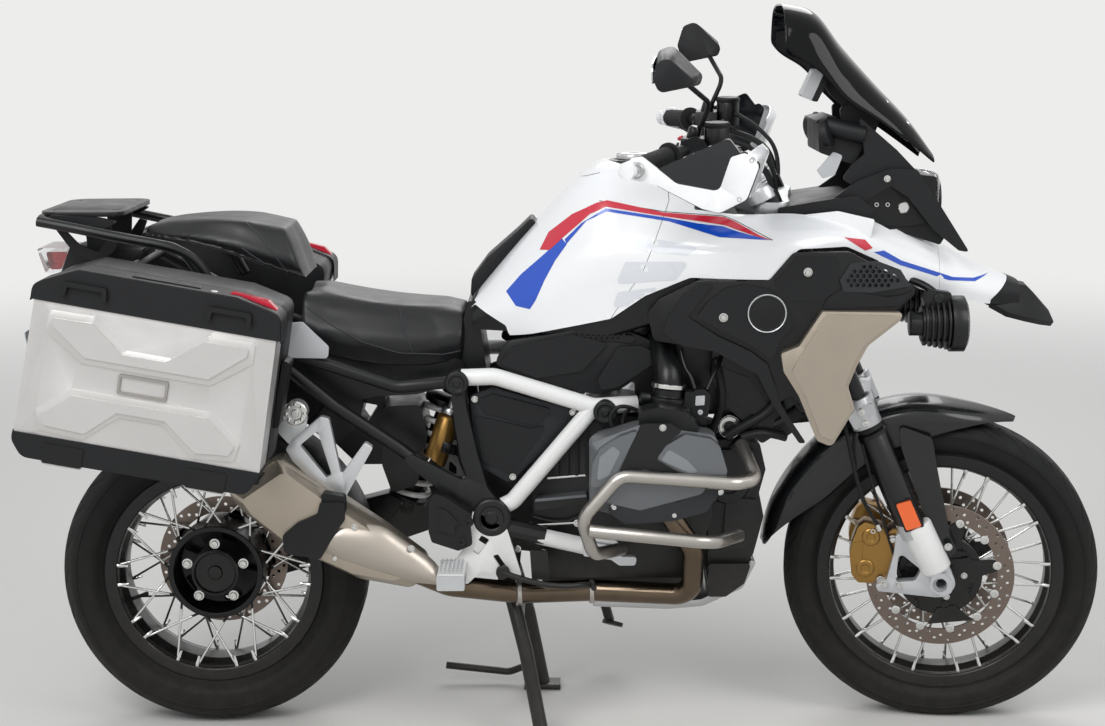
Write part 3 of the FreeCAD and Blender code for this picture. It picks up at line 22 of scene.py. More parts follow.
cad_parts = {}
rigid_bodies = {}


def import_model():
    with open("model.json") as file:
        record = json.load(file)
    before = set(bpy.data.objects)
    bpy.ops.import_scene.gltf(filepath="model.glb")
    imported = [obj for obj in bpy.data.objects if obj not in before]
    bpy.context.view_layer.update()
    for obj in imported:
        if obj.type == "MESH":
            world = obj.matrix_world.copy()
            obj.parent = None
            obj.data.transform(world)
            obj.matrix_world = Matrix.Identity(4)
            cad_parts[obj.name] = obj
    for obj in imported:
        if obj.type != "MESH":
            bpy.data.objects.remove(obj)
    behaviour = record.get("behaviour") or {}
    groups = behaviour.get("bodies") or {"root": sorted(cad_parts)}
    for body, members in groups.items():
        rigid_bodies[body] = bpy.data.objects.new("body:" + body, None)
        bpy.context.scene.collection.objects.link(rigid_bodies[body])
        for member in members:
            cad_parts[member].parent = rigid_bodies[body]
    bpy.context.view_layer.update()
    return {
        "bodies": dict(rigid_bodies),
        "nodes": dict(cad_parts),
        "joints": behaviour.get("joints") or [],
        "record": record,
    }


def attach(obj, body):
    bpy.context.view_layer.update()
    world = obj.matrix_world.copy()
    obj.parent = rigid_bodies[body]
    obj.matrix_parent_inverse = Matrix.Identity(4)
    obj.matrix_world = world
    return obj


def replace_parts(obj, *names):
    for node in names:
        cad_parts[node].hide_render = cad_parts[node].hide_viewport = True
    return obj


LOG = logging.getLogger("motorcycle")
MM = 0.001

Point2 = tuple[float, float]
Point3 = tuple[float, float, float]
OUTWARD: Point3 = (0, -1, 0)
UPWARD: Point3 = (0, 0, 1)
FORWARD: Point3 = (1, 0, 0)
Socket = bpy.types.NodeSocket


# ---------------------------------------------------------------- where things are

@dataclass(frozen=True)
class Steering:
    """The steering axis and how far the bars are turned at rest."""

    rake: float = 25.7
    foot_x: float = 895.6
    rest: float = -7.95

    def turn(self) -> Matrix:
        """The matrix that turns a piece drawn straight ahead to where it rests, in metres."""
        lean = math.radians(self.rake)
        axis = Vector((-math.sin(lean), 0.0, math.cos(lean)))
        foot = Matrix.Translation((self.foot_x * MM, 0.0, 0.0))
        return foot @ Matrix.Rotation(math.radians(self.rest), 4, axis) @ foot.inverted()


STEER = Steering()
FRONT_AXLE = Vector((795.0, 0.0, 325.0))
REAR_AXLE = Vector((-730.0, 0.0, 324.0))


class Body(Enum):
    """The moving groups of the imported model."""

    CHASSIS = "chassis"
    STEERING = "steering"
    FRONT_WHEEL = "front_wheel"
    REAR_WHEEL = "rear_wheel"
    CENTRE_STAND = "centre_stand"
    SIDE_STAND = "side_stand"
    FUEL_CAP = "fuel_cap"
    RIGHT_LID = "case_lid_right"
    LEFT_LID = "case_lid_left"


# Pieces of these bodies are drawn with the bars straight and then turned to where they rest.
STEERED = (Body.STEERING, Body.FRONT_WHEEL)


# ---------------------------------------------------------------- finishes

def linear(code: str, alpha: float = 1.0) -> tuple[float, float, float, float]:
    """Turns an sRGB hex colour into linear light.

    Args:
        code: Six hex digits, such as "C9C4BD".
        alpha: The fourth value.

    Returns:
        Red, green, blue and alpha in linear light.
    """
    channels = [int(code[i:i + 2], 16) / 255 for i in (0, 2, 4)]
    turned = [c / 12.92 if c <= 0.04045 else ((c + 0.055) / 1.055) ** 2.4 for c in channels]
    return (*turned, alpha)


def add_node(tree: bpy.types.NodeTree, kind: str, settings: dict | None = None,
             inputs: dict | None = None) -> bpy.types.Node:
    """Adds one shader node.

    Args:
        tree: The material's node tree.
        kind: The node's type name.
        settings: Properties of the node itself.
        inputs: Socket name or number to a value, or to the socket that feeds it.

    Returns:
        The new node.
    """
    node = tree.nodes.new(kind)
    for name, value in (settings or {}).items():
        setattr(node, name, value)
    for name, value in (inputs or {}).items():
        if isinstance(value, Socket):
            tree.links.new(value, node.inputs[name])
        else:
            node.inputs[name].default_value = value
    return node


@dataclass(frozen=True)
class Finish:
    """A solid finish: what it is made of, and how its surface was made."""

    name: str
    colour: str
    roughness: float = 0.5
    metallic: float = 0.0
    ior: float = 1.5
    coat: float = 0.0
    grain_mm: float = 1.2
    grain_depth_mm: float = 0.03
    mottle: float = 0.05
    smear: float = 0.06
    stretch: tuple[float, float, float] = (1.0, 1.0, 1.0)
    dust: float = 0.0

    def material(self) -> bpy.types.Material:
        """The material for this finish, made once."""
        found = bpy.data.materials.get(self.name)
        if found is not None:
            return found
        made = bpy.data.materials.new(self.name)
        made.use_nodes = True
        tree = made.node_tree
        tree.nodes.clear()
        place = add_node(tree, "ShaderNodeTexCoord").outputs["Object"]
        shader = add_node(tree, "ShaderNodeBsdfPrincipled", inputs={
            "Metallic": self.metallic, "Coat Weight": self.coat, "Coat Roughness": 0.04})
        if not self.metallic:
            shader.inputs["IOR"].default_value = self.ior
        self.surface(tree, place, shader)
        add_node(tree, "ShaderNodeOutputMaterial", inputs={"Surface": shader.outputs["BSDF"]})
        return made

    def surface(self, tree: bpy.types.NodeTree, place: Socket, shader: bpy.types.Node) -> None:
        """Feeds colour, roughness and bump into the shader."""
        tree.links.new(self.coloured(tree, place), shader.inputs["Base Color"])
        wear = add_node(tree, "ShaderNodeTexNoise", inputs={"Vector": place, "Scale": 22.0, "Detail": 5.0})
        rough = add_node(tree, "ShaderNodeMapRange", inputs={
            "Value": wear.outputs["Fac"], "From Min": 0.3, "From Max": 0.7,
            "To Min": max(0.02, self.roughness - self.smear), "To Max": self.roughness + self.smear})
        tree.links.new(rough.outputs["Result"], shader.inputs["Roughness"])
        tree.links.new(self.bump(tree, place), shader.inputs["Normal"])

    def coloured(self, tree: bpy.types.NodeTree, place: Socket) -> Socket:
        """The colour, a little uneven over a hand's width and dusty low down."""
        base = linear(self.colour)
        shades = [tuple(min(1.0, c * k) for c in base[:3]) + (1.0,) for k in (1 - self.mottle, 1 + self.mottle)]
        uneven = add_node(tree, "ShaderNodeTexNoise", inputs={"Vector": place, "Scale": 9.0, "Detail": 6.0})
        mix = add_node(tree, "ShaderNodeMix", {"data_type": "RGBA"}, {
            0: uneven.outputs["Fac"], 6: shades[0], 7: shades[1]})
        if not self.dust:
            return mix.outputs[2]
        split = add_node(tree, "ShaderNodeSeparateXYZ", inputs={"Vector": place})
        low = add_node(tree, "ShaderNodeMapRange", inputs={
            "Value": split.outputs["Z"], "From Min": 0.05, "From Max": 0.55, "To Min": self.dust, "To Max": 0.0})
        patch = add_node(tree, "ShaderNodeTexNoise", inputs={"Vector": place, "Scale": 45.0, "Detail": 8.0})
        amount = add_node(tree, "ShaderNodeMath", {"operation": "MULTIPLY"}, {
            0: low.outputs["Result"], 1: patch.outputs["Fac"]})
        dusty = add_node(tree, "ShaderNodeMix", {"data_type": "RGBA"}, {
            0: amount.outputs[0], 6: mix.outputs[2], 7: linear("8A8074")})
        return dusty.outputs[2]

    def bump(self, tree: bpy.types.NodeTree, place: Socket) -> Socket:
        """The grain of the surface as a bump."""
        scaled = add_node(tree, "ShaderNodeMapping", inputs={"Vector": place, "Scale": self.stretch})
        grain = add_node(tree, "ShaderNodeTexNoise", inputs={
            "Vector": scaled.outputs["Vector"], "Scale": 1000 / self.grain_mm / 2, "Detail": 3.0})
        made = add_node(tree, "ShaderNodeBump", inputs={
            "Strength": 0.6, "Distance": self.grain_depth_mm * MM, "Height": grain.outputs["Fac"]})
        return made.outputs["Normal"]


@dataclass(frozen=True)
class TwoFinishes(Finish):
    """One casting painted in two colours that meet at a height or length."""

    other: str = "000000"
    other_metallic: float = 0.0
    other_roughness: float = 0.4
    axis: str = "Z"
    at: float = 0.0
    above: bool = True
    centre: tuple[float, float, float] | None = None

    def surface(self, tree: bpy.types.NodeTree, place: Socket, shader: bpy.types.Node) -> None:
        """As one finish, with colour, metallic and roughness chosen by place."""
        super().surface(tree, place, shader)
        if self.centre:
            far = add_node(tree, "ShaderNodeVectorMath", {"operation": "DISTANCE"}, {0: place, 1: self.centre})
            reach = far.outputs["Value"]
        else:
            reach = add_node(tree, "ShaderNodeSeparateXYZ", inputs={"Vector": place}).outputs[self.axis]
        test = add_node(tree, "ShaderNodeMath", {"operation": "GREATER_THAN" if self.above else "LESS_THAN"}, {
            0: reach, 1: self.at})
        was = shader.inputs["Base Color"].links[0].from_socket
        mix = add_node(tree, "ShaderNodeMix", {"data_type": "RGBA"}, {
            0: test.outputs[0], 6: was, 7: linear(self.other)})
        tree.links.new(mix.outputs[2], shader.inputs["Base Color"])
        rough = add_node(tree, "ShaderNodeMix", inputs={
            0: test.outputs[0], 2: shader.inputs["Roughness"].links[0].from_socket, 3: self.other_roughness})
        tree.links.new(rough.outputs[0], shader.inputs["Roughness"])
        metal = add_node(tree, "ShaderNodeMix", inputs={
            0: test.outputs[0], 2: self.metallic, 3: self.other_metallic})
        tree.links.new(metal.outputs[0], shader.inputs["Metallic"])


@dataclass(frozen=True)
class Glazing(Finish):
    """Clear or tinted sheet that lets light through."""

    clear: float = 0.9

    def surface(self, tree: bpy.types.NodeTree, place: Socket, shader: bpy.types.Node) -> None:
        """A tinted pane with fine wiping marks in its roughness."""
        shader.inputs["Base Color"].default_value = linear(self.colour)
        shader.inputs["Transmission Weight"].default_value = self.clear
        marks = add_node(tree, "ShaderNodeTexNoise", inputs={"Vector": place, "Scale": 30.0, "Detail": 6.0})
        rough = add_node(tree, "ShaderNodeMapRange", inputs={
            "Value": marks.outputs["Fac"], "To Min": self.roughness * 0.5, "To Max": self.roughness * 1.5})
        tree.links.new(rough.outputs["Result"], shader.inputs["Roughness"])


# White two-pack enamel over moulded ABS: deep gloss, faint orange peel.
WHITE_ENAMEL = Finish("white_enamel_on_ABS", "F1F2F3", 0.22, coat=0.6, grain_mm=6, grain_depth_mm=0.02, mottle=0.01)
# Signal red and blue enamel stripes under the same lacquer.
# The same enamel a shade greyer, on the printed ribs.
GREY_ENAMEL = Finish("pale_grey_enamel", "DADDE2", 0.3, coat=0.4, grain_mm=6, grain_depth_mm=0.02, mottle=0.02)
RED_ENAMEL = Finish("red_enamel", "CC1F38", 0.22, coat=0.6, grain_mm=6, grain_depth_mm=0.02, mottle=0.03)
BLUE_ENAMEL = Finish("blue_enamel", "0F4CBE", 0.22, coat=0.6, grain_mm=6, grain_depth_mm=0.02, mottle=0.03)
# Black ABS mouldings with a spark-eroded grain: low sheen.
GRAINED_ABS = Finish("black_grained_ABS", "151618", 0.5, ior=1.36, grain_mm=0.9, grain_depth_mm=0.06, mottle=0.12,
                     dust=0.12)
SMOOTH_ABS = Finish("black_satin_ABS", "0F1011", 0.32, ior=1.4, grain_mm=1.6, grain_depth_mm=0.02, mottle=0.1, dust=0.1)
CHARCOAL_ABS = Finish("charcoal_grained_ABS", "26282B", 0.46, ior=1.4, grain_mm=0.8, grain_depth_mm=0.05, mottle=0.1,
                      dust=0.12)
GREY_ABS = Finish("light_grey_painted_ABS", "B9BBBD", 0.35, grain_mm=3, grain_depth_mm=0.02, mottle=0.04)
# Metallic enamel in a warm champagne silver, satin clear coat.
CHAMPAGNE = Finish("champagne_metallic_enamel", "ACA294", 0.34, 0.75, grain_mm=0.5, grain_depth_mm=0.012, mottle=0.05)
# Powder-coated steel tube: slight orange peel.
WHITE_POWDER = Finish("white_powder_coat", "E9E9E7", 0.34, grain_mm=1.6, grain_depth_mm=0.04, mottle=0.03, dust=0.4)
BLACK_POWDER = Finish("black_powder_coat", "111213", 0.38, ior=1.42, grain_mm=1.6, grain_depth_mm=0.05, mottle=0.15,
                      dust=0.15)
# Anodised aluminium rims: satin black with a dry sheen.
BLACK_ANODISED = Finish("black_anodised_aluminium", "101113", 0.3, 0.3, grain_mm=0.6, grain_depth_mm=0.02, dust=0.12)
GOLD_ANODISED = Finish("gold_anodised_aluminium", "9A7740", 0.34, 0.85, grain_mm=0.5, grain_depth_mm=0.02, mottle=0.1)
CAST_SILVER = Finish("silver_painted_casting", "C3C5C7", 0.36, 0.55, grain_mm=1.4, grain_depth_mm=0.06, mottle=0.06)
ENGINE_GREY = Finish("grey_metallic_casting", "6E7174", 0.42, 0.6, grain_mm=1.4, grain_depth_mm=0.08, mottle=0.08)
# The cover insets are the same casting, sprayed a shade paler.
ENGINE_PALE = Finish("pale_grey_metallic_casting", "8B8F93", 0.38, 0.6, grain_mm=1.4, grain_depth_mm=0.06, mottle=0.06)
ENGINE_BLACK = Finish("black_enamelled_casting", "101112", 0.42, ior=1.42, grain_mm=1.6, grain_depth_mm=0.09,
                      mottle=0.2, dust=0.2)
STAINLESS = Finish("bead_blasted_stainless_tube", "B3AFA9", 0.32, 0.95, grain_mm=0.5, grain_depth_mm=0.02, mottle=0.05)
BRUSHED_ALUMINIUM = Finish("brushed_aluminium_sheet", "B7B8B8", 0.34, 0.95, grain_mm=0.8, grain_depth_mm=0.03,
                           stretch=(0.06, 1.0, 1.0), mottle=0.05)
POLISHED_STEEL = Finish("polished_steel_wire", "D5D5D3", 0.2, 1.0, grain_mm=0.8, grain_depth_mm=0.01)
BRAKE_STEEL = Finish("ground_brake_steel", "7C7068", 0.34, 0.9, grain_mm=0.4, grain_depth_mm=0.02, mottle=0.12)
RUBBER = Finish("black_rubber", "131415", 0.6, ior=1.4, grain_mm=1.0, grain_depth_mm=0.05, mottle=0.15, dust=0.15)
VINYL = Finish("grained_seat_vinyl", "151618", 0.42, ior=1.44, grain_mm=1.3, grain_depth_mm=0.16, mottle=0.12)
# Polyester thread and piping along the seat seams: duller and a little lighter than the vinyl.
SEAT_THREAD = Finish("waxed_seat_thread", "2B2C2F", 0.7, grain_mm=1.0, grain_depth_mm=0.1)
# Woven carbon under lacquer, drawn as a dark mottle.
CARBON = Finish("lacquered_carbon", "161719", 0.24, ior=1.4, coat=0.35, grain_mm=2.0, grain_depth_mm=0.02, mottle=0.4)
TYRE_RUBBER = Finish("tyre_rubber", "0D0E0E", 0.68, ior=1.34, grain_mm=1.4, grain_depth_mm=0.08, mottle=0.18, dust=0.08)
SMOKED_SCREEN = Glazing("smoked_polycarbonate", "0B0D10", 0.05, ior=1.3, clear=0.55)
CLEAR_LENS = Glazing("clear_polycarbonate", "F4F6F7", 0.04, ior=1.58, clear=0.95)
RED_LENS = Glazing("red_polycarbonate", "C4161C", 0.08, ior=1.58, clear=0.6)
# Amber polycarbonate over a prismatic back, as in reflectors and indicators.
AMBER_LENS = Finish("amber_polycarbonate", "F0641E", 0.14, ior=1.58, coat=0.4, grain_mm=2.4, grain_depth_mm=0.12,
                    mottle=0.08)
# Smoked polycarbonate deflector, almost opaque against the white guard.
SMOKED_PLATE = Finish("smoked_polycarbonate_plate", "15171A", 0.1, ior=1.5, coat=0.2, grain_mm=3, grain_depth_mm=0.01)
# Silvered glass: a first-surface mirror to the eye.
MIRROR_GLASS = Finish("silvered_mirror_glass", "C9D0D6", 0.03, 1.0, grain_mm=8, grain_depth_mm=0.004, mottle=0.01,
                      smear=0.01)
# Bonded display glass over a dark screen.
DISPLAY_GLASS = Finish("bonded_display_glass", "0B0D10", 0.06, ior=1.52, coat=0.8, grain_mm=8, grain_depth_mm=0.004)
# Milky light guide of the running light, unlit.
LAMP_WHITE = Finish("opal_acrylic_light_guide", "E8ECEE", 0.2, ior=1.49, coat=0.3, grain_mm=3, grain_depth_mm=0.01)
# Brazed aluminium cooler fins under black paint: fine upright lines.
CORE_FINS = Finish("brazed_aluminium_fins", "26282A", 0.45, 0.4, grain_mm=4, grain_depth_mm=0.8, stretch=(1.0, 1.0,
                                                                                                          0.1))
# Anodised aluminium case skin, warm and even, with fine rolling lines.
CASE_SILVER = Finish("warm_anodised_aluminium_sheet", "CBC9C7", 0.35, 0.55, grain_mm=0.6, grain_depth_mm=0.02,
                     mottle=0.03,
                     stretch=(0.1, 1.0, 1.0))
# The rim round each case's pressed recess, in darker aluminium: painted shade on the recess walls.
CASE_SHADE = Finish("aluminium_recess_painted_shade", "9D9995", 0.45, 0.6, grain_mm=0.6, grain_depth_mm=0.02, mottle=0.03)
FORK_LEG = TwoFinishes("black_slider_silver_foot", "C3C5C7", 0.36, 0.55, other="0D0E0F", other_roughness=0.3, at=0.44,
                       grain_mm=1.4, grain_depth_mm=0.05)
# Wheels: anodised hub and plated spokes are one lacing, told apart by their distance from the axle.
FRONT_LACING = TwoFinishes("front_black_hub_plated_spokes", "101113", 0.34, 0.3, other="D5D5D3", other_metallic=1.0,
                           other_roughness=0.22, at=0.082, centre=tuple(STEER.turn() @ (FRONT_AXLE * MM)))
REAR_LACING = TwoFinishes("rear_black_hub_plated_spokes", "101113", 0.34, 0.3, other="D5D5D3", other_metallic=1.0,
                          other_roughness=0.22, at=0.118, centre=tuple(REAR_AXLE * MM))
# Charcoal middle panels and light grey tail panels, the same moulding's two paints.
SIDE_PANEL = TwoFinishes("charcoal_and_grey_ABS", "26282B", 0.46, ior=1.4, grain_mm=0.8, grain_depth_mm=0.05,
                         other="BDBFC1", other_roughness=0.34, axis="X", at=-0.4, above=False)
# Polished and lacquered forging.
POLISHED_FORGING = Finish("polished_aluminium_forging", "D2D4D6", 0.4, 0.6, grain_mm=1.2, grain_depth_mm=0.03,
                          mottle=0.05)
# Satin stainless shield over the silencer, warm where it runs hot.
SHIELD_STEEL = Finish("satin_stainless_shield", "B5ADA3", 0.36, 0.8, grain_mm=0.5, grain_depth_mm=0.006, mottle=0.04)
EXHAUST_STEEL = Finish("heat_tinted_stainless", "66594B", 0.22, 1.0, grain_mm=0.8, grain_depth_mm=0.01, mottle=0.45,
                       dust=0.2)


# ---------------------------------------------------------------- carried-over nodes

@dataclass(frozen=True)
class NodeLook:
    """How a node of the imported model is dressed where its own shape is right."""

    node: str
    finish: Finish
    edge_mm: float = 1.0
    smooth_deg: float = 32.0


NODE_LOOKS = (
    NodeLook("front_tyre", TYRE_RUBBER, 0), NodeLook("rear_tyre", TYRE_RUBBER, 0),
    NodeLook("front_rim", BLACK_ANODISED, 0.6), NodeLook("rear_rim", BLACK_ANODISED, 0.6),
    NodeLook("front_spokes", FRONT_LACING, 0), NodeLook("rear_spokes", REAR_LACING, 0),
    NodeLook("front_discs", BRAKE_STEEL, 0.3), NodeLook("rear_disc", BRAKE_STEEL, 0.3),
    NodeLook("fork_tubes", SMOOTH_ABS, 0), NodeLook("fork_legs", FORK_LEG, 1.5),
    NodeLook("fork_yokes", CAST_SILVER, 2), NodeLook("handlebar", BLACK_POWDER, 1.5),
    NodeLook("grips", RUBBER, 1), NodeLook("hand_guards", WHITE_ENAMEL, 1.2), NodeLook("mirrors", GRAINED_ABS, 2),
    NodeLook("front_mudguard", CARBON, 1), NodeLook("calipers", GOLD_ANODISED, 2),
    NodeLook("engine_block", ENGINE_BLACK, 3), NodeLook("cylinders", ENGINE_GREY, 3),
    NodeLook("exhaust_shields", SHIELD_STEEL, 1), NodeLook("intakes", SMOOTH_ABS, 1), NodeLook("skid_plate",
                                                                                               BRUSHED_ALUMINIUM, 1),
    NodeLook("muffler", CHAMPAGNE, 2), NodeLook("exhaust_pipe", EXHAUST_STEEL, 0),
    NodeLook("main_frame", WHITE_POWDER, 0.8), NodeLook("rear_frame", BLACK_POWDER, 0.8),
    NodeLook("engine_guards", STAINLESS, 0.5), NodeLook("swingarm", BLACK_POWDER, 3),
    NodeLook("rear_shock", WHITE_POWDER, 1), NodeLook("centre_stand", BLACK_POWDER, 0.8),
    NodeLook("side_stand", BLACK_POWDER, 0.8), NodeLook("headlight", CLEAR_LENS, 2),
    NodeLook("tank_cover", WHITE_ENAMEL, 0), NodeLook("shoulder_panels", WHITE_ENAMEL, 0),
    NodeLook("beak", WHITE_ENAMEL, 0), NodeLook("fuel_tank", SMOOTH_ABS, 0),
    NodeLook("fuel_cap", BRUSHED_ALUMINIUM, 1.5), NodeLook("tank_pad", GRAINED_ABS, 1),
    NodeLook("beak_tip", GRAINED_ABS, 1), NodeLook("side_cowls", SMOOTH_ABS, 2),
    NodeLook("wing_panels", CHAMPAGNE, 2.5), NodeLook("radiators", BLACK_ANODISED, 1),
    NodeLook("airbox_covers", GRAINED_ABS, 3), NodeLook("side_panels", SIDE_PANEL, 2),
    NodeLook("rider_seat", VINYL, 0), NodeLook("pillion_seat", VINYL, 0),
    NodeLook("luggage_rack", BLACK_POWDER, 1), NodeLook("tail_light", RED_LENS, 1.5),
    NodeLook("plate_holder", GRAINED_ABS, 1.5), NodeLook("nose_frame", BLACK_POWDER, 0.6),
    NodeLook("windscreen", SMOKED_SCREEN, 0.6), NodeLook("instrument", SMOOTH_ABS, 2),
    NodeLook("aux_lamps", BLACK_POWDER, 1.5), NodeLook("front_suspension", BLACK_POWDER, 0.8),
    NodeLook("footrests", WHITE_POWDER, 1), NodeLook("pillion_footrests", POLISHED_FORGING, 2.5),
    NodeLook("case_bases", GRAINED_ABS, 3), NodeLook("case_lid_right", CASE_SILVER, 3),
    NodeLook("case_lid_left", CASE_SILVER, 3),
)


def dress_nodes(nodes: dict[str, bpy.types.Object]) -> None:
    """Gives each shown node its finish, softened edges and smooth shading.

    Args:
        nodes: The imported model's objects by name.
    """
    for look in NODE_LOOKS:
        thing = nodes[look.node]
        if thing.hide_render:
            continue
        thing.data.materials.clear()
        thing.data.materials.append(look.finish.material())
        weld = thing.modifiers.new("weld", "WELD")
        weld.merge_threshold = 0.00002
        if look.edge_mm:
            soften_edges(thing, look.edge_mm, look.smooth_deg)
        thing.data.polygons.foreach_set("use_smooth", [True] * len(thing.data.polygons))
        if not look.edge_mm:
            split = thing.modifiers.new("creases", "EDGE_SPLIT")
            split.split_angle = math.radians(look.smooth_deg)
        LOG.info("node %s in %s", look.node, look.finish.name)


def soften_edges(thing: bpy.types.Object, width_mm: float, angle: float = 32.0) -> None:
    """Rounds a piece's sharp edges so that they catch the light."""
    bevel = thing.modifiers.new("edges", "BEVEL")
    bevel.width, bevel.segments = width_mm * MM, 2
    bevel.limit_method, bevel.angle_limit = "ANGLE", math.radians(angle)
    bevel.harden_normals = True
    bevel.use_clamp_overlap = True


# ---------------------------------------------------------------- making pieces

SIDE_ON = Matrix(((1, 0, 0, 0), (0, 0, -1, 0), (0, 1, 0, 0), (0, 0, 0, 1)))


def rounded(corners: Sequence[Sequence[float]], steps: int = 5) -> list[Point2]:
    """Rounds the corners of a closed outline.

    Args:
        corners: Each corner as (x, z) or (x, z, radius).
        steps: Short runs in each rounded corner.

    Returns:
        The outline as plain points.
    """
    points: list[Point2] = []
    count = len(corners)
    for index, corner in enumerate(corners):
        here = Vector(corner[:2])
        if len(corner) < 3 or not corner[2]:
            points.append(tuple(here))
            continue
        before, after = Vector(corners[index - 1][:2]) - here, Vector(corners[(index + 1) % count][:2]) - here
        half = before.angle(after) / 2
        reach = min(corner[2] / math.tan(half), before.length * 0.49, after.length * 0.49) if half > 0.02 else 0.1
        start, end = here + before.normalized() * reach, here + after.normalized() * reach
        for step in range(steps + 1):
            t = step / steps
            points.append(tuple(start * (1 - t) ** 2 + here * 2 * t * (1 - t) + end * t * t))
    return points


def curve_mesh(dimensions: str, loops: Iterable[Sequence[Sequence[float]]], closed: bool, kind: str = "POLY",
               **settings: float | bool | str) -> bpy.types.Mesh:
    """Makes a mesh from a curve that isn't kept.

    Args:
        dimensions: "2D" for a filled outline, "3D" for a tube.
        loops: The points of each spline.
        closed: Whether each spline closes on itself.
        kind: Spline type, POLY or NURBS.
        **settings: Further settings of the curve, such as extrude.

    Returns:
        The mesh.
    """
    curve = bpy.data.curves.new("outline", "CURVE")
    curve.dimensions = dimensions
    for name, value in settings.items():
        setattr(curve, name, value)
    for loop in loops:
        spline = curve.splines.new(kind)
        spline.points.add(len(loop) - 1)
        for point, at in zip(spline.points, loop):
            point.co = (*at, 0.0, 1.0) if len(at) == 2 else (*at, 1.0)
        spline.use_cyclic_u = closed
        if kind == "NURBS":
            spline.order_u, spline.use_endpoint_u, spline.resolution_u = 3, not closed, 8
    thing = bpy.data.objects.new("outline", curve)
    mesh = bpy.data.meshes.new_from_object(thing)
    bpy.data.objects.remove(thing)
    bpy.data.curves.remove(curve)
    return mesh


def aimed(at: Sequence[float], along: Sequence[float]) -> Matrix:
    """The matrix that puts a piece drawn about Z at a point, with its Z along a direction."""
    return Matrix.Translation(at) @ Vector(along).to_track_quat("Z", "Y").to_matrix().to_4x4()


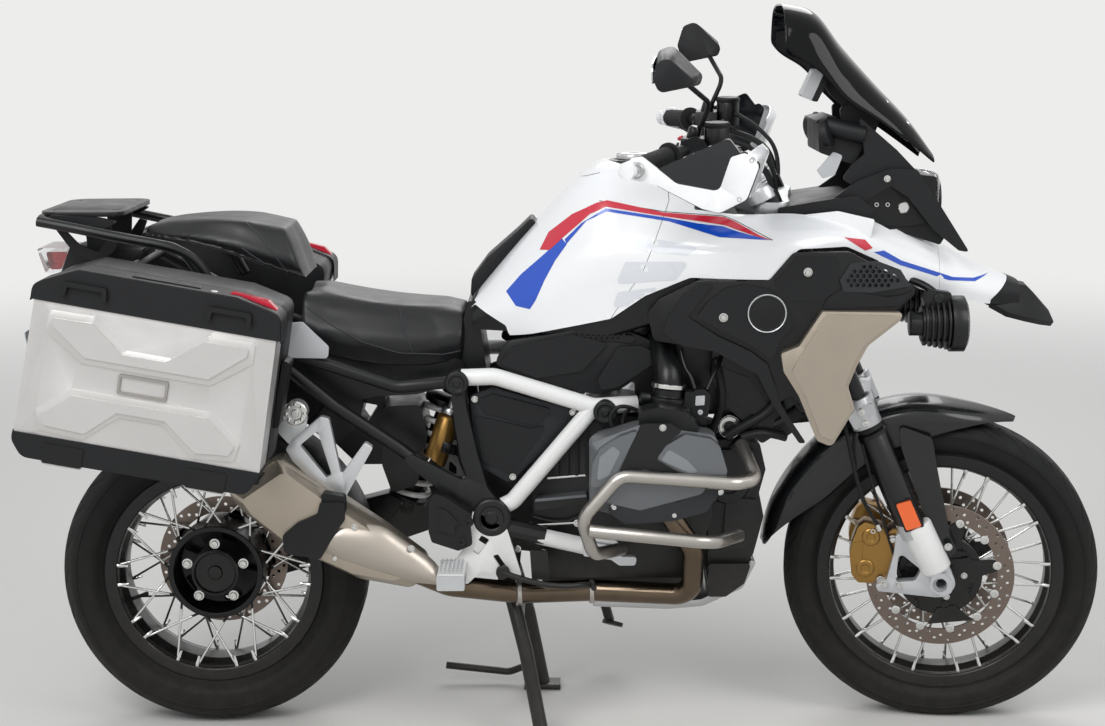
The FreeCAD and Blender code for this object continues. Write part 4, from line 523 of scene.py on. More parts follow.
class Piece:
    """Gathers the meshes of one piece, in mm, and adds it to the scene."""

    def __init__(self, name: str, body: Body, finish: Finish, edge_mm: float = 0.8, smooth_deg: float = 34.0) -> None:
        """Starts an empty piece.

        Args:
            name: The object's name.
            body: The body that it rides on.
            finish: Its finish.
            edge_mm: Width of its softened edges, or 0.
            smooth_deg: Edges sharper than this stay sharp.
        """
        self.name, self.body, self.finish = name, body, finish
        self.edge_mm, self.smooth_deg = edge_mm, smooth_deg
        self.mesh = bmesh.new()

    def take(self, mesh: bpy.types.Mesh, place: Matrix = Matrix(), both: bool = False) -> "Piece":
        """Joins a mesh, and its mirror image on the other side if both is set."""
        mesh.transform(place)
        self.mesh.from_mesh(mesh)
        if both:
            mesh.transform(Matrix.Scale(-1, 4, (0, 1, 0)))
            mesh.flip_normals()
            self.mesh.from_mesh(mesh)
        bpy.data.meshes.remove(mesh)
        return self

    def plate(self, corners: Sequence[Sequence[float]], y: float, thick: float, holes: Sequence = (),
              both: bool = False, steps: int = 5) -> "Piece":
        """A flat plate with its outline in side view, its middle at the given y."""
        loops = [rounded(corners, steps)] + [rounded(hole, steps) for hole in holes]
        flat = curve_mesh("2D", loops, True, fill_mode="BOTH", extrude=thick / 2)
        return self.take(flat, Matrix.Translation((0, y, 0)) @ SIDE_ON, both)

    def flat(self, corners: Sequence[Sequence[float]], place: Matrix, thick: float, holes: Sequence = (),
             both: bool = False) -> "Piece":
        """A flat plate with its outline drawn in its own plane."""
        loops = [rounded(corners)] + [rounded(hole) for hole in holes]
        return self.take(curve_mesh("2D", loops, True, fill_mode="BOTH", extrude=thick / 2), place, both)

    def pipe(self, points: Sequence[Point3], radius: float, both: bool = False, smooth: bool = True,
             closed: bool = False, sides: int = 3) -> "Piece":
        """A round tube, hose or cable along points."""
        kind = "NURBS" if smooth and len(points) > 2 else "POLY"
        tube = curve_mesh("3D", [points], closed, kind, bevel_depth=radius, bevel_resolution=sides,
                          use_fill_caps=not closed)
        return self.take(tube, Matrix(), both)

    def turned(self, profile: Sequence[Point2], at: Sequence[float], along: Sequence[float], both: bool = False,
               steps: int = 32) -> "Piece":
        """A round part turned about an axis.

        Args:
            profile: Radius and height of each step, from bottom to top.
            at: The foot of the axis.
            along: Where the axis points.
            both: Whether its mirror image is added too.
            steps: Facets around.
        """
        rings = [[(r * math.cos(math.tau * k / steps), r * math.sin(math.tau * k / steps), h) for k in range(steps)]
                 for r, h in profile]
        return self.rows(rings, True, aimed(at, along), both, capped=True)

    def rows(self, rings: Sequence[Sequence[Point3]], around: bool, place: Matrix = Matrix(), both: bool = False,
             capped: bool = False, ends: bool = False) -> "Piece":
        """A surface through rows of points, joined across, and around if asked."""
        wide = len(rings[0])
        faces = []
        for row in range(len(rings) - (0 if ends else 1)):
            for step in range(wide if around else wide - 1):
                near, far = row * wide, ((row + 1) % len(rings)) * wide
                over = (step + 1) % wide
                faces.append((near + step, near + over, far + over, far + step))
        if capped:
            faces += [tuple(reversed(range(wide))), tuple(range((len(rings) - 1) * wide, len(rings) * wide))]
        mesh = bpy.data.meshes.new("rows")
        mesh.from_pydata([point for ring in rings for point in ring], [], faces)
        return self.take(mesh, place, both)

    def bolts(self, points: Iterable[Sequence[float]], along: Sequence[float], radius: float = 6.0,
              both: bool = False) -> "Piece":
        """Socket-head bolts on washers, their heads standing along a direction."""
        r = radius
        profile = [(1.35 * r, -0.5), (1.35 * r, 0.9), (r, 1.0), (r, 0.75 * r), (0.86 * r, 0.95 * r),
                   (0.55 * r, 0.95 * r), (0.5 * r, 0.4 * r), (0.01, 0.4 * r)]
        for at in points:
            self.turned(profile, at, along, both, steps=16)
        return self

    def add(self, thick_mm: float = 0.0, subdivide: int = 0, weld: bool = False) -> bpy.types.Object:
        """Adds the finished piece to the scene, riding on its body.

        Args:
            thick_mm: Wall given to an open surface.
            subdivide: Levels of smoothing subdivision.
            weld: Whether points that touch are joined first.

        Returns:
            The new object.
        """
        if weld:
            bmesh.ops.remove_doubles(self.mesh, verts=self.mesh.verts, dist=0.02)
        bmesh.ops.recalc_face_normals(self.mesh, faces=self.mesh.faces)
        mesh = bpy.data.meshes.new(self.name)
        self.mesh.to_mesh(mesh)
        self.mesh.free()
        mesh.transform((STEER.turn() if self.body in STEERED else Matrix()) @ Matrix.Scale(MM, 4))
        mesh.materials.append(self.finish.material())
        mesh.polygons.foreach_set("use_smooth", [True] * len(mesh.polygons))
        mesh.set_sharp_from_angle(angle=math.radians(self.smooth_deg))
        thing = bpy.data.objects.new(self.name, mesh)
        bpy.context.scene.collection.objects.link(thing)
        if thick_mm:
            wall = thing.modifiers.new("wall", "SOLIDIFY")
            wall.thickness, wall.offset = thick_mm * MM, 0.0
        if subdivide:
            thing.modifiers.new("smooth", "SUBSURF").levels = subdivide
            thing.modifiers["smooth"].render_levels = subdivide
        if self.edge_mm:
            soften_edges(thing, self.edge_mm, self.smooth_deg)
        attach(thing, self.body.value)
        LOG.info("piece %s in %s, %d faces", self.name, self.finish.name, len(mesh.polygons))
        return thing


def circle(x: float, z: float, radius: float, steps: int = 24) -> list[Point2]:
    """A round outline."""
    return [(x + radius * math.cos(math.tau * k / steps), z + radius * math.sin(math.tau * k / steps))
            for k in range(steps)]


def smooth_between(rows: Sequence[Sequence[float]], x: float) -> list[float]:
    """Reads a table of measurements at one length, along a smooth curve through its rows.

    Args:
        rows: The length, then the other values, in order of length.
        x: Where to read.

    Returns:
        The other values there.
    """
    last = len(rows) - 1
    at = next((i for i in range(last) if x <= rows[i + 1][0]), last - 1)
    a, b = rows[at], rows[at + 1]
    before, after = rows[max(at - 1, 0)], rows[min(at + 2, last)]
    span = b[0] - a[0]
    t = (x - a[0]) / span
    result = []
    for k in range(1, len(a)):
        slope_a = (b[k] - before[k]) / (b[0] - before[0]) * span
        slope_b = (after[k] - a[k]) / (after[0] - a[0]) * span
        result.append((2 * t ** 3 - 3 * t ** 2 + 1) * a[k] + (t ** 3 - 2 * t ** 2 + t) * slope_a
                      + (3 * t ** 2 - 2 * t ** 3) * b[k] + (t ** 3 - t ** 2) * slope_b)
    return result


def boolean(base: bpy.types.Mesh, tool: bpy.types.Mesh, operation: str) -> bpy.types.Mesh:
    """Cuts one closed mesh by another.

    Args:
        base: The mesh that is kept in part.
        tool: The mesh that cuts it.
        operation: INTERSECT, DIFFERENCE or UNION.

    Returns:
        A new mesh. The base and the tool are removed.
    """
    things = [bpy.data.objects.new("cutting", mesh) for mesh in (base, tool)]
    for thing in things:
        bpy.context.scene.collection.objects.link(thing)
    step = things[0].modifiers.new("cut", "BOOLEAN")
    step.object, step.operation, step.solver = things[1], operation, "EXACT"
    graph = bpy.context.evaluated_depsgraph_get()
    result = bpy.data.meshes.new_from_object(things[0].evaluated_get(graph))
    for thing in things:
        bpy.data.objects.remove(thing)
    for mesh in (base, tool):
        bpy.data.meshes.remove(mesh)
    return result


def prism(corners: Sequence[Sequence[float]], low: float, high: float) -> bpy.types.Mesh:
    """A closed block with a side-view outline, between two y values."""
    flat = curve_mesh("2D", [rounded(corners)], True, fill_mode="BOTH", extrude=(high - low) / 2)
    flat.transform(Matrix.Translation((0, (low + high) / 2, 0)) @ SIDE_ON)
    work = bmesh.new()
    work.from_mesh(flat)
    bmesh.ops.remove_doubles(work, verts=work.verts, dist=0.01)
    bmesh.ops.recalc_face_normals(work, faces=work.faces)
    work.to_mesh(flat)
    work.free()
    return flat


class Skin:
    """A finished surface that thin trim is laid on."""

    def __init__(self, things: Iterable[bpy.types.Object]) -> None:
        """Reads the surface of some objects, in mm."""
        work = bmesh.new()
        for thing in things:
            work.from_mesh(thing.data)
        bmesh.ops.scale(work, vec=(1000, 1000, 1000), verts=work.verts)
        self.tree = BVHTree.FromBMesh(work)
        work.free()

    def at(self, x: float, z: float, side: float, proud: float) -> Point3 | None:
        """The point of the surface that is met from one side, standing a little proud."""
        spot, normal, _, _ = self.tree.ray_cast(Vector((x, side * 600, z)), Vector((0, -side, 0)))
        if spot is None:
            return None
        if normal.y * side < 0:
            normal = -normal
        return tuple(spot + normal * proud)

    def patch(self, piece: Piece, corners: Sequence[Sequence[float]], side: float, proud: float = 0.7,
              grid: float = 7.0) -> None:
        """Lays a thin patch with a side-view outline on the surface."""
        outline = dense(rounded(corners, 4), grid)
        xs, zs = [p[0] for p in outline], [p[1] for p in outline]
        points = list(outline)
        for i in range(int((max(xs) - min(xs)) / grid)):
            for j in range(int((max(zs) - min(zs)) / grid)):
                spot = (min(xs) + (i + 0.5) * grid, min(zs) + (j + 0.5) * grid)
                if inside(spot, outline):
                    points.append(spot)
        edges = [(k, (k + 1) % len(outline)) for k in range(len(outline))]
        flat, _, faces, *_ = delaunay_2d_cdt([Vector(p) for p in points], edges, [], 1, 0.05)
        laid = [self.at(p[0], p[1], side, proud) for p in flat]
        kept = [tuple(face) for face in faces if all(laid[k] is not None for k in face)]
        mesh = bpy.data.meshes.new("patch")
        mesh.from_pydata([p or (0, 0, 0) for p in laid], [], kept)
        work = bmesh.new()
        work.from_mesh(mesh)
        bmesh.ops.delete(work, geom=[v for v in work.verts if not v.link_faces], context="VERTS")
        work.to_mesh(mesh)
        work.free()
        piece.take(mesh)

    def line(self, piece: Piece, points: Sequence[Point2], side: float, radius: float, proud: float = 0.0,
             step: float = 6.0) -> None:
        """Lays a thin cord or bead on the surface along side-view points."""
        route = [self.at(x, z, side, proud) for x, z in dense(points, step, closed=False)]
        piece.pipe([spot for spot in route if spot is not None], radius, sides=1)


def dense(points: Sequence[Sequence[float]], step: float, closed: bool = True) -> list[Point2]:
    """Adds points along the runs of an outline, no further apart than a step."""
    result: list[Point2] = []
    ends = list(points[1:]) + ([points[0]] if closed else [])
    for a, b in zip(points, ends):
        count = max(1, math.ceil(math.dist(a[:2], b[:2]) / step))
        result += [(a[0] + (b[0] - a[0]) * k / count, a[1] + (b[1] - a[1]) * k / count) for k in range(count)]
    return result if closed else result + [tuple(points[-1][:2])]


def inside(spot: Point2, outline: Sequence[Point2]) -> bool:
    """Whether a point lies inside an outline."""
    found = False
    for (ax, az), (bx, bz) in zip(outline, list(outline[1:]) + [outline[0]]):
        if (az > spot[1]) != (bz > spot[1]) and spot[0] < (bx - ax) * (spot[1] - az) / (bz - az) + ax:
            found = not found
    return found


# ---------------------------------------------------------------- wheels

@dataclass
class Tyre:
    """A road tyre with slanted water grooves."""

    name: str
    node: str
    body: Body
    axle: Vector
    radius: float
    width: float
    bead: float
    pitches: int
    slant: float
    groove_mm: float = 7.0
    depth_mm: float = 4.5

    def section(self) -> list[Point2]:
        """Across the tyre, the (y, radius) points from bead to bead."""
        half, seat, r, b = self.width / 2, 0.36 * self.width, self.radius, self.bead
        right = [(-seat + 4, b - 2), (-seat - 1, b + 4, 3), (-seat - 2, b + 14, 6), (-half, b + 0.34 * (r - b), 24),
                 (-half, r - 0.27 * (r - b), 26), (-0.62 * half, r, 34)]
        outline = rounded(right + [(-y, *rest) for y, *rest in reversed(right)], 8)
        return dense(outline, 6.0, closed=False)

    def depth(self, turn: float, y: float) -> float:
        """How deep the tread is at a place on the tyre."""
        across = abs(y) / (self.width / 2)
        pitch = math.tau / self.pitches
        shift = pitch / 2 if y > 0 else 0.0
        deepest = 0.0
        for start, end, offset in ((0.1, 0.72, 0.0), (0.42, 0.93, 0.5)):
            if not start < across < end:
                continue
            line = (turn + shift + self.slant * across ** 1.4 + offset * pitch) % pitch
            off = min(line, pitch - line) * self.radius
            taper = min(1.0, (across - start) / 0.08, (end - across) / 0.08)
            deepest = max(deepest, max(0.0, 1 - (off / (self.groove_mm / 2)) ** 4) * taper)
        return deepest * self.depth_mm

    def build(self) -> bpy.types.Object:
        """Makes the tyre in place of its plain ring."""
        section, steps = self.section(), self.pitches * 15
        crown = self.radius - 0.45 * (self.radius - self.bead)
        rings = []
        for k in range(steps):
            turn = math.tau * k / steps
            ring = []
            for y, r in section:
                deep = self.depth(turn, y) if r > crown else 0.0
                ring.append((self.axle.x + (r - deep) * math.cos(turn), self.axle.y + y,
                             self.axle.z + (r - deep) * math.sin(turn)))
            rings.append(ring)
        piece = Piece(self.name, self.body, TYRE_RUBBER, 0, 60)
        piece.rows(rings, False, ends=True)
        tyre = piece.add()
        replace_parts(tyre, self.node)
        self.sidewall()
        return tyre

    def sidewall(self) -> None:
        """Raised rings on both sidewalls."""
        half, span = self.width / 2, self.radius - self.bead
        rings = Piece(self.name + "_sidewall_rings", self.body, TYRE_RUBBER, 0)
        for share, y in ((0.17, 0.36 * self.width + 4.0), (0.66, half - 0.2)):
            r = self.bead + share * span
            for side in (-1, 1):
                rings.pipe([(self.axle.x + r * math.cos(math.tau * k / 96), side * y,
                             self.axle.z + r * math.sin(math.tau * k / 96)) for k in range(96)], 1.6,
                           smooth=False, closed=True, sides=1)
        rings.add()


@dataclass
class FrontHub:
    """Drilled brake discs on black carriers, with the hub's trim."""

    radius: float = 152.5
    inner: float = 119.0
    disc_y: float = 62.0
    thick: float = 5.0

    def build(self) -> None:
        """Makes both discs and what holds them."""
        axle = FRONT_AXLE
        band = Piece("front_disc_bands", Body.FRONT_WHEEL, BRAKE_STEEL, 0)
        holes = []
        for k in range(66):
            angle = math.tau * k / 66
            r = self.inner + 8 + 6.2 * ((0, 2, 1, 3)[k % 4])
            holes.append(circle(axle.x + r * math.cos(angle), axle.z + r * math.sin(angle), 3.6, 8))
        outer, bore = circle(axle.x, axle.z, self.radius, 120), circle(axle.x, axle.z, self.inner, 96)
        flat = curve_mesh("2D", [outer, bore] + holes, True, fill_mode="BOTH", extrude=self.thick / 2)
        band.take(flat, Matrix.Translation((0, -self.disc_y, 0)) @ SIDE_ON, both=True)
        ring = band.add()
        carrier = Piece("front_disc_carriers", Body.FRONT_WHEEL, BLACK_ANODISED, 0.8)
        corners = []
        for arm in range(6):
            for lean, r in ((-15, 74), (-7, 112), (-4, 124), (4, 124), (7, 112), (15, 74)):
                angle = math.radians(arm * 60 + lean + 12)
                corners.append((axle.x + r * math.cos(angle), axle.z + r * math.sin(angle), 5))
        windows = [circle(axle.x + 66 * math.cos(math.radians(a)), axle.z + 66 * math.sin(math.radians(a)), 8, 12)
                   for a in range(42, 402, 60)]
        carrier.plate(corners, -self.disc_y + 1, 5, [circle(axle.x, axle.z, 36, 32)] + windows, both=True, steps=3)
        carrier.turned([(86, 0), (88, 1.5), (88, 5), (86, 6)], (axle.x, -self.disc_y + 2, axle.z), (0, 1, 0),
                       both=True, steps=48)
        carrier.turned([(58, 0), (60, 5), (60, 16), (40, 20)], (axle.x, -self.disc_y + 1, axle.z), (0, 1, 0), both=True)
        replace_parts(carrier.add(), "front_discs")
        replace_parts(ring, "front_discs")
        spots = [(axle.x + 119 * math.cos(math.radians(a)), -self.disc_y - 2, axle.z + 119 * math.sin(math.radians(a)))
                 for a in range(12, 372, 30)]
        buttons = Piece("front_disc_buttons", Body.FRONT_WHEEL, POLISHED_STEEL, 0)
        for spot in spots:
            buttons.turned([(9, -1), (9, 2.2), (7.4, 3), (4, 3), (3.4, 2)], spot, OUTWARD, both=True, steps=16)
        buttons.bolts([(axle.x + 50 * math.cos(math.radians(a)), -self.disc_y - 1.6,
                        axle.z + 50 * math.sin(math.radians(a)))
                       for a in range(0, 360, 72)], OUTWARD, 5, both=True)
        buttons.add()
        self.sensor_ring()

    def sensor_ring(self) -> None:
        """The toothed ring that the wheel-speed sensor reads."""
        axle = FRONT_AXLE
        ring = Piece("front_speed_ring", Body.FRONT_WHEEL, BLACK_ANODISED, 0)
        slots = [[(axle.x + r * math.cos(math.radians(a + d)), axle.z + r * math.sin(math.radians(a + d)))
                  for r, d in ((47, -2.2), (54, -2.2), (54, 2.2), (47, 2.2))] for a in range(0, 360, 10)]
        ring.plate(circle(axle.x, axle.z, 57, 48), 62.0, 2, slots + [circle(axle.x, axle.z, 38, 32)])
        ring.add()


@dataclass
class RearHub:
    """The rear disc, hub bolts and cap."""

    radius: float = 138.0
    inner: float = 104.0

    def build(self) -> None:
        """Makes the drilled disc and the hub's fittings."""
        axle = REAR_AXLE
        holes = []
        for k in range(54):
            angle, r = math.tau * k / 54, self.inner + 8 + 9 * (k % 3)
            holes.append(circle(axle.x + r * math.cos(angle), axle.z + r * math.sin(angle), 3.8, 8))
        band = Piece("rear_disc_band", Body.REAR_WHEEL, BRAKE_STEEL, 0)
        flat = curve_mesh("2D", [circle(axle.x, axle.z, self.radius, 110), circle(axle.x, axle.z, self.inner,
                                                                                  80)] + holes,
                          True, fill_mode="BOTH", extrude=2.5)
        ring = band.take(flat, Matrix.Translation((0, 66, 0)) @ SIDE_ON).add()
        carrier = Piece("rear_disc_carrier", Body.REAR_WHEEL, BLACK_ANODISED, 0.8)
        corners = []
        for arm in range(5):
            for lean, r in ((-20, 70), (-9, 100), (-6, 112), (6, 112), (9, 100), (20, 70)):
                angle = math.radians(arm * 72 + lean)
                corners.append((axle.x + r * math.cos(angle), axle.z + r * math.sin(angle), 6))
        carrier.plate(corners, 66, 5, [circle(axle.x, axle.z, 40, 32)], steps=3)
        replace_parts(carrier.add(), "rear_disc")
        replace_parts(ring, "rear_disc")
        hub = Piece("rear_hub_cap", Body.REAR_WHEEL, BLACK_ANODISED, 0.6)
        hub.turned([(48, 0), (50, 6), (50, 12), (44, 15), (41, 8), (16, 8), (14, 12), (10, 13)],
                   (axle.x, -38, axle.z), OUTWARD, steps=40)
        hub.add()
        nuts = Piece("rear_hub_bolts", Body.REAR_WHEEL, POLISHED_STEEL, 0)
        nuts.bolts([(axle.x + 62 * math.cos(math.radians(a)), -43, axle.z + 62 * math.sin(math.radians(a)))
                    for a in range(18, 378, 72)], OUTWARD, 8)
        nuts.bolts([(axle.x + 106 * math.cos(math.radians(a)), 68.5, axle.z + 106 * math.sin(math.radians(a)))
                    for a in range(0, 360, 72)], (0, 1, 0), 5)
        nuts.add()


@dataclass
class RimFittings:
    """Spoke nipples and the air valve of one rim."""

    name: str
    body: Body
    axle: Vector
    bead: float
    rows: tuple[float, float]
    valve_deg: float

    def build(self) -> None:
        """Puts a nipple where each spoke meets the rim, and a valve between two of them."""
        nipples = Piece(self.name + "_nipples", self.body, POLISHED_STEEL, 0)
        for y in self.rows:
            for pair in range(10):
                for lean in (-1, 1):
                    turn = math.radians(36 * (pair + 0.5 * (y > 0)) + lean * 30)
                    out = Vector((math.cos(turn), 0, math.sin(turn)))
                    spot = self.axle + out * (self.bead - 24) + Vector((0, y, 0))
                    nipples.turned([(2.6, -12), (3.4, -2), (4.4, 0), (4.4, 10)], spot, out, steps=8)
        nipples.add()
        turn = math.radians(self.valve_deg)
        out = Vector((math.cos(turn), 0, math.sin(turn)))
        valve = Piece(self.name + "_valve", self.body, RUBBER, 0)
        valve.turned([(6, 8), (6, 0), (4, -6), (4, -26), (4.6, -27), (4.6, -34), (3, -36)],
                     self.axle + out * (self.bead - 20) + Vector((0, -8, 0)), out * 1.0 + Vector((0, 0.0, 0)), steps=12)
        valve.add()


def wheels() -> None:
    """Builds both wheels' detail."""
    Tyre("front_tyre_tread", "front_tyre", Body.FRONT_WHEEL, FRONT_AXLE, 325, 120, 243, 30, 0.42).build()
    Tyre("rear_tyre_tread", "rear_tyre", Body.REAR_WHEEL, REAR_AXLE, 318, 170, 217, 26, 0.5).build()
    FrontHub().build()
    RearHub().build()
    RimFittings("front_rim", Body.FRONT_WHEEL, FRONT_AXLE, 243, (-38, 38), 98).build()
    RimFittings("rear_rim", Body.REAR_WHEEL, REAR_AXLE, 217, (-62, 62), 200).build()


# ---------------------------------------------------------------- bodywork

@dataclass
class Bodywork:
    """The tank's covers, shoulders and beak as one smooth form, cut at the panels' seams."""

    stations: tuple[tuple[float, ...], ...] = (
        (-186, 50, 905, 92, 895, 118, 868, 108, 836), (-60, 66, 1052, 124, 1004, 166, 932, 162, 848),
        (70, 80, 1176, 140, 1120, 200, 1004, 196, 876), (140, 88, 1174, 150, 1118, 212, 1012, 206, 898),
        (210, 90, 1148, 158, 1106, 222, 1018, 216, 920), (340, 96, 1104, 172, 1084, 240, 1030, 234, 936),
        (470, 96, 1104, 164, 1086, 232, 1040, 226, 970), (580, 84, 1096, 140, 1074, 186, 1036, 180, 990),
        (720, 58, 1042, 104, 1022, 132, 978, 124, 930), (850, 40, 972, 78, 956, 94, 924, 84, 896),
        (936, 26, 936, 50, 926, 58, 908, 50, 888))
    skin: float = 6.0
    gap: float = 1.2
    seam: tuple[tuple[float, ...], ...] = ((97.5, 883.5), (161, 980, 40), (214.5, 1112), (212.5, 1260))
    panels: list[bpy.types.Object] = field(default_factory=list)

    def section(self, x: float, less: float) -> list[Point3]:
        """The open section of the form at one length, drawn in by a wall."""
        top_y, top_z, high_y, high_z, mid_y, mid_z, low_y, low_z = smooth_between(self.stations, x)
        half = [(-(low_y - less), low_z + (8 if less else 0)), (-(mid_y - less), mid_z, 46),
                (-(high_y - less), high_z - less * 0.8, 40), (-(top_y - less * 0.4), top_z - less, 36)]
        corners = half + [(-y, z, *r) for y, z, *r in reversed(half)]
        points: list[Point2] = []
        for k, corner in enumerate(corners):
            if len(corner) == 2:
                points.append(corner[:2])
                continue
            here = Vector(corner[:2])
            a, b = Vector(corners[k - 1][:2]) - here, Vector(corners[k + 1][:2]) - here
            reach = min(corner[2], a.length * 0.46, b.length * 0.46)
            start, end = here + a.normalized() * reach, here + b.normalized() * reach
            last = Vector(points[-1])
            points += [tuple(last.lerp(start, s / 5)) for s in range(1, 5)]
            points += [tuple(start * (1 - t) ** 2 + here * 2 * t * (1 - t) + end * t * t)
                       for t in (s / 8 for s in range(9))]
        last, end = Vector(points[-2]), Vector(points[-1])
        points = points[:-1] + [tuple(last.lerp(end, s / 5)) for s in range(1, 6)]
        return [(x, y, z) for y, z in points]

    def shell(self) -> bpy.types.Mesh:
        """The whole form as one closed, thin-walled shell."""
        lengths = [-186 + (936 + 186) * k / 110 for k in range(111)]
        outer = [self.section(x, 0.0) for x in lengths]
        inner = [self.section(x, self.skin) for x in lengths]
        loops = [ring + list(reversed(hollow)) for ring, hollow in zip(outer, inner)]
        wide = len(loops[0])
        points = [point for loop in loops for point in loop]
        faces = []
        for row in range(len(loops) - 1):
            for k in range(wide):
                a, b = row * wide + k, row * wide + (k + 1) % wide
                faces.append((a, b, b + wide, a + wide))
        half, last = wide // 2, (len(loops) - 1) * wide
        for k in range(half - 1):
            faces.append((k + 1, k, wide - 1 - k, wide - 2 - k))
            faces.append((last + k, last + k + 1, last + wide - 2 - k, last + wide - 1 - k))
        mesh = bpy.data.meshes.new("form")
        mesh.from_pydata(points, [], faces)
        work = bmesh.new()
        work.from_mesh(mesh)
        bmesh.ops.recalc_face_normals(work, faces=work.faces)
        work.to_mesh(mesh)
        work.free()
        return mesh

    def outlines(self) -> dict[str, list[Sequence[float]]]:
        """Each panel's side-view outline, by the node that it stands for."""
        back_seam = [(a - self.gap, *rest) for a, *rest in self.seam]
        return {
            "tank_cover": [(-104, 838, 20), (-112, 862, 10), (-176, 900, 8), (-184, 890, 8), (-160, 940, 30),
                           (20, 1152, 30), (60, 1260)] + back_seam[::-1],
            "shoulder_panels": list(self.seam) + [
                (540, 1260), (600, 1100, 60), (760, 1100), (760, 900), (700, 942, 20), (664, 976, 20),
                (562, 1024, 30), (462, 1024, 20), (413, 964, 20), (252, 968, 30), (164, 930, 20)],
            "beak": [(760.6, 1100), (930, 1100), (913, 944), (896, 925), (872, 902), (860, 800), (760.6, 800)],
            "beak_tip": [(931.2, 1100), (960, 1100), (960, 800), (861.2, 800), (873.2, 901.4), (897.2, 924.4),
                         (914.2, 943.4)],
        }

    def build(self) -> None:
        """Cuts the panels from the form and lays the stripes on them."""
        for node, corners in self.outlines().items():
            panel = boolean(self.shell(), prism(corners, -300, 300), "INTERSECT")
            if node == "shoulder_panels":
                cockpit = prism([(264, 1000), (600, 1000), (600, 1300), (264, 1300)], -159, 159)
                panel = boolean(panel, cockpit, "DIFFERENCE")
                lamp = prism([(600, 1046), (790, 1052), (780, 1162), (600, 1150)], -114, 114)
                panel = boolean(panel, lamp, "DIFFERENCE")
            tip = node == "beak_tip"
            piece = Piece(node + "_skin", Body.CHASSIS, GRAINED_ABS if tip else WHITE_ENAMEL, 1.0, 38)
            piece.take(panel)
            if tip:
                self.nose_tip(piece)
            made = piece.add()
            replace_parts(made, node)
            self.panels.append(made)
        self.stripes()

    def nose_tip(self, piece: Piece) -> None:
        """The faceted black point of the beak."""
        half = (
            ((878, 66, 892), (884, 58, 908), (900, 42, 930), (900, 0, 934)),
            ((914, 64, 872), (918, 60, 888), (926, 40, 930), (926, 0, 934)),
            ((956, 50, 860), (952, 46, 884), (954, 30, 924), (954, 0, 928)),
            ((990, 34, 851), (984, 32, 866), (976, 22, 902), (976, 0, 906)),
            ((1018, 12, 845), (1016, 11, 850), (1008, 8, 868), (1008, 0, 870)))
        rows = [[(x, -y, z) for x, y, z in side] + [(x, y, z) for x, y, z in reversed(side[:-1])] for side in half]
        inner = [[(x - 6, y * 0.9, z - 9) for x, y, z in row] for row in rows]
        piece.rows([top + low[::-1] for top, low in zip(rows, inner)], True, capped=True)

    def stripes(self) -> None:
        """The enamel stripes, ribs and dark seam lines, the same on both sides."""
        skin = Skin(self.panels)
        shapes = (
            ("red_stripe", RED_ENAMEL, [
                [(-43, 1013), (-25, 1047), (22, 1084), (71, 1108), (92, 1113), (203, 1090), (321, 1081), (342, 1073),
                 (388, 1049), (412, 1040), (382, 1047), (320, 1067), (273, 1074), (203, 1083), (89, 1101), (57, 1086),
                 (7, 1042), (-23, 1014)],
                [(556, 1042), (600, 1035), (616, 1018), (600, 1014)]]),
            ("blue_stripe", BLUE_ENAMEL, [
                [(7, 1036), (40, 1068), (88, 1098), (212, 1080), (270, 1070), (318, 1065), (345, 1056), (405, 1041),
                 (309, 1046), (270, 1057), (212, 1074), (90, 1092), (50, 1073), (10, 1027)],
                [(1, 1038), (11, 1027), (-12, 995), (-33, 957), (-52, 915), (-63, 898), (-91, 903), (-111, 930),
                 (-80, 965), (-40, 1000)],
                [(618, 1010), (640, 1012), (678, 990), (788, 952), (833, 948), (868, 954), (836, 941), (780, 946),
                 (676, 981)]]),
        )
        for name, finish, outlines in shapes:
            piece = Piece(name, Body.CHASSIS, finish, 0, 50)
            for corners in outlines:
                for side in (-1, 1):
                    skin.patch(piece, corners, side, 0.9 if finish is RED_ENAMEL else 0.6)
            piece.add()
        ribs = Piece("shoulder_ribs", Body.CHASSIS, GREY_ENAMEL, 0, 50)
        for corners in ([(155, 1046, 6), (270, 1027, 8), (247, 1011, 6), (131, 1021, 8)],
                        [(125, 997, 6), (251, 999, 8), (224, 963, 6), (107, 953, 8)],
                        [(111, 937, 6), (209, 951, 8), (174, 918, 6), (100, 905, 8)]):
            for side in (-1, 1):
                skin.patch(ribs, corners, side, 0.7)
        ribs.add()
        seams = Piece("panel_shadow_gaps", Body.CHASSIS, SMOOTH_ABS, 0)
        for side in (-1, 1):
            skin.line(seams, [(76, 1112), (203, 1092), (321, 1083), (345, 1074), (412, 1041)], side, 0.9)
            skin.line(seams, [(-150, 950), (-84, 1056), (28, 1150), (78, 1164)], side, 0.7)
        seams.add()


# ---------------------------------------------------------------- seats

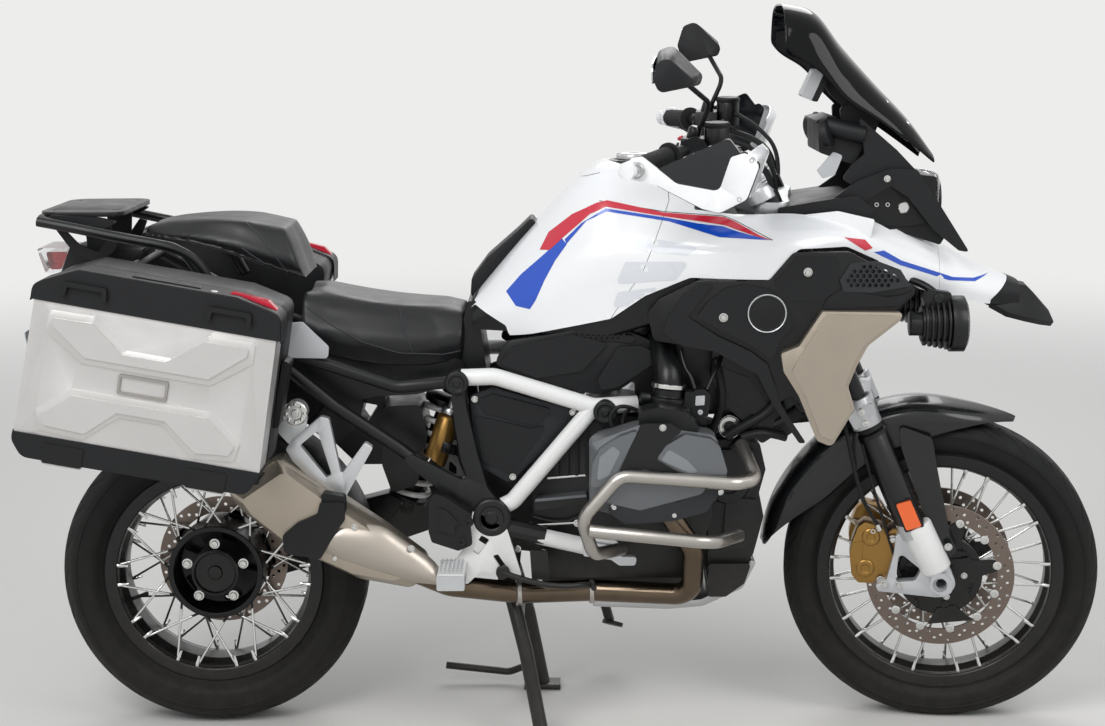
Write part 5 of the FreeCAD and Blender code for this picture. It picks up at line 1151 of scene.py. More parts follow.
@dataclass
class Seat:
    """A foam seat in grained vinyl, swollen by a cloth step and piped along its seams."""

    name: str
    node: str
    seams: tuple[tuple[Point2, ...], ...]
    voxel_mm: float = 7.5
    shrink_mm: float = 5.0
    pressure: float = 4.0
    most_mm: float = 9.0
    fill: float = 0.75
    easing: int = 24
    rake: float = 0.0
    rake_from: float = -640.0
    rake_z: float = 1000.0

    def build(self, nodes: dict[str, bpy.types.Object]) -> None:
        """Makes the seat from its plain block and adds its seams."""
        seat = self.swollen(self.blank(nodes[self.node]))
        seat.data.materials.clear()
        seat.data.materials.append(VINYL.material())
        seat.data.polygons.foreach_set("use_smooth", [True] * len(seat.data.polygons))
        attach(seat, Body.CHASSIS.value)
        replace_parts(seat, self.node)
        skin = Skin([seat])
        piping = Piece(self.name + "_seams", Body.CHASSIS, SEAT_THREAD, 0)
        for seam in self.seams:
            for side in (-1, 1):
                skin.line(piping, seam, side, 1.5, 0.2, 8)
        piping.add()
        LOG.info("piece %s swollen from %s", self.name, self.node)

    def blank(self, node: bpy.types.Object) -> bpy.types.Object:
        """An evenly meshed, softened and slightly smaller copy of the block."""
        thing = bpy.data.objects.new("blank", node.data.copy())
        bpy.context.scene.collection.objects.link(thing)
        thing.modifiers.new("weld", "WELD").merge_threshold = 0.00005
        remesh = thing.modifiers.new("even", "REMESH")
        remesh.mode, remesh.voxel_size = "VOXEL", self.voxel_mm * MM
        soft = thing.modifiers.new("soft", "SMOOTH")
        soft.factor, soft.iterations = 0.5, 10
        smaller = thing.modifiers.new("smaller", "DISPLACE")
        smaller.strength, smaller.mid_level = -self.shrink_mm * MM, 0.0
        made = self.applied(thing)
        for vertex in made.data.vertices:
            ahead = min(1.0, max(0.0, (vertex.co.x - self.rake_from * MM) / 0.08))
            vertex.co.x += self.rake * ahead * (self.rake_z * MM - vertex.co.z)
        return made

    def applied(self, thing: bpy.types.Object) -> bpy.types.Object:
        """A new object with the modifiers made real."""
        graph = bpy.context.evaluated_depsgraph_get()
        mesh = bpy.data.meshes.new_from_object(thing.evaluated_get(graph))
        bpy.data.objects.remove(thing)
        made = bpy.data.objects.new(self.name, mesh)
        bpy.context.scene.collection.objects.link(made)
        return made

    def swollen(self, thing: bpy.types.Object) -> bpy.types.Object:
        """Lets air pressure fill the cover, keeps its underside flat and limits how far it moves."""
        before = [vertex.co.copy() for vertex in thing.data.vertices]
        under = [vertex.normal.z < -0.75 for vertex in thing.data.vertices]
        cloth = thing.modifiers.new("cloth", "CLOTH")
        cloth.settings.use_pressure = True
        cloth.settings.uniform_pressure_force = self.pressure
        cloth.settings.effector_weights.gravity = 0.0
        cloth.point_cache.frame_end = 20
        scene = bpy.context.scene
        for frame in range(1, 21):
            scene.frame_set(frame)
        graph = bpy.context.evaluated_depsgraph_get()
        after = [v.co.copy() for v in thing.evaluated_get(graph).data.vertices]
        thing.modifiers.clear()
        scene.frame_set(1)
        steps = self.eased(thing.data, [now - was for was, now in zip(before, after)])
        for vertex, was, step, flat in zip(thing.data.vertices, before, steps, under):
            if step.length > self.most_mm * MM:
                step = step.normalized() * self.most_mm * MM
            vertex.co = was + (step * 0.15 if flat else step)
        thing.modifiers.new("finer", "SUBSURF").levels = 1
        return self.applied(thing)

    def eased(self, mesh: bpy.types.Mesh, steps: list[Vector]) -> list[Vector]:
        """Spreads the swelling over neighbours, as tight vinyl over foam shows no small creases."""
        ends = [tuple(edge.vertices) for edge in mesh.edges]
        for _ in range(self.easing):
            total = [step.copy() for step in steps]
            count = [1] * len(steps)
            for a, b in ends:
                total[a] += steps[b]
                total[b] += steps[a]
                count[a] += 1
                count[b] += 1
            steps = [whole / share for whole, share in zip(total, count)]
        return steps


SEATS = (
    Seat("rider_seat_cushion", "rider_seat", (
        ((-513, 897), (-460, 862), (-401, 830), (-328, 806), (-240, 800), (-205, 806)),
        ((-330, 900), (-322, 860), (-300, 806)))),
    Seat("pillion_seat_cushion", "pillion_seat", (
        ((-640, 1072), (-610, 1048), (-575, 1005), (-548, 962)),
        ((-640, 1020), (-600, 990), (-575, 962))), rake=0.42),
)


# ---------------------------------------------------------------- engine and frame

@dataclass
class Engine:
    """The crowned cylinder covers, intakes and small fittings around the plain block."""

    face_y: float = -360.0

    def build(self) -> None:
        """Makes the engine's detail, the same on both sides."""
        self.covers()
        self.intakes()
        self.block_side()
        self.small_parts()

    def covers(self) -> None:
        """Grey lobes standing on the black band of each cylinder cover."""
        lobes = Piece("cylinder_cover_lobes", Body.CHASSIS, ENGINE_GREY, 5.5, 30)
        rear = [(54, 578, 10), (59, 628, 10), (72, 655, 8), (112, 680, 8), (147, 692, 5), (104, 608, 5), (80, 582, 6)]
        front = [(182, 638, 6), (200, 663, 8), (236, 684, 10), (286, 675, 12), (303, 659, 10), (319, 606, 8),
                 (243, 604, 6)]
        lobes.plate(rear, self.face_y + 9, 22, both=True).plate(front, self.face_y + 6, 24, both=True)
        lobes.add()
        inset = Piece("cylinder_cover_insets", Body.CHASSIS, ENGINE_PALE, 2.5, 30)
        inset.plate([(190, 634, 5), (204, 656, 8), (240, 634, 6), (262, 610, 5), (244, 609, 5)], self.face_y - 5.4, 3,
                    both=True)
        inset.plate([(66, 592, 6), (72, 640, 8), (98, 662, 6), (112, 650, 6), (90, 604, 6)], self.face_y - 1.6, 3,
                    both=True)
        inset.add()
        low = Piece("cylinder_cover_undersides", Body.CHASSIS, CHARCOAL_ABS, 4, 30)
        low.plate([(84, 534, 10), (134, 568, 10), (224, 549, 10), (272, 574, 8), (316, 588, 8), (278, 530, 12),
                   (214, 512, 12), (121, 506, 10)], self.face_y + 10, 18, both=True)
        low.add()
        band = Piece("cylinder_cover_bands", Body.CHASSIS, ENGINE_BLACK, 2.5, 30)
        band.plate([(152, 704, 5), (208, 705, 5), (230, 690, 5), (196, 660, 5), (182, 634, 4), (240, 600, 5),
                    (188, 606, 8),
                    (160, 616, 8), (108, 608, 4)], self.face_y + 2, 10, both=True)
        band.plate([(151, 722, 8), (188, 730, 10), (231, 723, 10), (265, 692, 6), (262, 680, 6), (229, 683, 6),
                    (148, 694, 6)], -300, 60, both=True)
        band.plate([(96, 602, 4), (176, 596, 4), (250, 572, 10), (300, 592, 6), (290, 566, 8), (228, 546, 8),
                    (140, 566, 6)], self.face_y + 6, 8, both=True)
        band.add()
        bolts = Piece("cylinder_cover_bolts", Body.CHASSIS, POLISHED_STEEL, 0)
        bolts.bolts([(193, self.face_y - 3, 697), (216, self.face_y + 2, 524), (100, self.face_y + 2, 540),
                     (304, self.face_y + 2, 570)], OUTWARD, 5.0, both=True)
        bolts.add()

    def intakes(self) -> None:
        """Throttle bodies with their steel clamp rings, connectors and cables."""
        body = Piece("throttle_bodies", Body.CHASSIS, SMOOTH_ABS, 1.2)
        axis = Vector((212, -228, 752)) - Vector((206, -232, 690))
        body.turned([(30, 0), (36, 4), (36, 12), (31, 16), (31, 22), (37, 26), (37, 34), (31, 38), (31, 52), (34, 54),
                     (34, 62)], (206, -232, 696), axis, both=True)
        body.turned([(11, 0), (13, 3), (13, 18), (9, 22)], (176, -236, 730), (-1, 0, 0.1), both=True, steps=16)
        body.plate([(240, 712, 4), (262, 712, 4), (266, 744, 4), (242, 746, 4)], -236, 30, both=True)
        body.add()
        rings = Piece("intake_clamps", Body.CHASSIS, POLISHED_STEEL, 0.5)
        for low in (54, 8):
            at = Vector((206, -232, 696)) + axis.normalized() * low
            rings.turned([(33.4, 0), (34.6, 0.4), (34.6, 8.6), (33.4, 9)], at, axis, both=True)
        rings.add()
        coil = Piece("ignition_coils", Body.CHASSIS, SMOOTH_ABS, 2)
        coil.plate([(254, 694, 5), (288, 696, 5), (292, 740, 8), (280, 750, 6), (260, 748, 6), (252, 732, 5)], -232,
                   34, both=True)
        coil.pipe([(262, -232, 748), (256, -226, 770), (240, -214, 792), (236, -200, 824)], 4.5, both=True)
        coil.pipe([(286, -232, 746), (300, -216, 776), (318, -190, 800), (330, -170, 836)], 4, both=True)
        coil.add()
        label = Piece("coil_plates", Body.CHASSIS, CAST_SILVER, 0.6)
        label.plate([(262, 718, 2), (280, 719, 2), (281, 738, 2), (263, 737, 2)], -250, 2.4, both=True)
        label.bolts([(272, -249, 704)], OUTWARD, 4, both=True)
        label.add()

    def block_side(self) -> None:
        """Ribs, covers and bolts over the plain sides of the block, seen around the cylinders."""
        fins = Piece("crankcase_ribs", Body.CHASSIS, ENGINE_BLACK, 1.5)
        for k in range(5):
            x = -34 + 20 * k
            fins.plate([(x, 556, 2), (x + 7, 556, 2), (x + 7, 664 - 3 * k, 3), (x, 660 - 3 * k, 3)], -152, 10,
                       both=True)
        fins.plate([(-56, 490, 6), (-56, 511, 6), (48, 522, 5), (52, 504, 5)], -165, 34, both=True)
        fins.plate([(300, 470, 10), (380, 480, 20), (392, 560, 20), (380, 600, 20), (326, 622, 10), (306, 560, 20)],
                   -96, 22,
                   both=True)
        fins.turned([(44, 0), (46, 6), (42, 12), (24, 14), (20, 10)], (340, -104, 530), OUTWARD, both=True)
        fins.add()
        starter = Piece("starter_cover_lip", Body.CHASSIS, ENGINE_GREY, 1)
        starter.plate([(-56, 508, 3), (-54, 514, 3), (48, 523, 3), (50, 518, 3)], -166, 34, both=True)
        starter.add()
        filler = Piece("oil_filler_cap", Body.CHASSIS, ENGINE_BLACK, 0.8)
        filler.turned([(24, -30), (24, 6), (20, 8), (19, 3), (13, 3), (12, 8), (5, 9)], (337, -160, 658), OUTWARD,
                      both=True)
        filler.plate([(330, 640, 8), (350, 622, 8), (396, 640, 10), (410, 668, 8), (360, 684, 10), (336, 676, 8)],
                     -142, 20, both=True)
        filler.add()
        ring = Piece("oil_filler_ring", Body.CHASSIS, POLISHED_STEEL, 0.4)
        ring.turned([(20.4, 7), (22.6, 8.2), (24.2, 7), (24.2, 4)], (337, -160, 658), OUTWARD, both=True)
        ring.bolts([(384, -153, 662), (398, -153, 650)], OUTWARD, 6, both=True)
        ring.add()
        hoses = Piece("coolant_hoses", Body.CHASSIS, RUBBER, 0)
        hoses.pipe([(345, -150, 608), (372, -156, 640), (404, -164, 656), (446, -176, 668), (474, -186, 700)], 12,
                   both=True)
        hoses.pipe([(316, -120, 700), (352, -132, 724), (386, -150, 760), (420, -168, 800), (440, -176, 840)], 11,
                   both=True)
        hoses.pipe([(140, -180, 704), (118, -190, 686), (126, -196, 652), (150, -190, 640)], 5, both=True)
        hoses.pipe([(-60, -150, 470), (-20, -158, 458), (30, -158, 464), (80, -156, 500)], 5, both=True)
        hoses.add()
        self.bay()

    def bay(self) -> None:
        """The dark ducts, boxes and hoses between the cowls and the engine."""
        duct = Piece("engine_bay_ducts", Body.CHASSIS, SMOOTH_ABS, 3)
        duct.plate([(140, 846, 10), (310, 850, 10), (420, 800, 12), (452, 700, 12), (440, 640, 10), (404, 616, 10),
                    (384, 640, 10),
                    (330, 668, 10), (292, 690, 10), (230, 700, 10), (150, 700, 10)], -110, 60, both=True)
        duct.plate([(306, 812, 10), (390, 784, 10), (444, 716, 10), (466, 650, 8), (440, 632, 8), (400, 640, 12),
                    (330, 700, 12),
                    (298, 760, 10)], -168, 16, both=True)
        duct.plate([(300, 790, 6), (372, 762, 8), (414, 704, 8), (420, 672, 6), (396, 676, 6), (336, 722, 8)], -180,
                   8, both=True)
        duct.add()
        box = Piece("engine_front_covers", Body.CHASSIS, ENGINE_BLACK, 4, 28)
        box.plate([(300, 620, 8), (404, 612, 10), (417, 556, 8), (404, 507, 8), (414, 457, 8), (394, 378, 8),
                   (380, 352, 8),
                   (300, 352, 8)], -70, 70, both=True)
        box.plate([(318, 600, 8), (390, 600, 8), (404, 556, 8), (392, 520, 8), (330, 524, 8)], -112, 18, both=True)
        box.plate([(336, 500, 6), (398, 494, 6), (402, 446, 6), (386, 392, 6), (330, 388, 6)], -108, 12, both=True)
        box.plate([(300, 362, 6), (388, 362, 8), (374, 320, 8), (336, 292, 8), (300, 292, 6)], -124, 6, both=True)
        box.add()
        lines = Piece("engine_bay_hoses", Body.CHASSIS, RUBBER, 0)
        lines.pipe([(330, -176, 640), (372, -186, 668), (410, -192, 690), (440, -196, 730), (436, -190, 780)], 9,
                   both=True)
        lines.pipe([(300, -150, 640), (316, -186, 690), (322, -190, 740), (306, -186, 800)], 8, both=True)
        lines.pipe([(360, -186, 640), (390, -190, 652), (424, -196, 648), (448, -190, 640)], 8, both=True)
        lines.add()
        lug = Piece("frame_lugs", Body.CHASSIS, CAST_SILVER, 2)
        lug.plate([(38, 436, 6), (104, 424, 10), (118, 402, 8), (150, 402, 8), (146, 384, 6), (114, 384, 8),
                   (98, 396, 8),
                   (42, 404, 6)], -208, 16, both=True)
        lug.add()
        rings = Piece("frame_lug_sockets", Body.CHASSIS, ENGINE_BLACK, 0)
        rings.bolts([(63, -216, 418), (95, -216, 412)], OUTWARD, 8, both=True)
        rings.add()
        loop = Piece("breather_loop", Body.CHASSIS, RUBBER, 0)
        loop.pipe([(150, -206, 700), (118, -210, 716), (92, -214, 690), (104, -214, 656), (140, -210, 652)], 4,
                  both=True)
        loop.add()

    def small_parts(self) -> None:
        """Gear linkage rod, drain bolts and header clamps."""
        bright = Piece("engine_small_bright_parts", Body.CHASSIS, POLISHED_STEEL, 0)
        bright.pipe([(-66, -172, 457), (28, -172, 462)], 3, both=True, smooth=False)
        bright.pipe([(-30, -152, 550), (48, -152, 556)], 3.4, both=True, smooth=False)
        bright.bolts([(-66, -176, 457), (30, -176, 462), (-92, -152, 402), (-40, -153, 396), (310, -112, 500),
                      (370, -108, 560), (336, -108, 590)], OUTWARD, 5.5, both=True)
        bright.add()
        clamps = Piece("header_clamps", Body.CHASSIS, STAINLESS, 0.6)
        clamps.turned([(24, -6), (27, -4), (27, 4), (24, 6)], (60, -138, 310), FORWARD, both=False)
        clamps.turned([(24, -6), (27, -4), (27, 4), (24, 6)], (-90, -160, 312), (1, 0.13, 0), both=False)
        clamps.add()
        bash = Piece("skid_plate_bolts", Body.CHASSIS, POLISHED_STEEL, 0)
        bash.bolts([(100, y, 267) for y in (-60, 60)] + [(250, y, 262) for y in (-60, 60)], (0, 0, -1), 7)
        bash.add()


@dataclass
class Chassis:
    """Caps, sleeves, bolts and covers on the painted frame."""

    side_y: float = -206.0

    def build(self) -> None:
        """Makes the frame's trim on both sides."""
        caps = Piece("frame_caps", Body.CHASSIS, BLACK_POWDER, 1.0)
        for x, z, r in ((-209, 756, 24), (-142, 481, 39), (86, 696, 24)):
            caps.turned([(r, -24), (r, 3), (0.9 * r, 6), (0.66 * r, 6.5), (0.6 * r, 4), (0.32 * r, 4), (0.28 * r, 6),
                         (0.1, 6)],
                        (x, self.side_y + 2, z), OUTWARD, both=True, steps=40)
        caps.pipe([(-112, -186, 455), (-36, -184, 437)], 20.5, both=True, smooth=False)
        caps.plate([(-66, 414, 4), (-30, 412, 4), (-26, 352, 4), (-62, 352, 4)], -203, 5, both=True)
        caps.pipe([(-262, -172, 570), (-300, -172, 600)], 18, both=True, smooth=False)
        caps.pipe([(-204, -172, 690), (-196, -172, 640)], 19, both=True, smooth=False)
        caps.add()
        rings = Piece("frame_rings", Body.CHASSIS, WHITE_POWDER, 0)
        rings.turned([(18.4, 0), (18.8, 0.5), (18.8, 2.5), (18.4, 3)], (-40, -184, 438), (0.973, 0, -0.23), both=True)
        rings.turned([(18.4, 0), (18.8, 0.5), (18.8, 2.5), (18.4, 3)], (-276, -172, 581), (-0.8, 0, 0.6), both=True)
        rings.add()
        bolts = Piece("frame_bolts", Body.CHASSIS, POLISHED_STEEL, 0)
        bolts.bolts([(66, self.side_y, 416), (98, self.side_y, 411)], OUTWARD, 9, both=True)
        bolts.bolts([(-238, -209, 520), (-196, -209, 478), (-204, -209, 428)], OUTWARD, 6, both=True)
        bolts.bolts([(-175, -165, 716), (-100, -165, 556), (22, -165, 688)], OUTWARD, 5, both=True)
        bolts.add()
        self.side_covers()
        self.spring()
        self.rear_well()
        self.footrests()

    def side_covers(self) -> None:
        """Faceted covers over the side panels and the air box."""
        side = Piece("side_cover_facets", Body.CHASSIS, GRAINED_ABS, 3.5, 25)
        side.plate([(-172, 716, 8), (-138, 728, 8), (-20, 696, 6), (-56, 664, 6), (-160, 690, 6)], -167, 12, both=True)
        side.plate([(-176, 684, 8), (-62, 656, 6), (-30, 664, 6), (-104, 560, 8), (-160, 590, 8)], -165, 9, both=True)
        side.add()
        box = Piece("air_box_facets", Body.CHASSIS, GRAINED_ABS, 4.5, 25)
        box.plate([(-122, 792, 6), (-100, 826, 6), (20, 850, 6), (92, 832, 6), (40, 776, 8), (-50, 762, 8)], -181, 10,
                  both=True)
        box.plate([(112, 826, 6), (158, 828, 6), (186, 812, 6), (184, 792, 6), (112, 744, 8), (78, 738, 6),
                   (72, 760, 6)],
                  -183, 14, both=True)
        box.add()
        mesh = Piece("air_box_mesh", Body.CHASSIS, SMOOTH_ABS, 0)
        holes = [circle(30 + 11 * i + 5.5 * (j % 2), 850 - 8 * j, 3.1, 6)
                 for j in range(2) for i in range(10 - 2 * j)]
        mesh.plate([(20, 858, 4), (96, 866, 6), (150, 842, 6), (140, 832, 4), (100, 836, 6), (30, 840, 6)], -182, 4,
                   holes, both=True)
        mesh.add()

    def spring(self) -> None:
        """The rear shock's white coil around its damper, and the gold reservoir."""
        foot, top = Vector((-326, -6, 474)), Vector((-238, -6, 700))
        up = (top - foot).normalized()
        across = up.cross(Vector((0, 1, 0))).normalized()
        ahead = up.cross(across)
        turns, radius = 7.5, 37.0
        points = []
        for k in range(int(turns * 20)):
            a = math.tau * k / 20
            at = foot + up * (12 + 205 * k / (turns * 20)) + (across * math.cos(a) + ahead * math.sin(a)) * radius
            points.append(tuple(at))
        coil = Piece("rear_spring", Body.CHASSIS, WHITE_POWDER, 0)
        coil.pipe(points, 6, smooth=False)
        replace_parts(coil.add(), "rear_shock")
        damper = Piece("rear_damper", Body.CHASSIS, SMOOTH_ABS, 0.8)
        damper.turned([(14, -10), (24, -4), (43, 0), (43, 8), (24, 10), (24, 120), (10, 122), (10, 214), (40, 216),
                       (43, 222),
                       (43, 230), (26, 236)], foot, up)
        damper.turned([(13, 0), (15, 10), (15, 50), (20, 60)], top, Vector((26, 0, 56)))
        damper.turned([(25.5, 0), (26.5, 2), (26.5, 20), (25.5, 22)], (-240, -70, 590), (0.35, 0, 1))
        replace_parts(damper.add(), "rear_shock")
        can = Piece("shock_reservoir", Body.CHASSIS, GOLD_ANODISED, 0.6)
        can.turned([(12, -44), (22, -40), (22, -30), (18, -28), (18, -22), (22, -20), (22, -10), (24, -4), (24, 90),
                    (20, 96),
                    (14, 100)], (-262, -70, 572), (0.33, 0, 1))
        can.add()
        tops = Piece("shock_reservoir_cap", Body.CHASSIS, BRUSHED_ALUMINIUM, 0.6)
        tops.turned([(20, 0), (20, 6), (16, 12), (10, 14), (10, 26), (6, 30)], (-230, -70, 668), (0.33, 0, 1))
        tops.add()

    def rear_well(self) -> None:
        """The dark inner mudguard, battery box and chain guard behind the subframe."""
        well = Piece("rear_inner_mudguard", Body.CHASSIS, SMOOTH_ABS, 4)
        well.plate([(-370, 684, 14), (-290, 688, 14), (-278, 620, 10), (-300, 520, 14), (-352, 500, 14),
                    (-372, 560, 14)], 0, 150)
        well.plate([(-620, 800, 20), (-200, 790, 20), (-196, 742, 14), (-296, 716, 10), (-380, 712, 10),
                    (-430, 700, 14),
                    (-470, 700, 20), (-620, 740, 20)], 0, 220)
        well.plate([(-470, 716, 10), (-404, 700, 14), (-424, 640, 16), (-470, 600, 20), (-520, 640, 20)], 0, 150)
        well.plate([(-216, 800, 10), (-190, 905, 6), (-172, 905, 6), (-150, 740, 10), (-260, 740, 10)], 0, 190)
        well.plate([(-540, 720, 10), (-366, 720, 10), (-366, 556, 10), (-426, 556, 14), (-474, 604, 20),
                    (-540, 650, 20)], 0, 90,
                   [[(-417, 688, 3), (-381, 681, 3), (-406, 639, 3), (-418, 657, 3)]])
        well.add()
        hugger = Piece("rear_hugger", Body.CHASSIS, GRAINED_ABS, 0, 60)
        rows = []
        for k in range(25):
            a = math.radians(10 + 62 * k / 24)
            rows.append([(REAR_AXLE.x + r * math.cos(a), y, REAR_AXLE.z + r * math.sin(a)) for y, r in (
                (-96, 286), (-97, 312), (-94, 326), (-80, 332), (0, 336), (80, 332), (94, 326), (97, 312), (96, 286))])
        hugger.rows(rows, False).add(3.0)
        guard = Piece("heel_guards", Body.CHASSIS, GRAINED_ABS, 2.5)
        guard.plate([(-266, 524, 8), (-256, 536, 8), (-236, 530, 10), (-180, 492, 8), (-184, 474, 8), (-180, 430, 10),
                     (-209, 418, 8),
                     (-262, 436, 8), (-268, 458, 6)], -222, 7, both=True)
        guard.plate([(-244, 496, 5), (-214, 478, 5), (-214, 450, 8), (-248, 460, 5)], -227, 4, both=True)
        guard.plate([(-250, 510, 6), (-230, 502, 6), (-206, 476, 6), (-214, 470, 6), (-244, 492, 6)], -227, 6,
                    both=True)
        guard.add()
        heads = Piece("heel_guard_bolts", Body.CHASSIS, ENGINE_BLACK, 0)
        heads.bolts([(-188, -226, 478), (-202, -226, 439)], OUTWARD, 8, both=True)
        heads.add()

    def footrests(self) -> None:
        """Serrated pegs, the brake pedal and the gear pedal."""
        pegs = Piece("footrest_teeth", Body.CHASSIS, CAST_SILVER, 0.8)
        for k in range(6):
            y = -216 - 18 * k
            teeth = [(-244, 392)]
            teeth += [(-244 + 8 * i + d, 400 if d == 4 else 393) for i in range(6) for d in (0, 4)]
            teeth.append((-195, 392))
            pegs.plate([(x, z, 0) for x, z in teeth], y, 5, both=True)
        pegs.plate([(-247, 364, 5), (-247, 393, 5), (-192, 393, 5), (-192, 364, 5)], -276, 98, both=True)
        pegs.add()
        pedal = Piece("brake_pedal", Body.CHASSIS, BLACK_POWDER, 0.8)
        pedal.pipe([(-120, -222, 372), (-60, -230, 352), (10, -236, 346), (58, -246, 356), (62, -286, 358)], 6)
        pedal.turned([(12, -8), (14, -6), (14, 6), (12, 8)], (-120, -218, 372), OUTWARD)
        pedal.add()
        gear = Piece("gear_pedal", Body.CHASSIS, BLACK_POWDER, 0.8)
        gear.pipe([(-120, 222, 372), (-60, 232, 352), (0, 238, 348), (40, 246, 360), (42, 284, 362)], 5.5)
        gear.turned([(11, -8), (13, -6), (13, 6), (11, 8)], (-120, 218, 372), (0, 1, 0))
        gear.add()


@dataclass
class Exhaust:
    """The silencer's end cap, shield screws and outlet."""

    outer_y: float = -265.0

    def build(self) -> None:
        """Makes the small parts on the silencer."""
        black = Piece("silencer_black_cover", Body.CHASSIS, GRAINED_ABS, 2.5, 28)
        black.plate([(-484, 506, 8), (-478, 530, 6), (-430, 530, 6), (-430, 494, 6), (-452, 462, 10), (-480, 414, 8),
                     (-552, 426, 12),
                     (-554, 462, 8), (-524, 488, 8)], self.outer_y - 1, 12)
        black.plate([(-474, 548, 6), (-430, 540, 6), (-428, 506, 8), (-456, 500, 8), (-478, 516, 6)],
                    self.outer_y + 14, 30)
        black.add()
        barrel = Piece("silencer_shield", Body.CHASSIS, SHIELD_STEEL, 0.6, 60)
        top = [(-436, 486), (-408, 485), (-356, 479), (-336, 462), (-305, 440), (-262, 412), (-246, 392), (-240, 374)]
        low = [(-482, 420), (-456, 404), (-427, 392), (-392, 381), (-350, 371), (-306, 360), (-266, 356), (-240, 356)]
        rows = []
        for (ax, az), (bx, bz) in zip(top, low):
            rows.append([(ax + (bx - ax) * t / 12, -246 - 26 * math.sin(math.pi * t / 12) ** 0.6,
                          az + (bz - az) * t / 12)
                         for t in range(13)])
        barrel.rows(rows, False)
        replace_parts(barrel.add(2.0, 1), "exhaust_shields")
        screws = Piece("silencer_screws", Body.CHASSIS, POLISHED_STEEL, 0)
        screws.bolts([(-412, self.outer_y + 2, 478), (-452, self.outer_y + 4, 414), (-268, self.outer_y + 4, 370),
                      (-300, self.outer_y + 2, 434)], OUTWARD, 5)
        screws.add()
        knob = Piece("pillion_bracket_knobs", Body.CHASSIS, POLISHED_STEEL, 0.6)
        knob.turned([(22, 0), (25, 2), (25, 8), (22, 11), (14, 11), (13, 8), (8, 8), (7, 12), (3, 12)],
                    (-528, -221, 701),
                    (0, -1, 0), both=True, steps=36)
        for k in range(8):
            a = math.tau * k / 8
            knob.turned([(3.4, 0), (3.4, 1.2), (2, 1.6)], (-528 + 18 * math.cos(a), -231.5, 701 + 18 * math.sin(a)),
                        (0, -1, 0), both=True, steps=10)
        knob.add()
        outlet = Piece("silencer_outlet", Body.CHASSIS, STAINLESS, 0.6)
        outlet.turned([(26, -10), (26, 4), (23, 6), (22, -8), (3, -9)], (-628, -208, 560), (-0.86, 0, 0.5))
        outlet.add()


# ---------------------------------------------------------------- front end

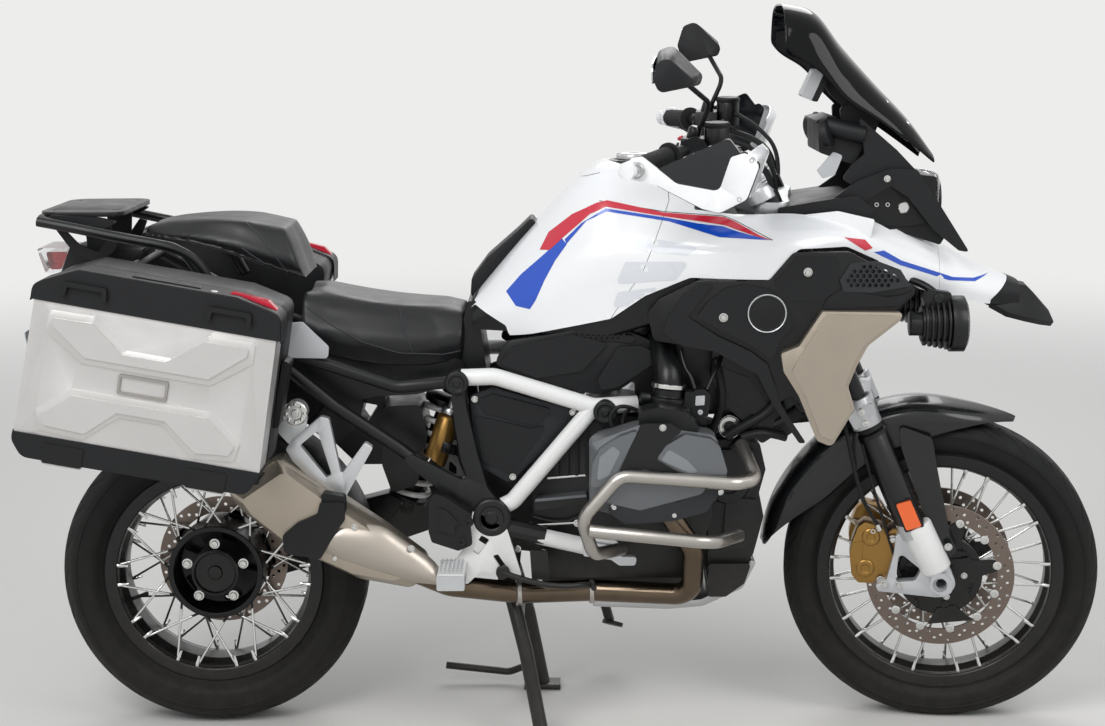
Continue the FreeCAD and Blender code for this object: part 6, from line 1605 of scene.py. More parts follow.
@dataclass
class Fork:
    """Clamps, reflectors, hoses and bolts on the fork, drawn with the bars straight."""

    leg_y: float = 105.0
    outer_y: float = -130.0

    def build(self) -> None:
        """Makes the fork's trim on both legs."""
        reflector = Piece("fork_reflectors", Body.STEERING, AMBER_LENS, 1.2)
        reflector.plate([(697, 498, 4), (726, 508, 4), (750, 454, 4), (720, 443, 4)], -136, 6, both=True)
        reflector.add()
        holder = Piece("reflector_holders", Body.STEERING, GRAINED_ABS, 1.2)
        holder.plate([(692, 500, 5), (728, 513, 5), (756, 452, 5), (718, 437, 5)], -131.5, 5, both=True)
        holder.add()
        bolts = Piece("fork_bolts", Body.STEERING, POLISHED_STEEL, 0)
        bolts.bolts([(622, -136, 692), (632, -136, 668)], (-0.2, -1, 0), 6, both=True)
        bolts.bolts([(807, -110, 402), (708, -118, 318), (680, -118, 320)], OUTWARD, 6, both=True)
        bolts.add()
        clamp = Piece("lower_clamp_lugs", Body.STEERING, CAST_SILVER, 3)
        clamp.plate([(596, 676, 6), (618, 704, 8), (646, 708, 8), (652, 690, 6), (612, 650, 6)], -128, 14, both=True)
        clamp.plate([(774, 350, 8), (800, 352, 8), (816, 336, 8), (816, 312, 8), (796, 302, 8), (770, 318, 8)], -132, 6,
                    [circle(791, 327, 15)], both=True)
        clamp.add()
        seal = Piece("fork_dust_seals", Body.STEERING, RUBBER, 0)
        lean = Vector((-math.sin(math.radians(STEER.rake)), 0, math.cos(math.radians(STEER.rake))))
        top = Vector((795 - 110, 0, 0))
        for z, r in ((634, 30), (646, 27)):
            foot = Vector((self.line_x(z), -self.leg_y, z))
            seal.turned([(21.5, 0), (r, 1), (r, 9), (21.5, 12)], foot, lean, both=True)
        seal.add()
        cap = Piece("fork_caps", Body.STEERING, BRUSHED_ALUMINIUM, 0.6)
        cap.turned([(22, -4), (22, 2), (18, 5), (12, 5), (11, 9), (4, 10)], (self.line_x(1134), -self.leg_y, 1134),
                   lean, both=True)
        cap.add()
        sleeve = Piece("lower_sliders", Body.STEERING, WHITE_POWDER, 0.8)
        foot = Vector((self.line_x(352), -self.leg_y, 352))
        sleeve.turned([(27, -4), (31, 0), (32, 3), (32, 100), (31, 104), (29, 106)], foot, lean, both=True, steps=48)
        sleeve.add()
        self.mudguard()
        self.hoses()
        self.calipers()

    def line_x(self, z: float) -> float:
        """Where a fork tube's middle is at a height."""
        return 397.5 + (1132.0 - z) * math.tan(math.radians(STEER.rake)) + 12.0

    def mudguard(self) -> None:
        """A carbon mudguard over the tyre, pointed at both ends, on its two legs."""
        stations = ((66, 358, 356, 5), (70, 358, 348, 24), (76, 358, 334, 48), (84, 360, 318, 64), (92, 366, 304, 71),
                    (102, 374, 292, 72), (116, 379, 286, 72), (130, 378, 281, 72), (145, 378, 286, 72),
                    (155, 379, 310, 72),
                    (163, 378, 338, 68), (169, 377, 360, 58), (173, 376, 373, 34))
        rows = []
        for k in range(73):
            turn = 66 + 107 * k / 72
            crown, skirt, wide = smooth_between(stations, turn)
            half = [(wide, skirt), (wide + 1, skirt + (crown - 20 - skirt) * 0.5),
                    (wide * 0.98, max(skirt, crown - 20)),
                    (wide * 0.84, max(skirt, crown - 9)), (wide * 0.5, crown - 2), (wide * 0.2, crown)]
            a = math.radians(turn)
            ring = [(-y, r) for y, r in half] + [(0, crown + 3)] + [(y, r) for y, r in reversed(half)]
            rows.append([(FRONT_AXLE.x + r * math.cos(a), y, FRONT_AXLE.z + r * math.sin(a)) for y, r in ring])
        arch = Piece("mudguard_arch", Body.STEERING, CARBON, 0, 60)
        arch.rows(rows, False)
        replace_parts(arch.add(2.6, 1), "front_mudguard")
        legs = Piece("mudguard_legs", Body.STEERING, CARBON, 2.2, 40)
        legs.plate([(700, 652, 10), (768, 628, 16), (780, 565, 20), (811, 421, 10), (827, 388, 12), (803, 362, 12),
                    (786, 405, 20),
                    (752, 477, 30), (706, 606, 20)], -88, 7, both=True)
        legs.plate([(704, 644, 8), (762, 622, 8), (770, 588, 8), (716, 600, 8)], -80, 18, both=True)
        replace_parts(legs.add(), "front_mudguard")

    def hoses(self) -> None:
        """The front brake hoses and the wheel-speed lead."""
        hose = Piece("front_brake_hoses", Body.STEERING, RUBBER, 0)
        hose.pipe([(668, -104, 436), (640, -112, 476), (618, -126, 540), (604, -130, 600), (590, -122, 660),
                   (580, -100, 700)],
                  4.2, both=True)
        hose.pipe([(712, -92, 330), (690, -96, 400), (672, -112, 460), (650, -122, 530), (626, -124, 620)], 3,
                  both=False)
        hose.add()
        ends = Piece("hose_ends", Body.STEERING, POLISHED_STEEL, 0)
        ends.turned([(5, 0), (6.5, 2), (6.5, 12), (5, 16)], (668, -104, 430), (-0.4, -0.1, 1), both=True, steps=12)
        ends.add()

    def calipers(self) -> None:
        """Piston covers, the bridge and its bolts on each caliper."""
        body = Piece("caliper_covers", Body.STEERING, GOLD_ANODISED, 2.2, 30)
        body.plate([(630, 440, 8), (676, 430, 8), (690, 402, 8), (686, 368, 8), (672, 336, 8), (652, 318, 8),
                    (630, 320, 8),
                    (618, 372, 10)], -84, 12, [[(640, 396, 6), (668, 392, 6), (664, 352, 6), (640, 350, 6)]], both=True)
        for x, z in ((636, 412), (626, 344)):
            body.turned([(19, 0), (19, 5), (16, 7), (9, 7), (8, 5), (0.1, 5)], (x + 14, -89, z), OUTWARD, both=True)
        body.plate([(612, 398, 6), (634, 404, 6), (632, 350, 6), (610, 352, 6)], -90, 8, both=True)
        body.add()
        pads = Piece("caliper_pins", Body.STEERING, POLISHED_STEEL, 0)
        pads.bolts([(694, -100, 412), (672, -98, 322), (654, -91, 426)], OUTWARD, 6, both=True)
        pads.pipe([(654, -84, 392), (654, -84, 352)], 3, both=True, smooth=False)
        pads.add()


@dataclass
class Cockpit:
    """Levers, switches, mirrors' glass, cables and the top clamp."""

    def build(self) -> None:
        """Makes everything around the bars."""
        self.levers()
        self.switches()
        self.guards()
        self.clamps()
        self.cables()

    def levers(self) -> None:
        """Folded brake and clutch levers."""
        lever = Piece("hand_levers", Body.STEERING, BLACK_ANODISED, 1.2)
        lever.pipe([(322, -228, 1232), (334, -262, 1228), (318, -318, 1218), (282, -372, 1208), (252, -408, 1206)],
                   5.5, both=True)
        lever.turned([(13, -9), (14, -7), (14, 7), (13, 9)], (322, -230, 1232), UPWARD, both=True)
        lever.add()
        ends = Piece("lever_ball_ends", Body.STEERING, BLACK_ANODISED, 0)
        ends.turned([(0.1, -8), (5, -6.5), (8, -2), (8, 2), (5, 6.5), (0.1, 8)], (250, -410, 1206), OUTWARD,
                    both=True, steps=16)
        ends.add()
        cups = Piece("reservoir_lids", Body.STEERING, GRAINED_ABS, 1.0)
        cups.turned([(25, -2), (26, 0), (26, 5), (23, 8), (10, 8.6), (0.1, 8.6)], (330, -240, 1278), UPWARD, both=True)
        cups.add()
        sight = Piece("reservoir_windows", Body.STEERING, CLEAR_LENS, 0)
        sight.turned([(7, 0), (7, 2.4), (5, 3)], (306, -240, 1250), (-1, 0, 0), both=True, steps=16)
        sight.add()

    def switches(self) -> None:
        """Moulded switch cubes with their buttons."""
        cube = Piece("switch_housings", Body.STEERING, GRAINED_ABS, 4)
        cube.plate([(256, 1202, 8), (262, 1250, 10), (292, 1262, 10), (314, 1246, 8), (312, 1206, 8), (284, 1192, 8)],
                   -252, 30, both=True)
        cube.plate([(262, 1206, 8), (268, 1244, 8), (300, 1250, 8), (308, 1212, 8)], -226, 24, both=True)
        cube.add()
        keys = Piece("switch_buttons", Body.STEERING, CHARCOAL_ABS, 1)
        for y, z in ((-246, 1242), (-258, 1242), (-246, 1228), (-258, 1226), (-252, 1212)):
            keys.turned([(4.6, 0), (4.6, 4), (3.6, 5), (0.1, 5)], (258, y, z), (-1, 0, 0.15), both=True, steps=10)
        keys.add()
        red = Piece("stop_switch", Body.STEERING, RED_ENAMEL, 0.8)
        red.turned([(5, 0), (6, 2), (6, 6), (4, 7), (0.1, 7)], (262, -240, 1252), (-0.6, 0, 0.8), steps=12)
        red.add()
        ribs = Piece("grip_ribs", Body.STEERING, RUBBER, 0)
        start, end = Vector((188, -425, 1220)), Vector((286, -232, 1238))
        way = (end - start).normalized()
        for k in range(13):
            ribs.turned([(17.2, 0), (18.6, 1), (18.6, 3.4), (17.2, 4.4)], start + way * (14 + 8.2 * k), way,
                        both=True, steps=20)
        ribs.turned([(17, 0), (25, 1), (25, 5), (17, 7)], start + way * 122, way, both=True, steps=28)
        ribs.add()
        ends = Piece("bar_end_caps", Body.STEERING, BRUSHED_ALUMINIUM, 0.6)
        ends.turned([(15, -8), (15, 0), (13, 2), (10, 2), (9.4, 0.4), (5, 0.4), (4.4, 1.6), (0.1, 1.6)],
                    (193, -446, 1219),
                    (0, -1, 0), both=True)
        ends.add()

    def guards(self) -> None:
        """Dark deflectors over the hand guards, and the mirrors' glass."""
        dark = Piece("guard_deflectors", Body.STEERING, SMOKED_PLATE, 2)
        dark.plate([(226, 1218, 6), (303, 1252, 20), (362, 1278, 10), (386, 1247, 8), (370, 1196, 8), (352, 1180, 10),
                    (301, 1175, 14), (250, 1195, 10)], -424.5, 13, both=True)
        dark.plate([(176, 1222, 8), (184, 1240, 8), (232, 1220, 12), (266, 1192, 12), (345, 1178, 12), (368, 1246, 8),
                    (392, 1254, 8), (421, 1230, 8), (398, 1164, 8), (346, 1138, 10), (312, 1146, 10),
                    (230, 1188, 12)], -423.6, 4,
                   both=True)
        dark.add()
        glass = Piece("mirror_glass", Body.STEERING, MIRROR_GLASS, 0.8)
        face = Matrix(((0, 0, -1, 222), (1, 0, 0, 0), (0, 1, 0, 0), (0, 0, 0, 1)))
        glass.flat([(-352, 1376, 12), (-350, 1408, 14), (-362, 1422, 12), (-440, 1414, 16), (-450, 1394, 14),
                    (-436, 1376, 12)],
                   face, 2.4, both=True)
        glass.add()
        rim = Piece("mirror_clamps", Body.STEERING, SMOOTH_ABS, 1.5)
        rim.turned([(10, -14), (13, -8), (13, 10), (9, 16)], (286, -238, 1262), (0.3, -0.1, 1), both=True, steps=20)
        rim.add()
        bolts = Piece("guard_bolts", Body.STEERING, POLISHED_STEEL, 0)
        bolts.bolts([(404, -431, 1238), (382, -431, 1166)], OUTWARD, 5, both=True)
        bolts.add()

    def clamps(self) -> None:
        """The upper yoke's silver risers, bolts and steering lock."""
        riser = Piece("bar_risers", Body.STEERING, CAST_SILVER, 3)
        riser.plate([(322, 1114, 6), (320, 1160, 10), (326, 1196, 10), (350, 1204, 10), (372, 1190, 8), (374, 1150, 10),
                     (384, 1114, 6)], -48, 34, both=True)
        riser.plate([(392, 1114, 8), (388, 1136, 8), (404, 1148, 10), (430, 1146, 10), (440, 1128, 8),
                     (432, 1112, 6)], -104, 40,
                    both=True)
        riser.turned([(32, -8), (32, 18), (28, 24), (24, 26), (23, 30), (14, 30), (13, 26)], (Fork().line_x(1122),
                                                                                              -105, 1122),
                     (-math.sin(math.radians(STEER.rake)), 0, math.cos(math.radians(STEER.rake))), both=True)
        riser.add()
        lock = Piece("steering_lock", Body.STEERING, BRUSHED_ALUMINIUM, 0.8)
        lock.turned([(22, 0), (22, 20), (19, 23), (8, 23), (7, 20), (0.1, 20)], (404, 0, 1112), (-0.2, 0, 1))
        lock.turned([(27, -6), (27, 2), (22, 5), (12, 5), (11, 8), (0.1, 8)], (362, 0, 1116), (-0.43, 0, 0.9))
        lock.bolts([(334, -48, 1204), (360, -48, 1203)], (-0.05, 0, 1), 5.5, both=True)
        lock.add()

    def cables(self) -> None:
        """Leads and brake hoses from the switches down behind the screen."""
        leads = Piece("bar_leads", Body.STEERING, RUBBER, 0)
        leads.pipe([(312, -244, 1222), (348, -220, 1212), (392, -172, 1204), (430, -134, 1176), (436, -108, 1134)],
                   6.5, both=True)
        leads.pipe([(322, -240, 1262), (352, -224, 1250), (396, -182, 1230), (444, -136, 1184), (442, -104, 1134)],
                   4.6, both=True)
        leads.pipe([(300, -226, 1208), (330, -196, 1190), (358, -156, 1168), (388, -116, 1142)], 4, both=True)
        leads.add()


@dataclass
class Nose:
    """The smoked screen, dash, lamps and black panels ahead of the bars."""

    stations: tuple[tuple[float, ...], ...] = (
        (420, 1492, 84, 1490, 124, 1470, 136, 1446), (455, 1492, 86, 1486, 128, 1448, 140, 1398),
        (509, 1475, 88, 1464, 131, 1418, 144, 1362), (560, 1412, 88, 1400, 132, 1354, 146, 1308),
        (630, 1335, 84, 1325, 122, 1292, 132, 1264), (700, 1262, 78, 1254, 108, 1232, 116, 1216),
        (748, 1196, 62, 1193, 84, 1186, 90, 1180))

    def build(self) -> None:
        """Makes the whole nose."""
        self.screen()
        self.dash()
        self.headlamp()
        self.shrouds()
        self.aux_lamps()

    def screen(self) -> None:
        """One smooth folded sheet of smoked polycarbonate, and its bracket."""
        rows = []
        for k in range(57):
            x = 440 + 308 * k / 56
            top, edge_y, edge_z, bend_y, bend_z, rim_y, rim_z = smooth_between(self.stations, x)
            half = [(rim_y, rim_z), (rim_y - 2, (rim_z * 2 + bend_z) / 3), (bend_y + 4, (rim_z + bend_z * 3) / 4),
                    (bend_y, bend_z), ((bend_y * 2 + edge_y) / 3, (bend_z + edge_z * 2) / 3 + 1), (edge_y, edge_z),
                    (edge_y * 0.66, (edge_z + top) / 2 + 3), (edge_y * 0.33, top + 0.5)]
            rows.append([(x, -y, z) for y, z in half] + [(x, 0, top + 0.8)] + [(x, y, z) for y, z in reversed(half)])
        screen = Piece("smoked_screen", Body.CHASSIS, SMOKED_SCREEN, 0, 60)
        made = screen.rows(rows, False).add(5.0, 1)
        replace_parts(made, "windscreen")
        mount = Piece("screen_mount", Body.CHASSIS, GRAINED_ABS, 2)
        mount.plate([(560, 1290, 10), (594, 1306, 10), (640, 1262, 8), (628, 1232, 8), (596, 1214, 8),
                     (566, 1222, 8)], -62, 12, both=True)
        mount.plate([(512, 1360, 8), (546, 1356, 8), (592, 1302, 8), (578, 1280, 8), (540, 1316, 8)], -58, 8, both=True)
        mount.turned([(26, -8), (29, -6), (29, 6), (26, 8), (12, 10)], (528, -112, 1240), (0.9, -0.4, 0.2), both=True,
                     steps=28)
        mount.turned([(17, -70), (19, -66), (19, 10), (16, 14), (0.1, 14)], (592, -108, 1240), (1, -0.1, -0.25),
                     both=True, steps=28)
        mount.turned([(10, 0), (10, 130)], (600, -65, 1222), (0, 1, 0), steps=16)
        mount.add()
        bolts = Piece("screen_bolts", Body.CHASSIS, POLISHED_STEEL, 0)
        bolts.bolts([(648, -92, 1300), (690, -92, 1258)], (0.72, -0.2, 0.66), 5, both=True)
        bolts.add()
        box = Piece("toll_box", Body.CHASSIS, GREY_ABS, 4)
        box.plate([(478, 1314, 6), (500, 1305, 4), (524, 1360, 4), (504, 1369, 6)], -62, 56)
        box.add()
        back = Piece("toll_box_pad", Body.CHASSIS, SMOOTH_ABS, 2)
        back.plate([(500, 1304, 4), (512, 1302, 4), (536, 1352, 4), (526, 1362, 4)], -62, 50)
        back.add()

    def dash(self) -> None:
        """The display in its hooded housing."""
        housing = Piece("dash_housing", Body.CHASSIS, GRAINED_ABS, 4)
        housing.plate([(514, 1262, 6), (548, 1268, 8), (608, 1226, 8), (586, 1177, 8), (516, 1202, 8)], 0, 190)
        housing.plate([(508, 1266, 4), (548, 1274, 6), (550, 1268, 4), (510, 1259, 3)], 0, 198)
        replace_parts(housing.add(), "instrument")
        face = Matrix(((0, 0.05, -1, 509.5), (1, 0, 0, 0), (0, 1, 0, 0), (0, 0, 0, 1)))
        glass = Piece("dash_glass", Body.CHASSIS, DISPLAY_GLASS, 0.8)
        glass.flat([(-84, 1208, 8), (-84, 1256, 8), (84, 1256, 8), (84, 1208, 8)], face, 3)
        glass.add()
        lower = Piece("dash_lower_panel", Body.CHASSIS, GREY_ABS, 3)
        lower.plate([(512, 1166, 4), (524, 1150, 4), (548, 1158, 4), (563, 1196, 6), (544, 1204, 6)], -96, 8)
        lower.add()
        base = Piece("nose_base", Body.CHASSIS, GRAINED_ABS, 4)
        base.plate([(430, 1096, 6), (500, 1108, 10), (586, 1120, 10), (622, 1092, 8), (600, 1058, 6), (430, 1062, 6)],
                   0, 296)
        base.add()

    def headlamp(self) -> None:
        """A black housing with two round lamps, a light strip and a clear lens."""
        housing = Piece("headlamp_housing", Body.CHASSIS, SMOOTH_ABS, 3)
        outline = [(606, 1058, 10), (612, 1148, 14), (690, 1160, 10), (752, 1154, 8), (744, 1062, 8), (690, 1054, 10)]
        housing.plate(outline, 0, 206)
        for y in (-46, 46):
            housing.turned([(44, -10), (44, 18), (40, 20), (38, 6)], (746, y, 1104), FORWARD, steps=40)
        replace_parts(housing.add(), "headlight")
        bowls = Piece("headlamp_bowls", Body.CHASSIS, POLISHED_STEEL, 0)
        for y in (-46, 46):
            bowls.turned([(36, 14), (30, 6), (18, 1), (12, 0), (12, 8), (0.1, 10)], (744, y, 1104), FORWARD, steps=36)
        bowls.add()
        strip = Piece("running_light", Body.CHASSIS, LAMP_WHITE, 1)
        strip.pipe([(752, -88, 1148), (760, -40, 1152), (762, 0, 1136), (760, 40, 1152), (752, 88, 1148)], 3)
        strip.add()
        lens = Piece("headlamp_lens", Body.CHASSIS, CLEAR_LENS, 0, 60)
        rows = []
        for k in range(13):
            y = -104 + 208 * k / 12
            bulge = 1 - (y / 112) ** 2
            rows.append([(742 + 26 * bulge ** 0.5 * s, y, z) for z, s in (
                (1055, 0.9), (1064, 1.0), (1090, 1.1), (1120, 1.1), (1146, 1.0), (1155, 0.85))])
        lens.rows(rows, False)
        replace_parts(lens.add(3.0, 1), "headlight")

    def shrouds(self) -> None:
        """Black panels between the screen, the dash and the beak, with the cowls' trim."""
        side = Piece("nose_shrouds", Body.CHASSIS, GRAINED_ABS, 2.5)
        side.plate([(590, 1276, 8), (612, 1256, 8), (668, 1208, 8), (716, 1158, 8), (742, 1104, 8), (700, 1100, 8),
                    (640, 1150, 10), (584, 1136, 8), (560, 1150, 8), (580, 1180, 8), (604, 1200, 8), (598, 1240, 8)],
                    -112, 8, both=True)
        side.plate([(514, 1094, 6), (588, 1147, 12), (654, 1172, 10), (707, 1170, 10), (750, 1106, 10),
                    (816, 1004, 5), (794, 1008, 5),
                    (742, 1050, 8), (690, 1115, 10), (654, 1138, 10), (610, 1112, 10), (572, 1078, 6)], -126, 9,
                    both=True)
        side.plate([(610, 1058, 6), (618, 1140, 8), (700, 1120, 8), (776, 1040, 8), (762, 1016, 6), (700, 1036, 8)],
                   -96, 6, both=True)
        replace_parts(side.add(), "nose_frame")
        edge = Piece("shoulder_top_edges", Body.CHASSIS, WHITE_ENAMEL, 1.2)
        edge.plate([(482, 1084, 4), (547, 1091, 10), (620, 1074, 4), (612, 1036, 8), (484, 1050, 8)], -160, 4,
                   both=True)
        edge.add()
        small = Piece("nose_fasteners", Body.CHASSIS, POLISHED_STEEL, 0)
        small.bolts([(644, -154, 1154), (632, -100, 1098), (654, -100, 1098)], OUTWARD, 5, both=True)
        small.turned([(12, 0), (12, 4), (10, 6), (4, 6)], (686, -99, 1092), OUTWARD, both=True, steps=20)
        small.add()
        self.cowls()

    def cowls(self) -> None:
        """Facets, the plain disc, the vent mesh and screws on the cowls and wings."""
        face = Piece("cowl_facets", Body.CHASSIS, GRAINED_ABS, 5, 25)
        face.plate([(263, 893, 8), (287, 925, 10), (320, 950, 14), (354, 957, 10), (404, 948, 12), (440, 920, 14),
                    (450, 874, 12),
                    (428, 848, 12), (413, 808, 10), (379, 833, 10), (317, 864, 10)], -239, 16, both=True)
        face.plate([(208, 892, 8), (238, 938, 10), (271, 957, 8), (300, 958, 6), (272, 926, 8), (246, 893, 8),
                    (306, 854, 10),
                    (370, 824, 8), (404, 798, 10), (434, 712, 14), (482, 640, 6), (468, 640, 6), (416, 716, 14),
                    (384, 778, 12),
                    (300, 824, 10), (236, 836, 10), (198, 862, 10)], -237, 12, both=True)
        face.plate([(412, 958, 8), (458, 1012, 8), (540, 1010, 10), (538, 950, 6), (516, 926, 8), (452, 922, 8)],
                   -236, 10, both=True)
        face.plate([(520, 930, 6), (546, 946, 6), (634, 930, 6), (664, 934, 5), (690, 946, 6), (660, 914, 8),
                    (508, 908, 6)], -238, 10, both=True)
        face.add()
        disc = Piece("cowl_plain_discs", Body.CHASSIS, SMOOTH_ABS, 1)
        disc.turned([(37, 0), (37, 4), (34, 6), (31, 5), (29, 5.5), (0.1, 6.5)], (401, -245, 900), OUTWARD, both=True,
                    steps=48)
        disc.add()
        ring = Piece("cowl_disc_rings", Body.CHASSIS, CAST_SILVER, 0.5)
        ring.turned([(35, 4), (37.4, 5.4), (38.2, 4.6), (38.2, 2)], (401, -245.5, 900), OUTWARD, both=True, steps=48)
        ring.add()
        vent = Piece("cowl_mesh", Body.CHASSIS, CHARCOAL_ABS, 0)
        edge = [(547, 964), (566, 993), (614, 996), (655, 980), (672, 955), (604, 944), (553, 946)]
        cells = [circle(552 + 12 * i + 6 * (j % 2), 990 - 9 * j, 4.4, 6) for j in range(6) for i in range(12)]
        cells = [c for c in cells if all(inside(p, edge) for p in c)]
        vent.plate([(542, 964, 3), (563, 998, 4), (616, 1001, 4), (660, 984, 4), (680, 952, 4), (604, 939, 3),
                    (549, 942, 3)],
                   -242, 3, cells, both=True)
        vent.add()
        screws = Piece("cowl_screws", Body.CHASSIS, POLISHED_STEEL, 0)
        screws.bolts([(316, -247, 892), (480, -242.5, 980), (543, -260.5, 886), (473, -260.5, 803)], OUTWARD, 6.5,
                     both=True)
        screws.add()
        lip = Piece("wing_folds", Body.CHASSIS, CHAMPAGNE, 6, 25)
        lip.plate([(514, 900, 8), (654, 897, 8), (646, 886, 8), (588, 838, 20), (566, 796, 20), (552, 756, 14),
                   (566, 712, 10),
                   (532, 650, 10), (508, 660, 10), (476, 740, 20), (450, 790, 10), (470, 826, 10)], -262.5, 9,
                   both=True)
        lip.add()
        core = Piece("radiator_cores", Body.CHASSIS, CORE_FINS, 0.6)
        core.plate([(446, 708, 6), (478, 726, 6), (558, 894, 6), (526, 894, 6), (442, 742, 6)], -213.5, 3, both=True)
        core.add()
        duct = Piece("cowl_ducts", Body.CHASSIS, SMOOTH_ABS, 2)
        duct.plate([(300, 820, 8), (400, 770, 8), (436, 730, 8), (420, 640, 10), (396, 650, 10), (380, 720, 10),
                    (300, 780, 8)],
                   -176, 10, both=True)
        duct.add()

    def aux_lamps(self) -> None:
        """Clear lenses and stays of the round lamps below the beak."""
        lens = Piece("aux_lamp_lenses", Body.CHASSIS, CLEAR_LENS, 0, 60)
        lens.turned([(50, 0), (48, 4), (34, 7), (16, 8.5), (0.1, 9)], (800.5, -165, 866), FORWARD, both=True, steps=40)
        lens.add()
        inner = Piece("aux_lamp_bowls", Body.CHASSIS, POLISHED_STEEL, 0)
        inner.turned([(49, 0.4), (30, 1.4), (18, 2.2), (16, 1), (0.1, 1)], (800, -165, 866), FORWARD, both=True,
                     steps=40)
        inner.add()
        stay = Piece("aux_lamp_stays", Body.CHASSIS, BLACK_POWDER, 1.5)
        stay.plate([(716, 918, 6), (728, 936, 6), (772, 930, 6), (776, 908, 6), (752, 890, 6), (724, 892, 6)], -165,
                   26, both=True)
        stay.pipe([(700, -128, 948), (724, -146, 944), (744, -165, 926)], 8, both=True)
        stay.turned([(9, -18), (11, -16), (11, 16), (9, 18)], (748, -165, 918), (0, 1, 0), both=True, steps=20)
        stay.add()


# ---------------------------------------------------------------- cases, rack and tail

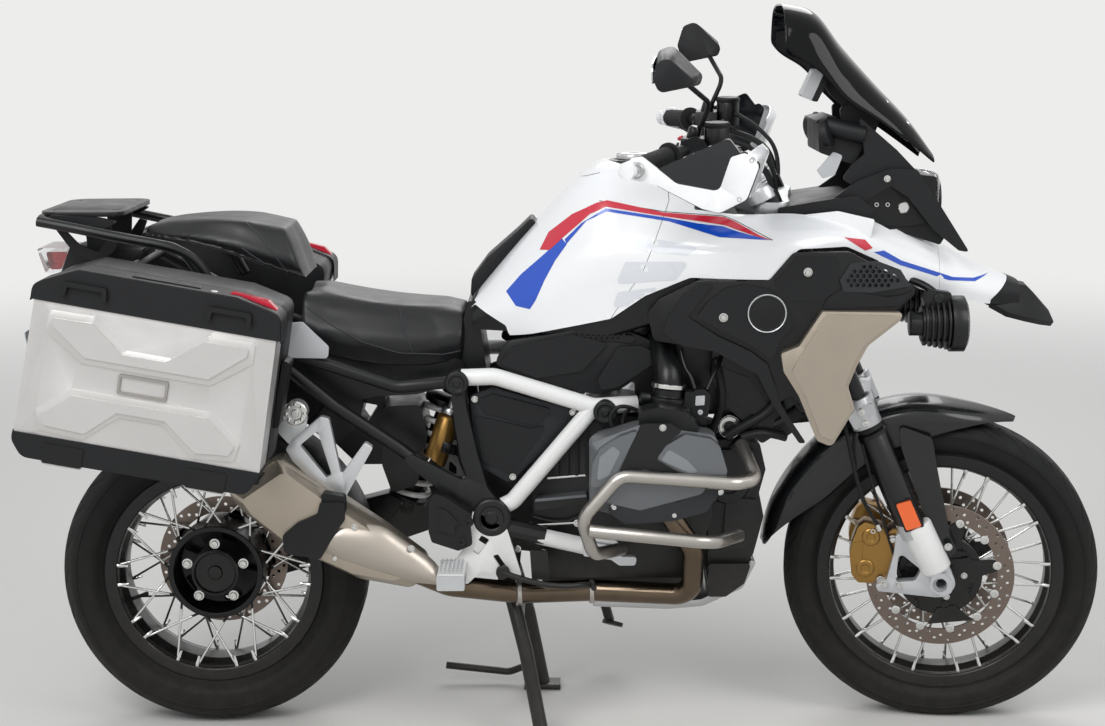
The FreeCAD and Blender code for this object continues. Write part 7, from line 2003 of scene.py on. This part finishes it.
@dataclass
class SideCases:
    """Black bands, handles, eyes and latches on the two cases, drawn in a case's own frame."""

    middle: tuple[float, float, float] = (-767.0, 0.0, 812.0)
    tilt: float = 10.3
    half_long: float = 231.0
    half_high: float = 181.0
    face_y: float = -475.0
    joint_y: float = -395.0

    def place(self) -> Matrix:
        """From the case's own frame to where it hangs."""
        return Matrix.Translation(self.middle) @ Matrix.Rotation(math.radians(self.tilt), 4, "Y")

    def plates(self, piece: Piece, shapes: Iterable[tuple[Sequence, float, float]], holes: Sequence = ()) -> None:
        """Adds plates drawn in the case's frame: outline, middle y and thickness."""
        for corners, y, thick in shapes:
            flat = curve_mesh("2D", [rounded(corners)] + [rounded(h) for h in holes], True, fill_mode="BOTH",
                              extrude=thick / 2)
            piece.take(flat, self.place() @ Matrix.Translation((0, y, 0)) @ SIDE_ON)

    def rim(self, corners: Sequence[Sequence[float]], y: float, deep: float, wall: float, piece: Piece) -> None:
        """A strip of wall standing on an open outline, between two depths."""
        points = [Vector(p) for p in rounded(list(corners))]
        rows = []
        for k, here in enumerate(points):
            ahead = points[min(k + 1, len(points) - 1)] - points[max(k - 1, 0)]
            out = Vector((-ahead.y, ahead.x)).normalized() * wall
            a, b = here, here + out
            rows.append([(a.x, y, a.y), (a.x, y + deep, a.y), (b.x, y + deep, b.y), (b.x, y, b.y)])
        piece.rows(rows, True, self.place(), capped=True)

    def build(self) -> None:
        """Dresses both cases."""
        for side, body, name in ((-1, Body.RIGHT_LID, "right"), (1, Body.LEFT_LID, "left")):
            self.lid(side, body, name)
            self.base(side, name)

    def mirror(self, piece: Piece, side: int) -> Piece:
        """Turns a piece drawn for the right side into its twin for the left."""
        if side > 0:
            bmesh.ops.scale(piece.mesh, vec=(1, -1, 1), verts=piece.mesh.verts)
            bmesh.ops.reverse_faces(piece.mesh, faces=piece.mesh.faces)
        return piece

    def lid(self, side: int, body: Body, name: str) -> None:
        """The parts that open with the lid."""
        long, high, y = self.half_long, self.half_high, self.face_y
        band = Piece(f"{name}_lid_bands", body, GRAINED_ABS, 2.2)
        self.plates(band, [
            ([(-long - 1, 116, 3), (-long - 1, high - 36, 26), (-long + 78, high + 1, 26), (long - 90, high + 1, 26),
              (long - 7, high - 16, 24), (long + 1, 116, 3)], y - 0.6, 5.5),
            ([(-long - 2, -136, 3), (-long - 2, -high + 28, 24), (-long + 20, -high - 1, 24), (long - 20, -high - 1,
                                                                                               24),
              (long + 1, -high + 38, 24), (long, -136, 3)], y - 0.6, 5.5)])
        self.rim([(long + 1, 112), (long - 7, high - 17, 24), (long - 90, high + 0.6, 24), (-long + 79, high + 0.6, 24),
                  (-long + 4, high - 35, 24), (-long - 1, 112)][::-1], y, 79, 2.0, band)
        self.rim([(-long - 0.6, -134), (-long - 0.6, -high + 29, 24), (-long + 20, -high - 0.6, 24),
                  (long - 20, -high - 0.6, 24),
                  (long + 0.6, -high + 40, 24), (long + 0.4, -134)][::-1], y, 76, 2.0, band)
        self.mirror(band, side).add()
        eyes = Piece(f"{name}_strap_eyes", body, SMOOTH_ABS, 1.2)
        for middle in (-134, 134):
            loop = [(middle - 42, 134, 3), (middle - 40, 160, 6), (middle + 40, 160, 6), (middle + 42, 134, 3),
                    (middle + 34, 134, 2), (middle + 32, 151, 4), (middle - 32, 151, 4), (middle - 34, 134, 2)]
            self.plates(eyes, [(loop, y - 7, 14)])
        self.plates(eyes, [([(side_x * 97, -148, 3), (side_x * 172, -148, 3), (side_x * 172, -186, 5),
                             (side_x * 97, -186, 5)],
                            y - 1.4, 8) for side_x in (-1, 1)])
        self.mirror(eyes, side).add()
        grip = Piece(f"{name}_case_handle", body, GRAINED_ABS, 2.5)
        self.plates(grip, [([(-62, 171, 4), (-58, 186, 6), (70, 186, 6), (76, 171, 4)], y + 34, 26),
                           ([(-70, 166, 3), (-66, 183, 5), (80, 183, 5), (84, 166, 3)], y + 18, 4)])
        self.mirror(grip, side).add()
        lever = Piece(f"{name}_case_red_lever", body, RED_ENAMEL, 1.8)
        self.plates(lever, [([(118, 178, 3), (128, 188, 4), (196, 183, 5), (216, 168, 6), (210, 164, 3)], y + 36, 20)])
        self.mirror(lever, side).add()
        lock = Piece(f"{name}_case_lock", body, BRUSHED_ALUMINIUM, 0.6)
        lock.turned([(6, 0), (7, 1), (7, 3), (5, 4), (3, 4), (2.6, 3)], self.place() @ Vector((96, y + 16, 182)),
                    self.place().to_3x3() @ Vector((0, 0, 1)))
        self.mirror(lock, side).add()
        # The darker rim round the pressed recess is painted shade.
        shaded_recess_rim = Piece(f"{name}_case_recess_painted_shade", body, CASE_SHADE, 1)
        frame = [(-52, -33, 4), (-52, 5, 4), (41, 5, 4), (41, -33, 4)]
        self.plates(shaded_recess_rim, [(frame, y - 3.0, 1.6)], [[(-47, -27, 3), (-47, 0, 3), (36, 0, 3), (36, -27, 3)]])
        self.mirror(shaded_recess_rim, side).add()
        ridges = Piece(f"{name}_case_facets", body, CASE_SILVER, 4.2, 20)
        self.plates(ridges, [
            ([(-186, 88, 4), (-112, 90, 6), (-52, 42, 6), (30, 42, 6), (96, 92, 6), (178, 93, 4), (176, 78, 4),
              (112, 24, 8),
              (-118, 24, 8), (-184, 74, 4)], y - 4.6, 5.4),
            ([(-186, -96, 4), (-130, -50, 8), (120, -49, 8), (178, -94, 4), (170, -112, 4), (108, -118, 6),
              (44, -68, 8),
              (-46, -68, 8), (-100, -118, 6), (-178, -114, 4)], y - 4.6, 5.4)])
        self.mirror(ridges, side).add()

    def base(self, side: int, name: str) -> None:
        """The seam, hooks and carrier feet of the fixed half."""
        long, high = self.half_long, self.half_high
        seam = Piece(f"{name}_case_seam", Body.CHASSIS, RUBBER, 0)
        loop = rounded([(-long, -high + 30, 24), (-long + 20, -high, 24), (long - 20, -high, 24), (long, -high + 40,
                                                                                                   24),
                        (long - 8, high - 18, 24), (long - 90, high, 24), (-long + 80, high, 24),
                        (-long + 6, high - 34, 24)])
        place = self.place()
        seam.pipe([tuple(place @ Vector((x * 1.001, self.joint_y + 8, z * 1.001))) for x, z in loop], 1.6, smooth=False,
                  closed=True, sides=1)
        self.mirror(seam, side).add()
        hooks = Piece(f"{name}_case_hooks", Body.CHASSIS, GRAINED_ABS, 2)
        self.plates(hooks, [([(long - 2, 60, 4), (long + 12, 56, 6), (long + 10, -70, 6), (long - 2, -76, 4)], -330,
                             60),
                            ([(long - 60, -high - 1, 4), (long - 56, -high - 10, 4), (long - 10, -high - 4, 5),
                              (long - 8, -high + 6, 4)],
                             -340, 70)])
        self.mirror(hooks, side).add()


@dataclass
class Tail:
    """Rack slats and struts, tail lamp, indicators and plate."""

    def build(self) -> None:
        """Makes the tail's trim."""
        slats = Piece("rack_slats", Body.CHASSIS, GRAINED_ABS, 2.2)
        flat = Matrix.Translation((0, 0, 1090))
        for y in (-118, -60, 0, 60, 118):
            slats.flat([(-1034, y - 17, 8), (-884, y - 17, 8), (-876, y + 17, 8), (-1034, y + 17, 8)], flat, 5)
        slats.plate([(-1034, 1080, 6), (-1010, 1090, 6), (-916, 1084, 6), (-876, 1076, 6), (-905, 1062, 6),
                     (-985, 1070, 6)],
                    -158, 14, both=True)
        slats.plate([(-1020, 1072, 4), (-976, 1010, 6), (-930, 992, 6), (-896, 1012, 6), (-880, 1050, 4),
                     (-896, 1054, 4),
                     (-926, 1012, 6), (-964, 1026, 6), (-1004, 1070, 4)], -128, 8, both=True)
        slats.plate([(-960, 1078, 4), (-952, 990, 6), (-912, 980, 6), (-906, 1070, 4)], -100, 7, both=True)
        slats.add()
        rail = Piece("grab_rails", Body.CHASSIS, BLACK_POWDER, 2)
        rail.pipe([(-1030, -190, 1080), (-960, -198, 1068), (-860, -196, 1046), (-770, -192, 1030), (-722, -184, 1004),
                   (-694, -174, 952), (-680, -168, 930)], 10.5, both=True)
        rail.add()
        self.lamp()
        self.plate()

    def lamp(self) -> None:
        """A clear lens over a red core, with amber indicators."""
        core = Piece("tail_lamp_core", Body.CHASSIS, RED_LENS, 1.2)
        core.plate([(-1052, 1004, 4), (-1044, 968, 6), (-1022, 968, 6), (-1006, 1004, 6)], 0, 100)
        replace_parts(core.add(), "tail_light")
        lens = Piece("tail_lamp_lens", Body.CHASSIS, CLEAR_LENS, 1.5)
        lens.plate([(-1069, 1013, 5), (-1053, 961, 8), (-1018, 963, 8), (-996, 1011, 8)], 0, 122)
        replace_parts(lens.add(), "tail_light")
        signal = Piece("rear_indicators", Body.CHASSIS, AMBER_LENS, 3)
        signal.plate([(-1056, 934, 8), (-1058, 950, 8), (-1028, 958, 8), (-1020, 940, 8)], -98, 34, both=True)
        signal.add()
        stem = Piece("indicator_stems", Body.CHASSIS, RUBBER, 0)
        stem.pipe([(-1030, -60, 934), (-1036, -78, 940), (-1040, -90, 944)], 7, both=True)
        stem.add()

    def plate(self) -> None:
        """A plain plate on its holder, with a lamp over it."""
        place = Matrix(((0, -0.195, 0.981, -1084), (1, 0, 0, 0), (0, 0.981, 0.195, 790), (0, 0, 0, 1)))
        plain = Piece("plain_rear_plate", Body.CHASSIS, GREY_ABS, 0.8)
        plain.flat([(-68, -70, 8), (-68, 52, 8), (68, 52, 8), (68, -70, 8)], place @ Matrix.Translation((0, 0, -7)), 2)
        plain.add()
        lamp = Piece("plate_lamp", Body.CHASSIS, GRAINED_ABS, 1.5)
        lamp.plate([(-1074, 868, 3), (-1068, 880, 4), (-1050, 872, 4), (-1052, 858, 3)], 0, 44)
        lamp.add()
        red = Piece("rear_reflector", Body.CHASSIS, RED_LENS, 1.2)
        red.flat([(-28, -96, 4), (-28, -78, 4), (28, -78, 4), (28, -96, 4)], place @ Matrix.Translation((0, 0, -7)), 5)
        red.add()


@dataclass
class TankTop:
    """The filler cap's face, ring and bolts."""

    def build(self) -> None:
        """Makes the parts on top of the tank."""
        cap = Piece("filler_cap_face", Body.FUEL_CAP, BRUSHED_ALUMINIUM, 0.5)
        cap.turned([(30, 0), (30, 2), (26, 3), (12, 3), (11, 1.6), (0.1, 1.6)], (150, 0, 1194), UPWARD, steps=40)
        cap.bolts([(150 + 33 * math.cos(a), 33 * math.sin(a), 1194.3) for a in (0.6, 1.9, 3.1, 4.4, 5.7)], UPWARD, 2.4)
        cap.add()
        ring = Piece("filler_ring", Body.CHASSIS, SMOOTH_ABS, 1)
        ring.turned([(41, 0), (41, 4.4), (46, 5), (52, 3), (56, -4)], (150, 0, 1180), UPWARD, steps=48)
        ring.add()

# ---------------------------------------------------------------- studio

@dataclass
class Studio:
    """The floor, the lamps and the camera at the photograph's place."""

    eye_mm: tuple[float, float, float] = (4.9, -4110.6, 1473.5)
    yaw: float = -0.005942
    pitch: float = 0.171736
    roll: float = -0.004808
    lens_mm: float = 65.18
    floor_half: float = 60.0
    backdrop: str = "EDEDEC"

    def build(self) -> None:
        """Makes the whole studio."""
        self.camera()
        self.floor()
        self.light()
        bpy.context.scene.view_settings.view_transform = "Standard"

    def camera(self) -> None:
        """The camera fitted to the photograph."""
        data = bpy.data.cameras.new("camera")
        data.lens, data.sensor_width = self.lens_mm, 36.0
        data.clip_end = 100.0
        eye = bpy.data.objects.new("camera", data)
        ahead = Vector((math.sin(self.yaw) * math.cos(self.pitch), math.cos(self.yaw) * math.cos(self.pitch),
                        -math.sin(self.pitch)))
        level = Vector((math.cos(self.yaw), -math.sin(self.yaw), 0.0))
        upright = level.cross(ahead)
        right = level * math.cos(self.roll) + upright * math.sin(self.roll)
        up = upright * math.cos(self.roll) - level * math.sin(self.roll)
        turn = Matrix((right, up, -ahead)).transposed().to_4x4()
        eye.matrix_world = Matrix.Translation(Vector(self.eye_mm) * MM) @ turn
        bpy.context.scene.collection.objects.link(eye)
        bpy.context.scene.camera = eye

    def floor(self) -> None:
        """A plain pale floor."""
        finish = bpy.data.materials.new("pale_floor")
        finish.use_nodes = True
        finish.node_tree.nodes["Principled BSDF"].inputs["Base Color"].default_value = linear("DCDAD6")
        finish.node_tree.nodes["Principled BSDF"].inputs["Roughness"].default_value = 0.9
        self.fade(finish.node_tree)
        mesh = bpy.data.meshes.new("floor")
        half = self.floor_half
        mesh.from_pydata([(-half, -half, 0), (half, -half, 0), (half, half, 0), (-half, half, 0)], [], [(0, 1, 2, 3)])
        mesh.materials.append(finish)
        ground = bpy.data.objects.new("floor", mesh)
        bpy.context.scene.collection.objects.link(ground)

    def fade(self, tree: bpy.types.NodeTree) -> None:
        """Lets the far floor pass into the backdrop, so that no horizon line shows."""
        place = add_node(tree, "ShaderNodeTexCoord").outputs["Object"]
        far = add_node(tree, "ShaderNodeVectorMath", {"operation": "LENGTH"}, {0: place})
        share = add_node(tree, "ShaderNodeMapRange", {"interpolation_type": "SMOOTHSTEP"}, {
            "Value": far.outputs["Value"], "From Min": 2.2, "From Max": 8.0})
        air = add_node(tree, "ShaderNodeEmission", inputs={"Color": linear(self.backdrop), "Strength": 1.0})
        mix = add_node(tree, "ShaderNodeMixShader", inputs={
            0: share.outputs["Result"], 1: tree.nodes["Principled BSDF"].outputs["BSDF"], 2: air.outputs[0]})
        tree.links.new(mix.outputs[0], tree.nodes["Material Output"].inputs["Surface"])

    def light(self) -> None:
        """An even sky and two wide soft lamps."""
        world = bpy.data.worlds.new("sky")
        bpy.context.scene.world = world
        world.use_nodes = True
        tree = world.node_tree
        tree.nodes.clear()
        path = add_node(tree, "ShaderNodeLightPath")
        seen = add_node(tree, "ShaderNodeBackground", inputs={"Color": linear(self.backdrop), "Strength": 1.0})
        lit = add_node(tree, "ShaderNodeBackground", inputs={"Color": linear("E8ECF2"), "Strength": 0.5})
        either = add_node(tree, "ShaderNodeMath", {"operation": "MAXIMUM"}, {
            0: path.outputs["Is Camera Ray"], 1: path.outputs["Is Transmission Ray"]})
        any_of = add_node(tree, "ShaderNodeMath", {"operation": "MAXIMUM"}, {
            0: either.outputs[0], 1: path.outputs["Is Glossy Ray"]})
        mix = add_node(tree, "ShaderNodeMixShader", inputs={
            0: any_of.outputs[0], 1: lit.outputs[0], 2: seen.outputs[0]})
        add_node(tree, "ShaderNodeOutputWorld", inputs={"Surface": mix.outputs[0]})
        lamps = (("key", (-1.6, -3.2, 3.6), 2.6, 110.0), ("fill", (2.6, -2.2, 3.0), 2.2, 45.0),
                 ("back", (0.4, 3.2, 3.4), 3.0, 60.0))
        for name, where, size, power in lamps:
            data = bpy.data.lights.new(name, "AREA")
            data.shape, data.size, data.energy = "DISK", size, power
            lamp = bpy.data.objects.new(name, data)
            lamp.location = where
            lamp.rotation_euler = (Vector((0, 0, 0.6)) - Vector(where)).to_track_quat("-Z", "Y").to_euler()
            bpy.context.scene.collection.objects.link(lamp)


def corners(low: Vector, high: Vector) -> list[list[float]]:
    """A box's two corners as plain lists."""
    return [list(low), list(high)]


def main() -> None:
    """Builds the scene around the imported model."""
    logging.basicConfig(level=logging.INFO, format="%(name)s: %(message)s")
    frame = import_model()
    Studio().build()
    wheels()
    Bodywork().build()
    for part in (Engine(), Chassis(), Exhaust(), Fork(), Cockpit(), Nose(), SideCases(), Tail(), TankTop()):
        part.build()
    for seat in SEATS:
        seat.build(frame["nodes"])
    dress_nodes(frame["nodes"])


if __name__ == "__main__":
    main()
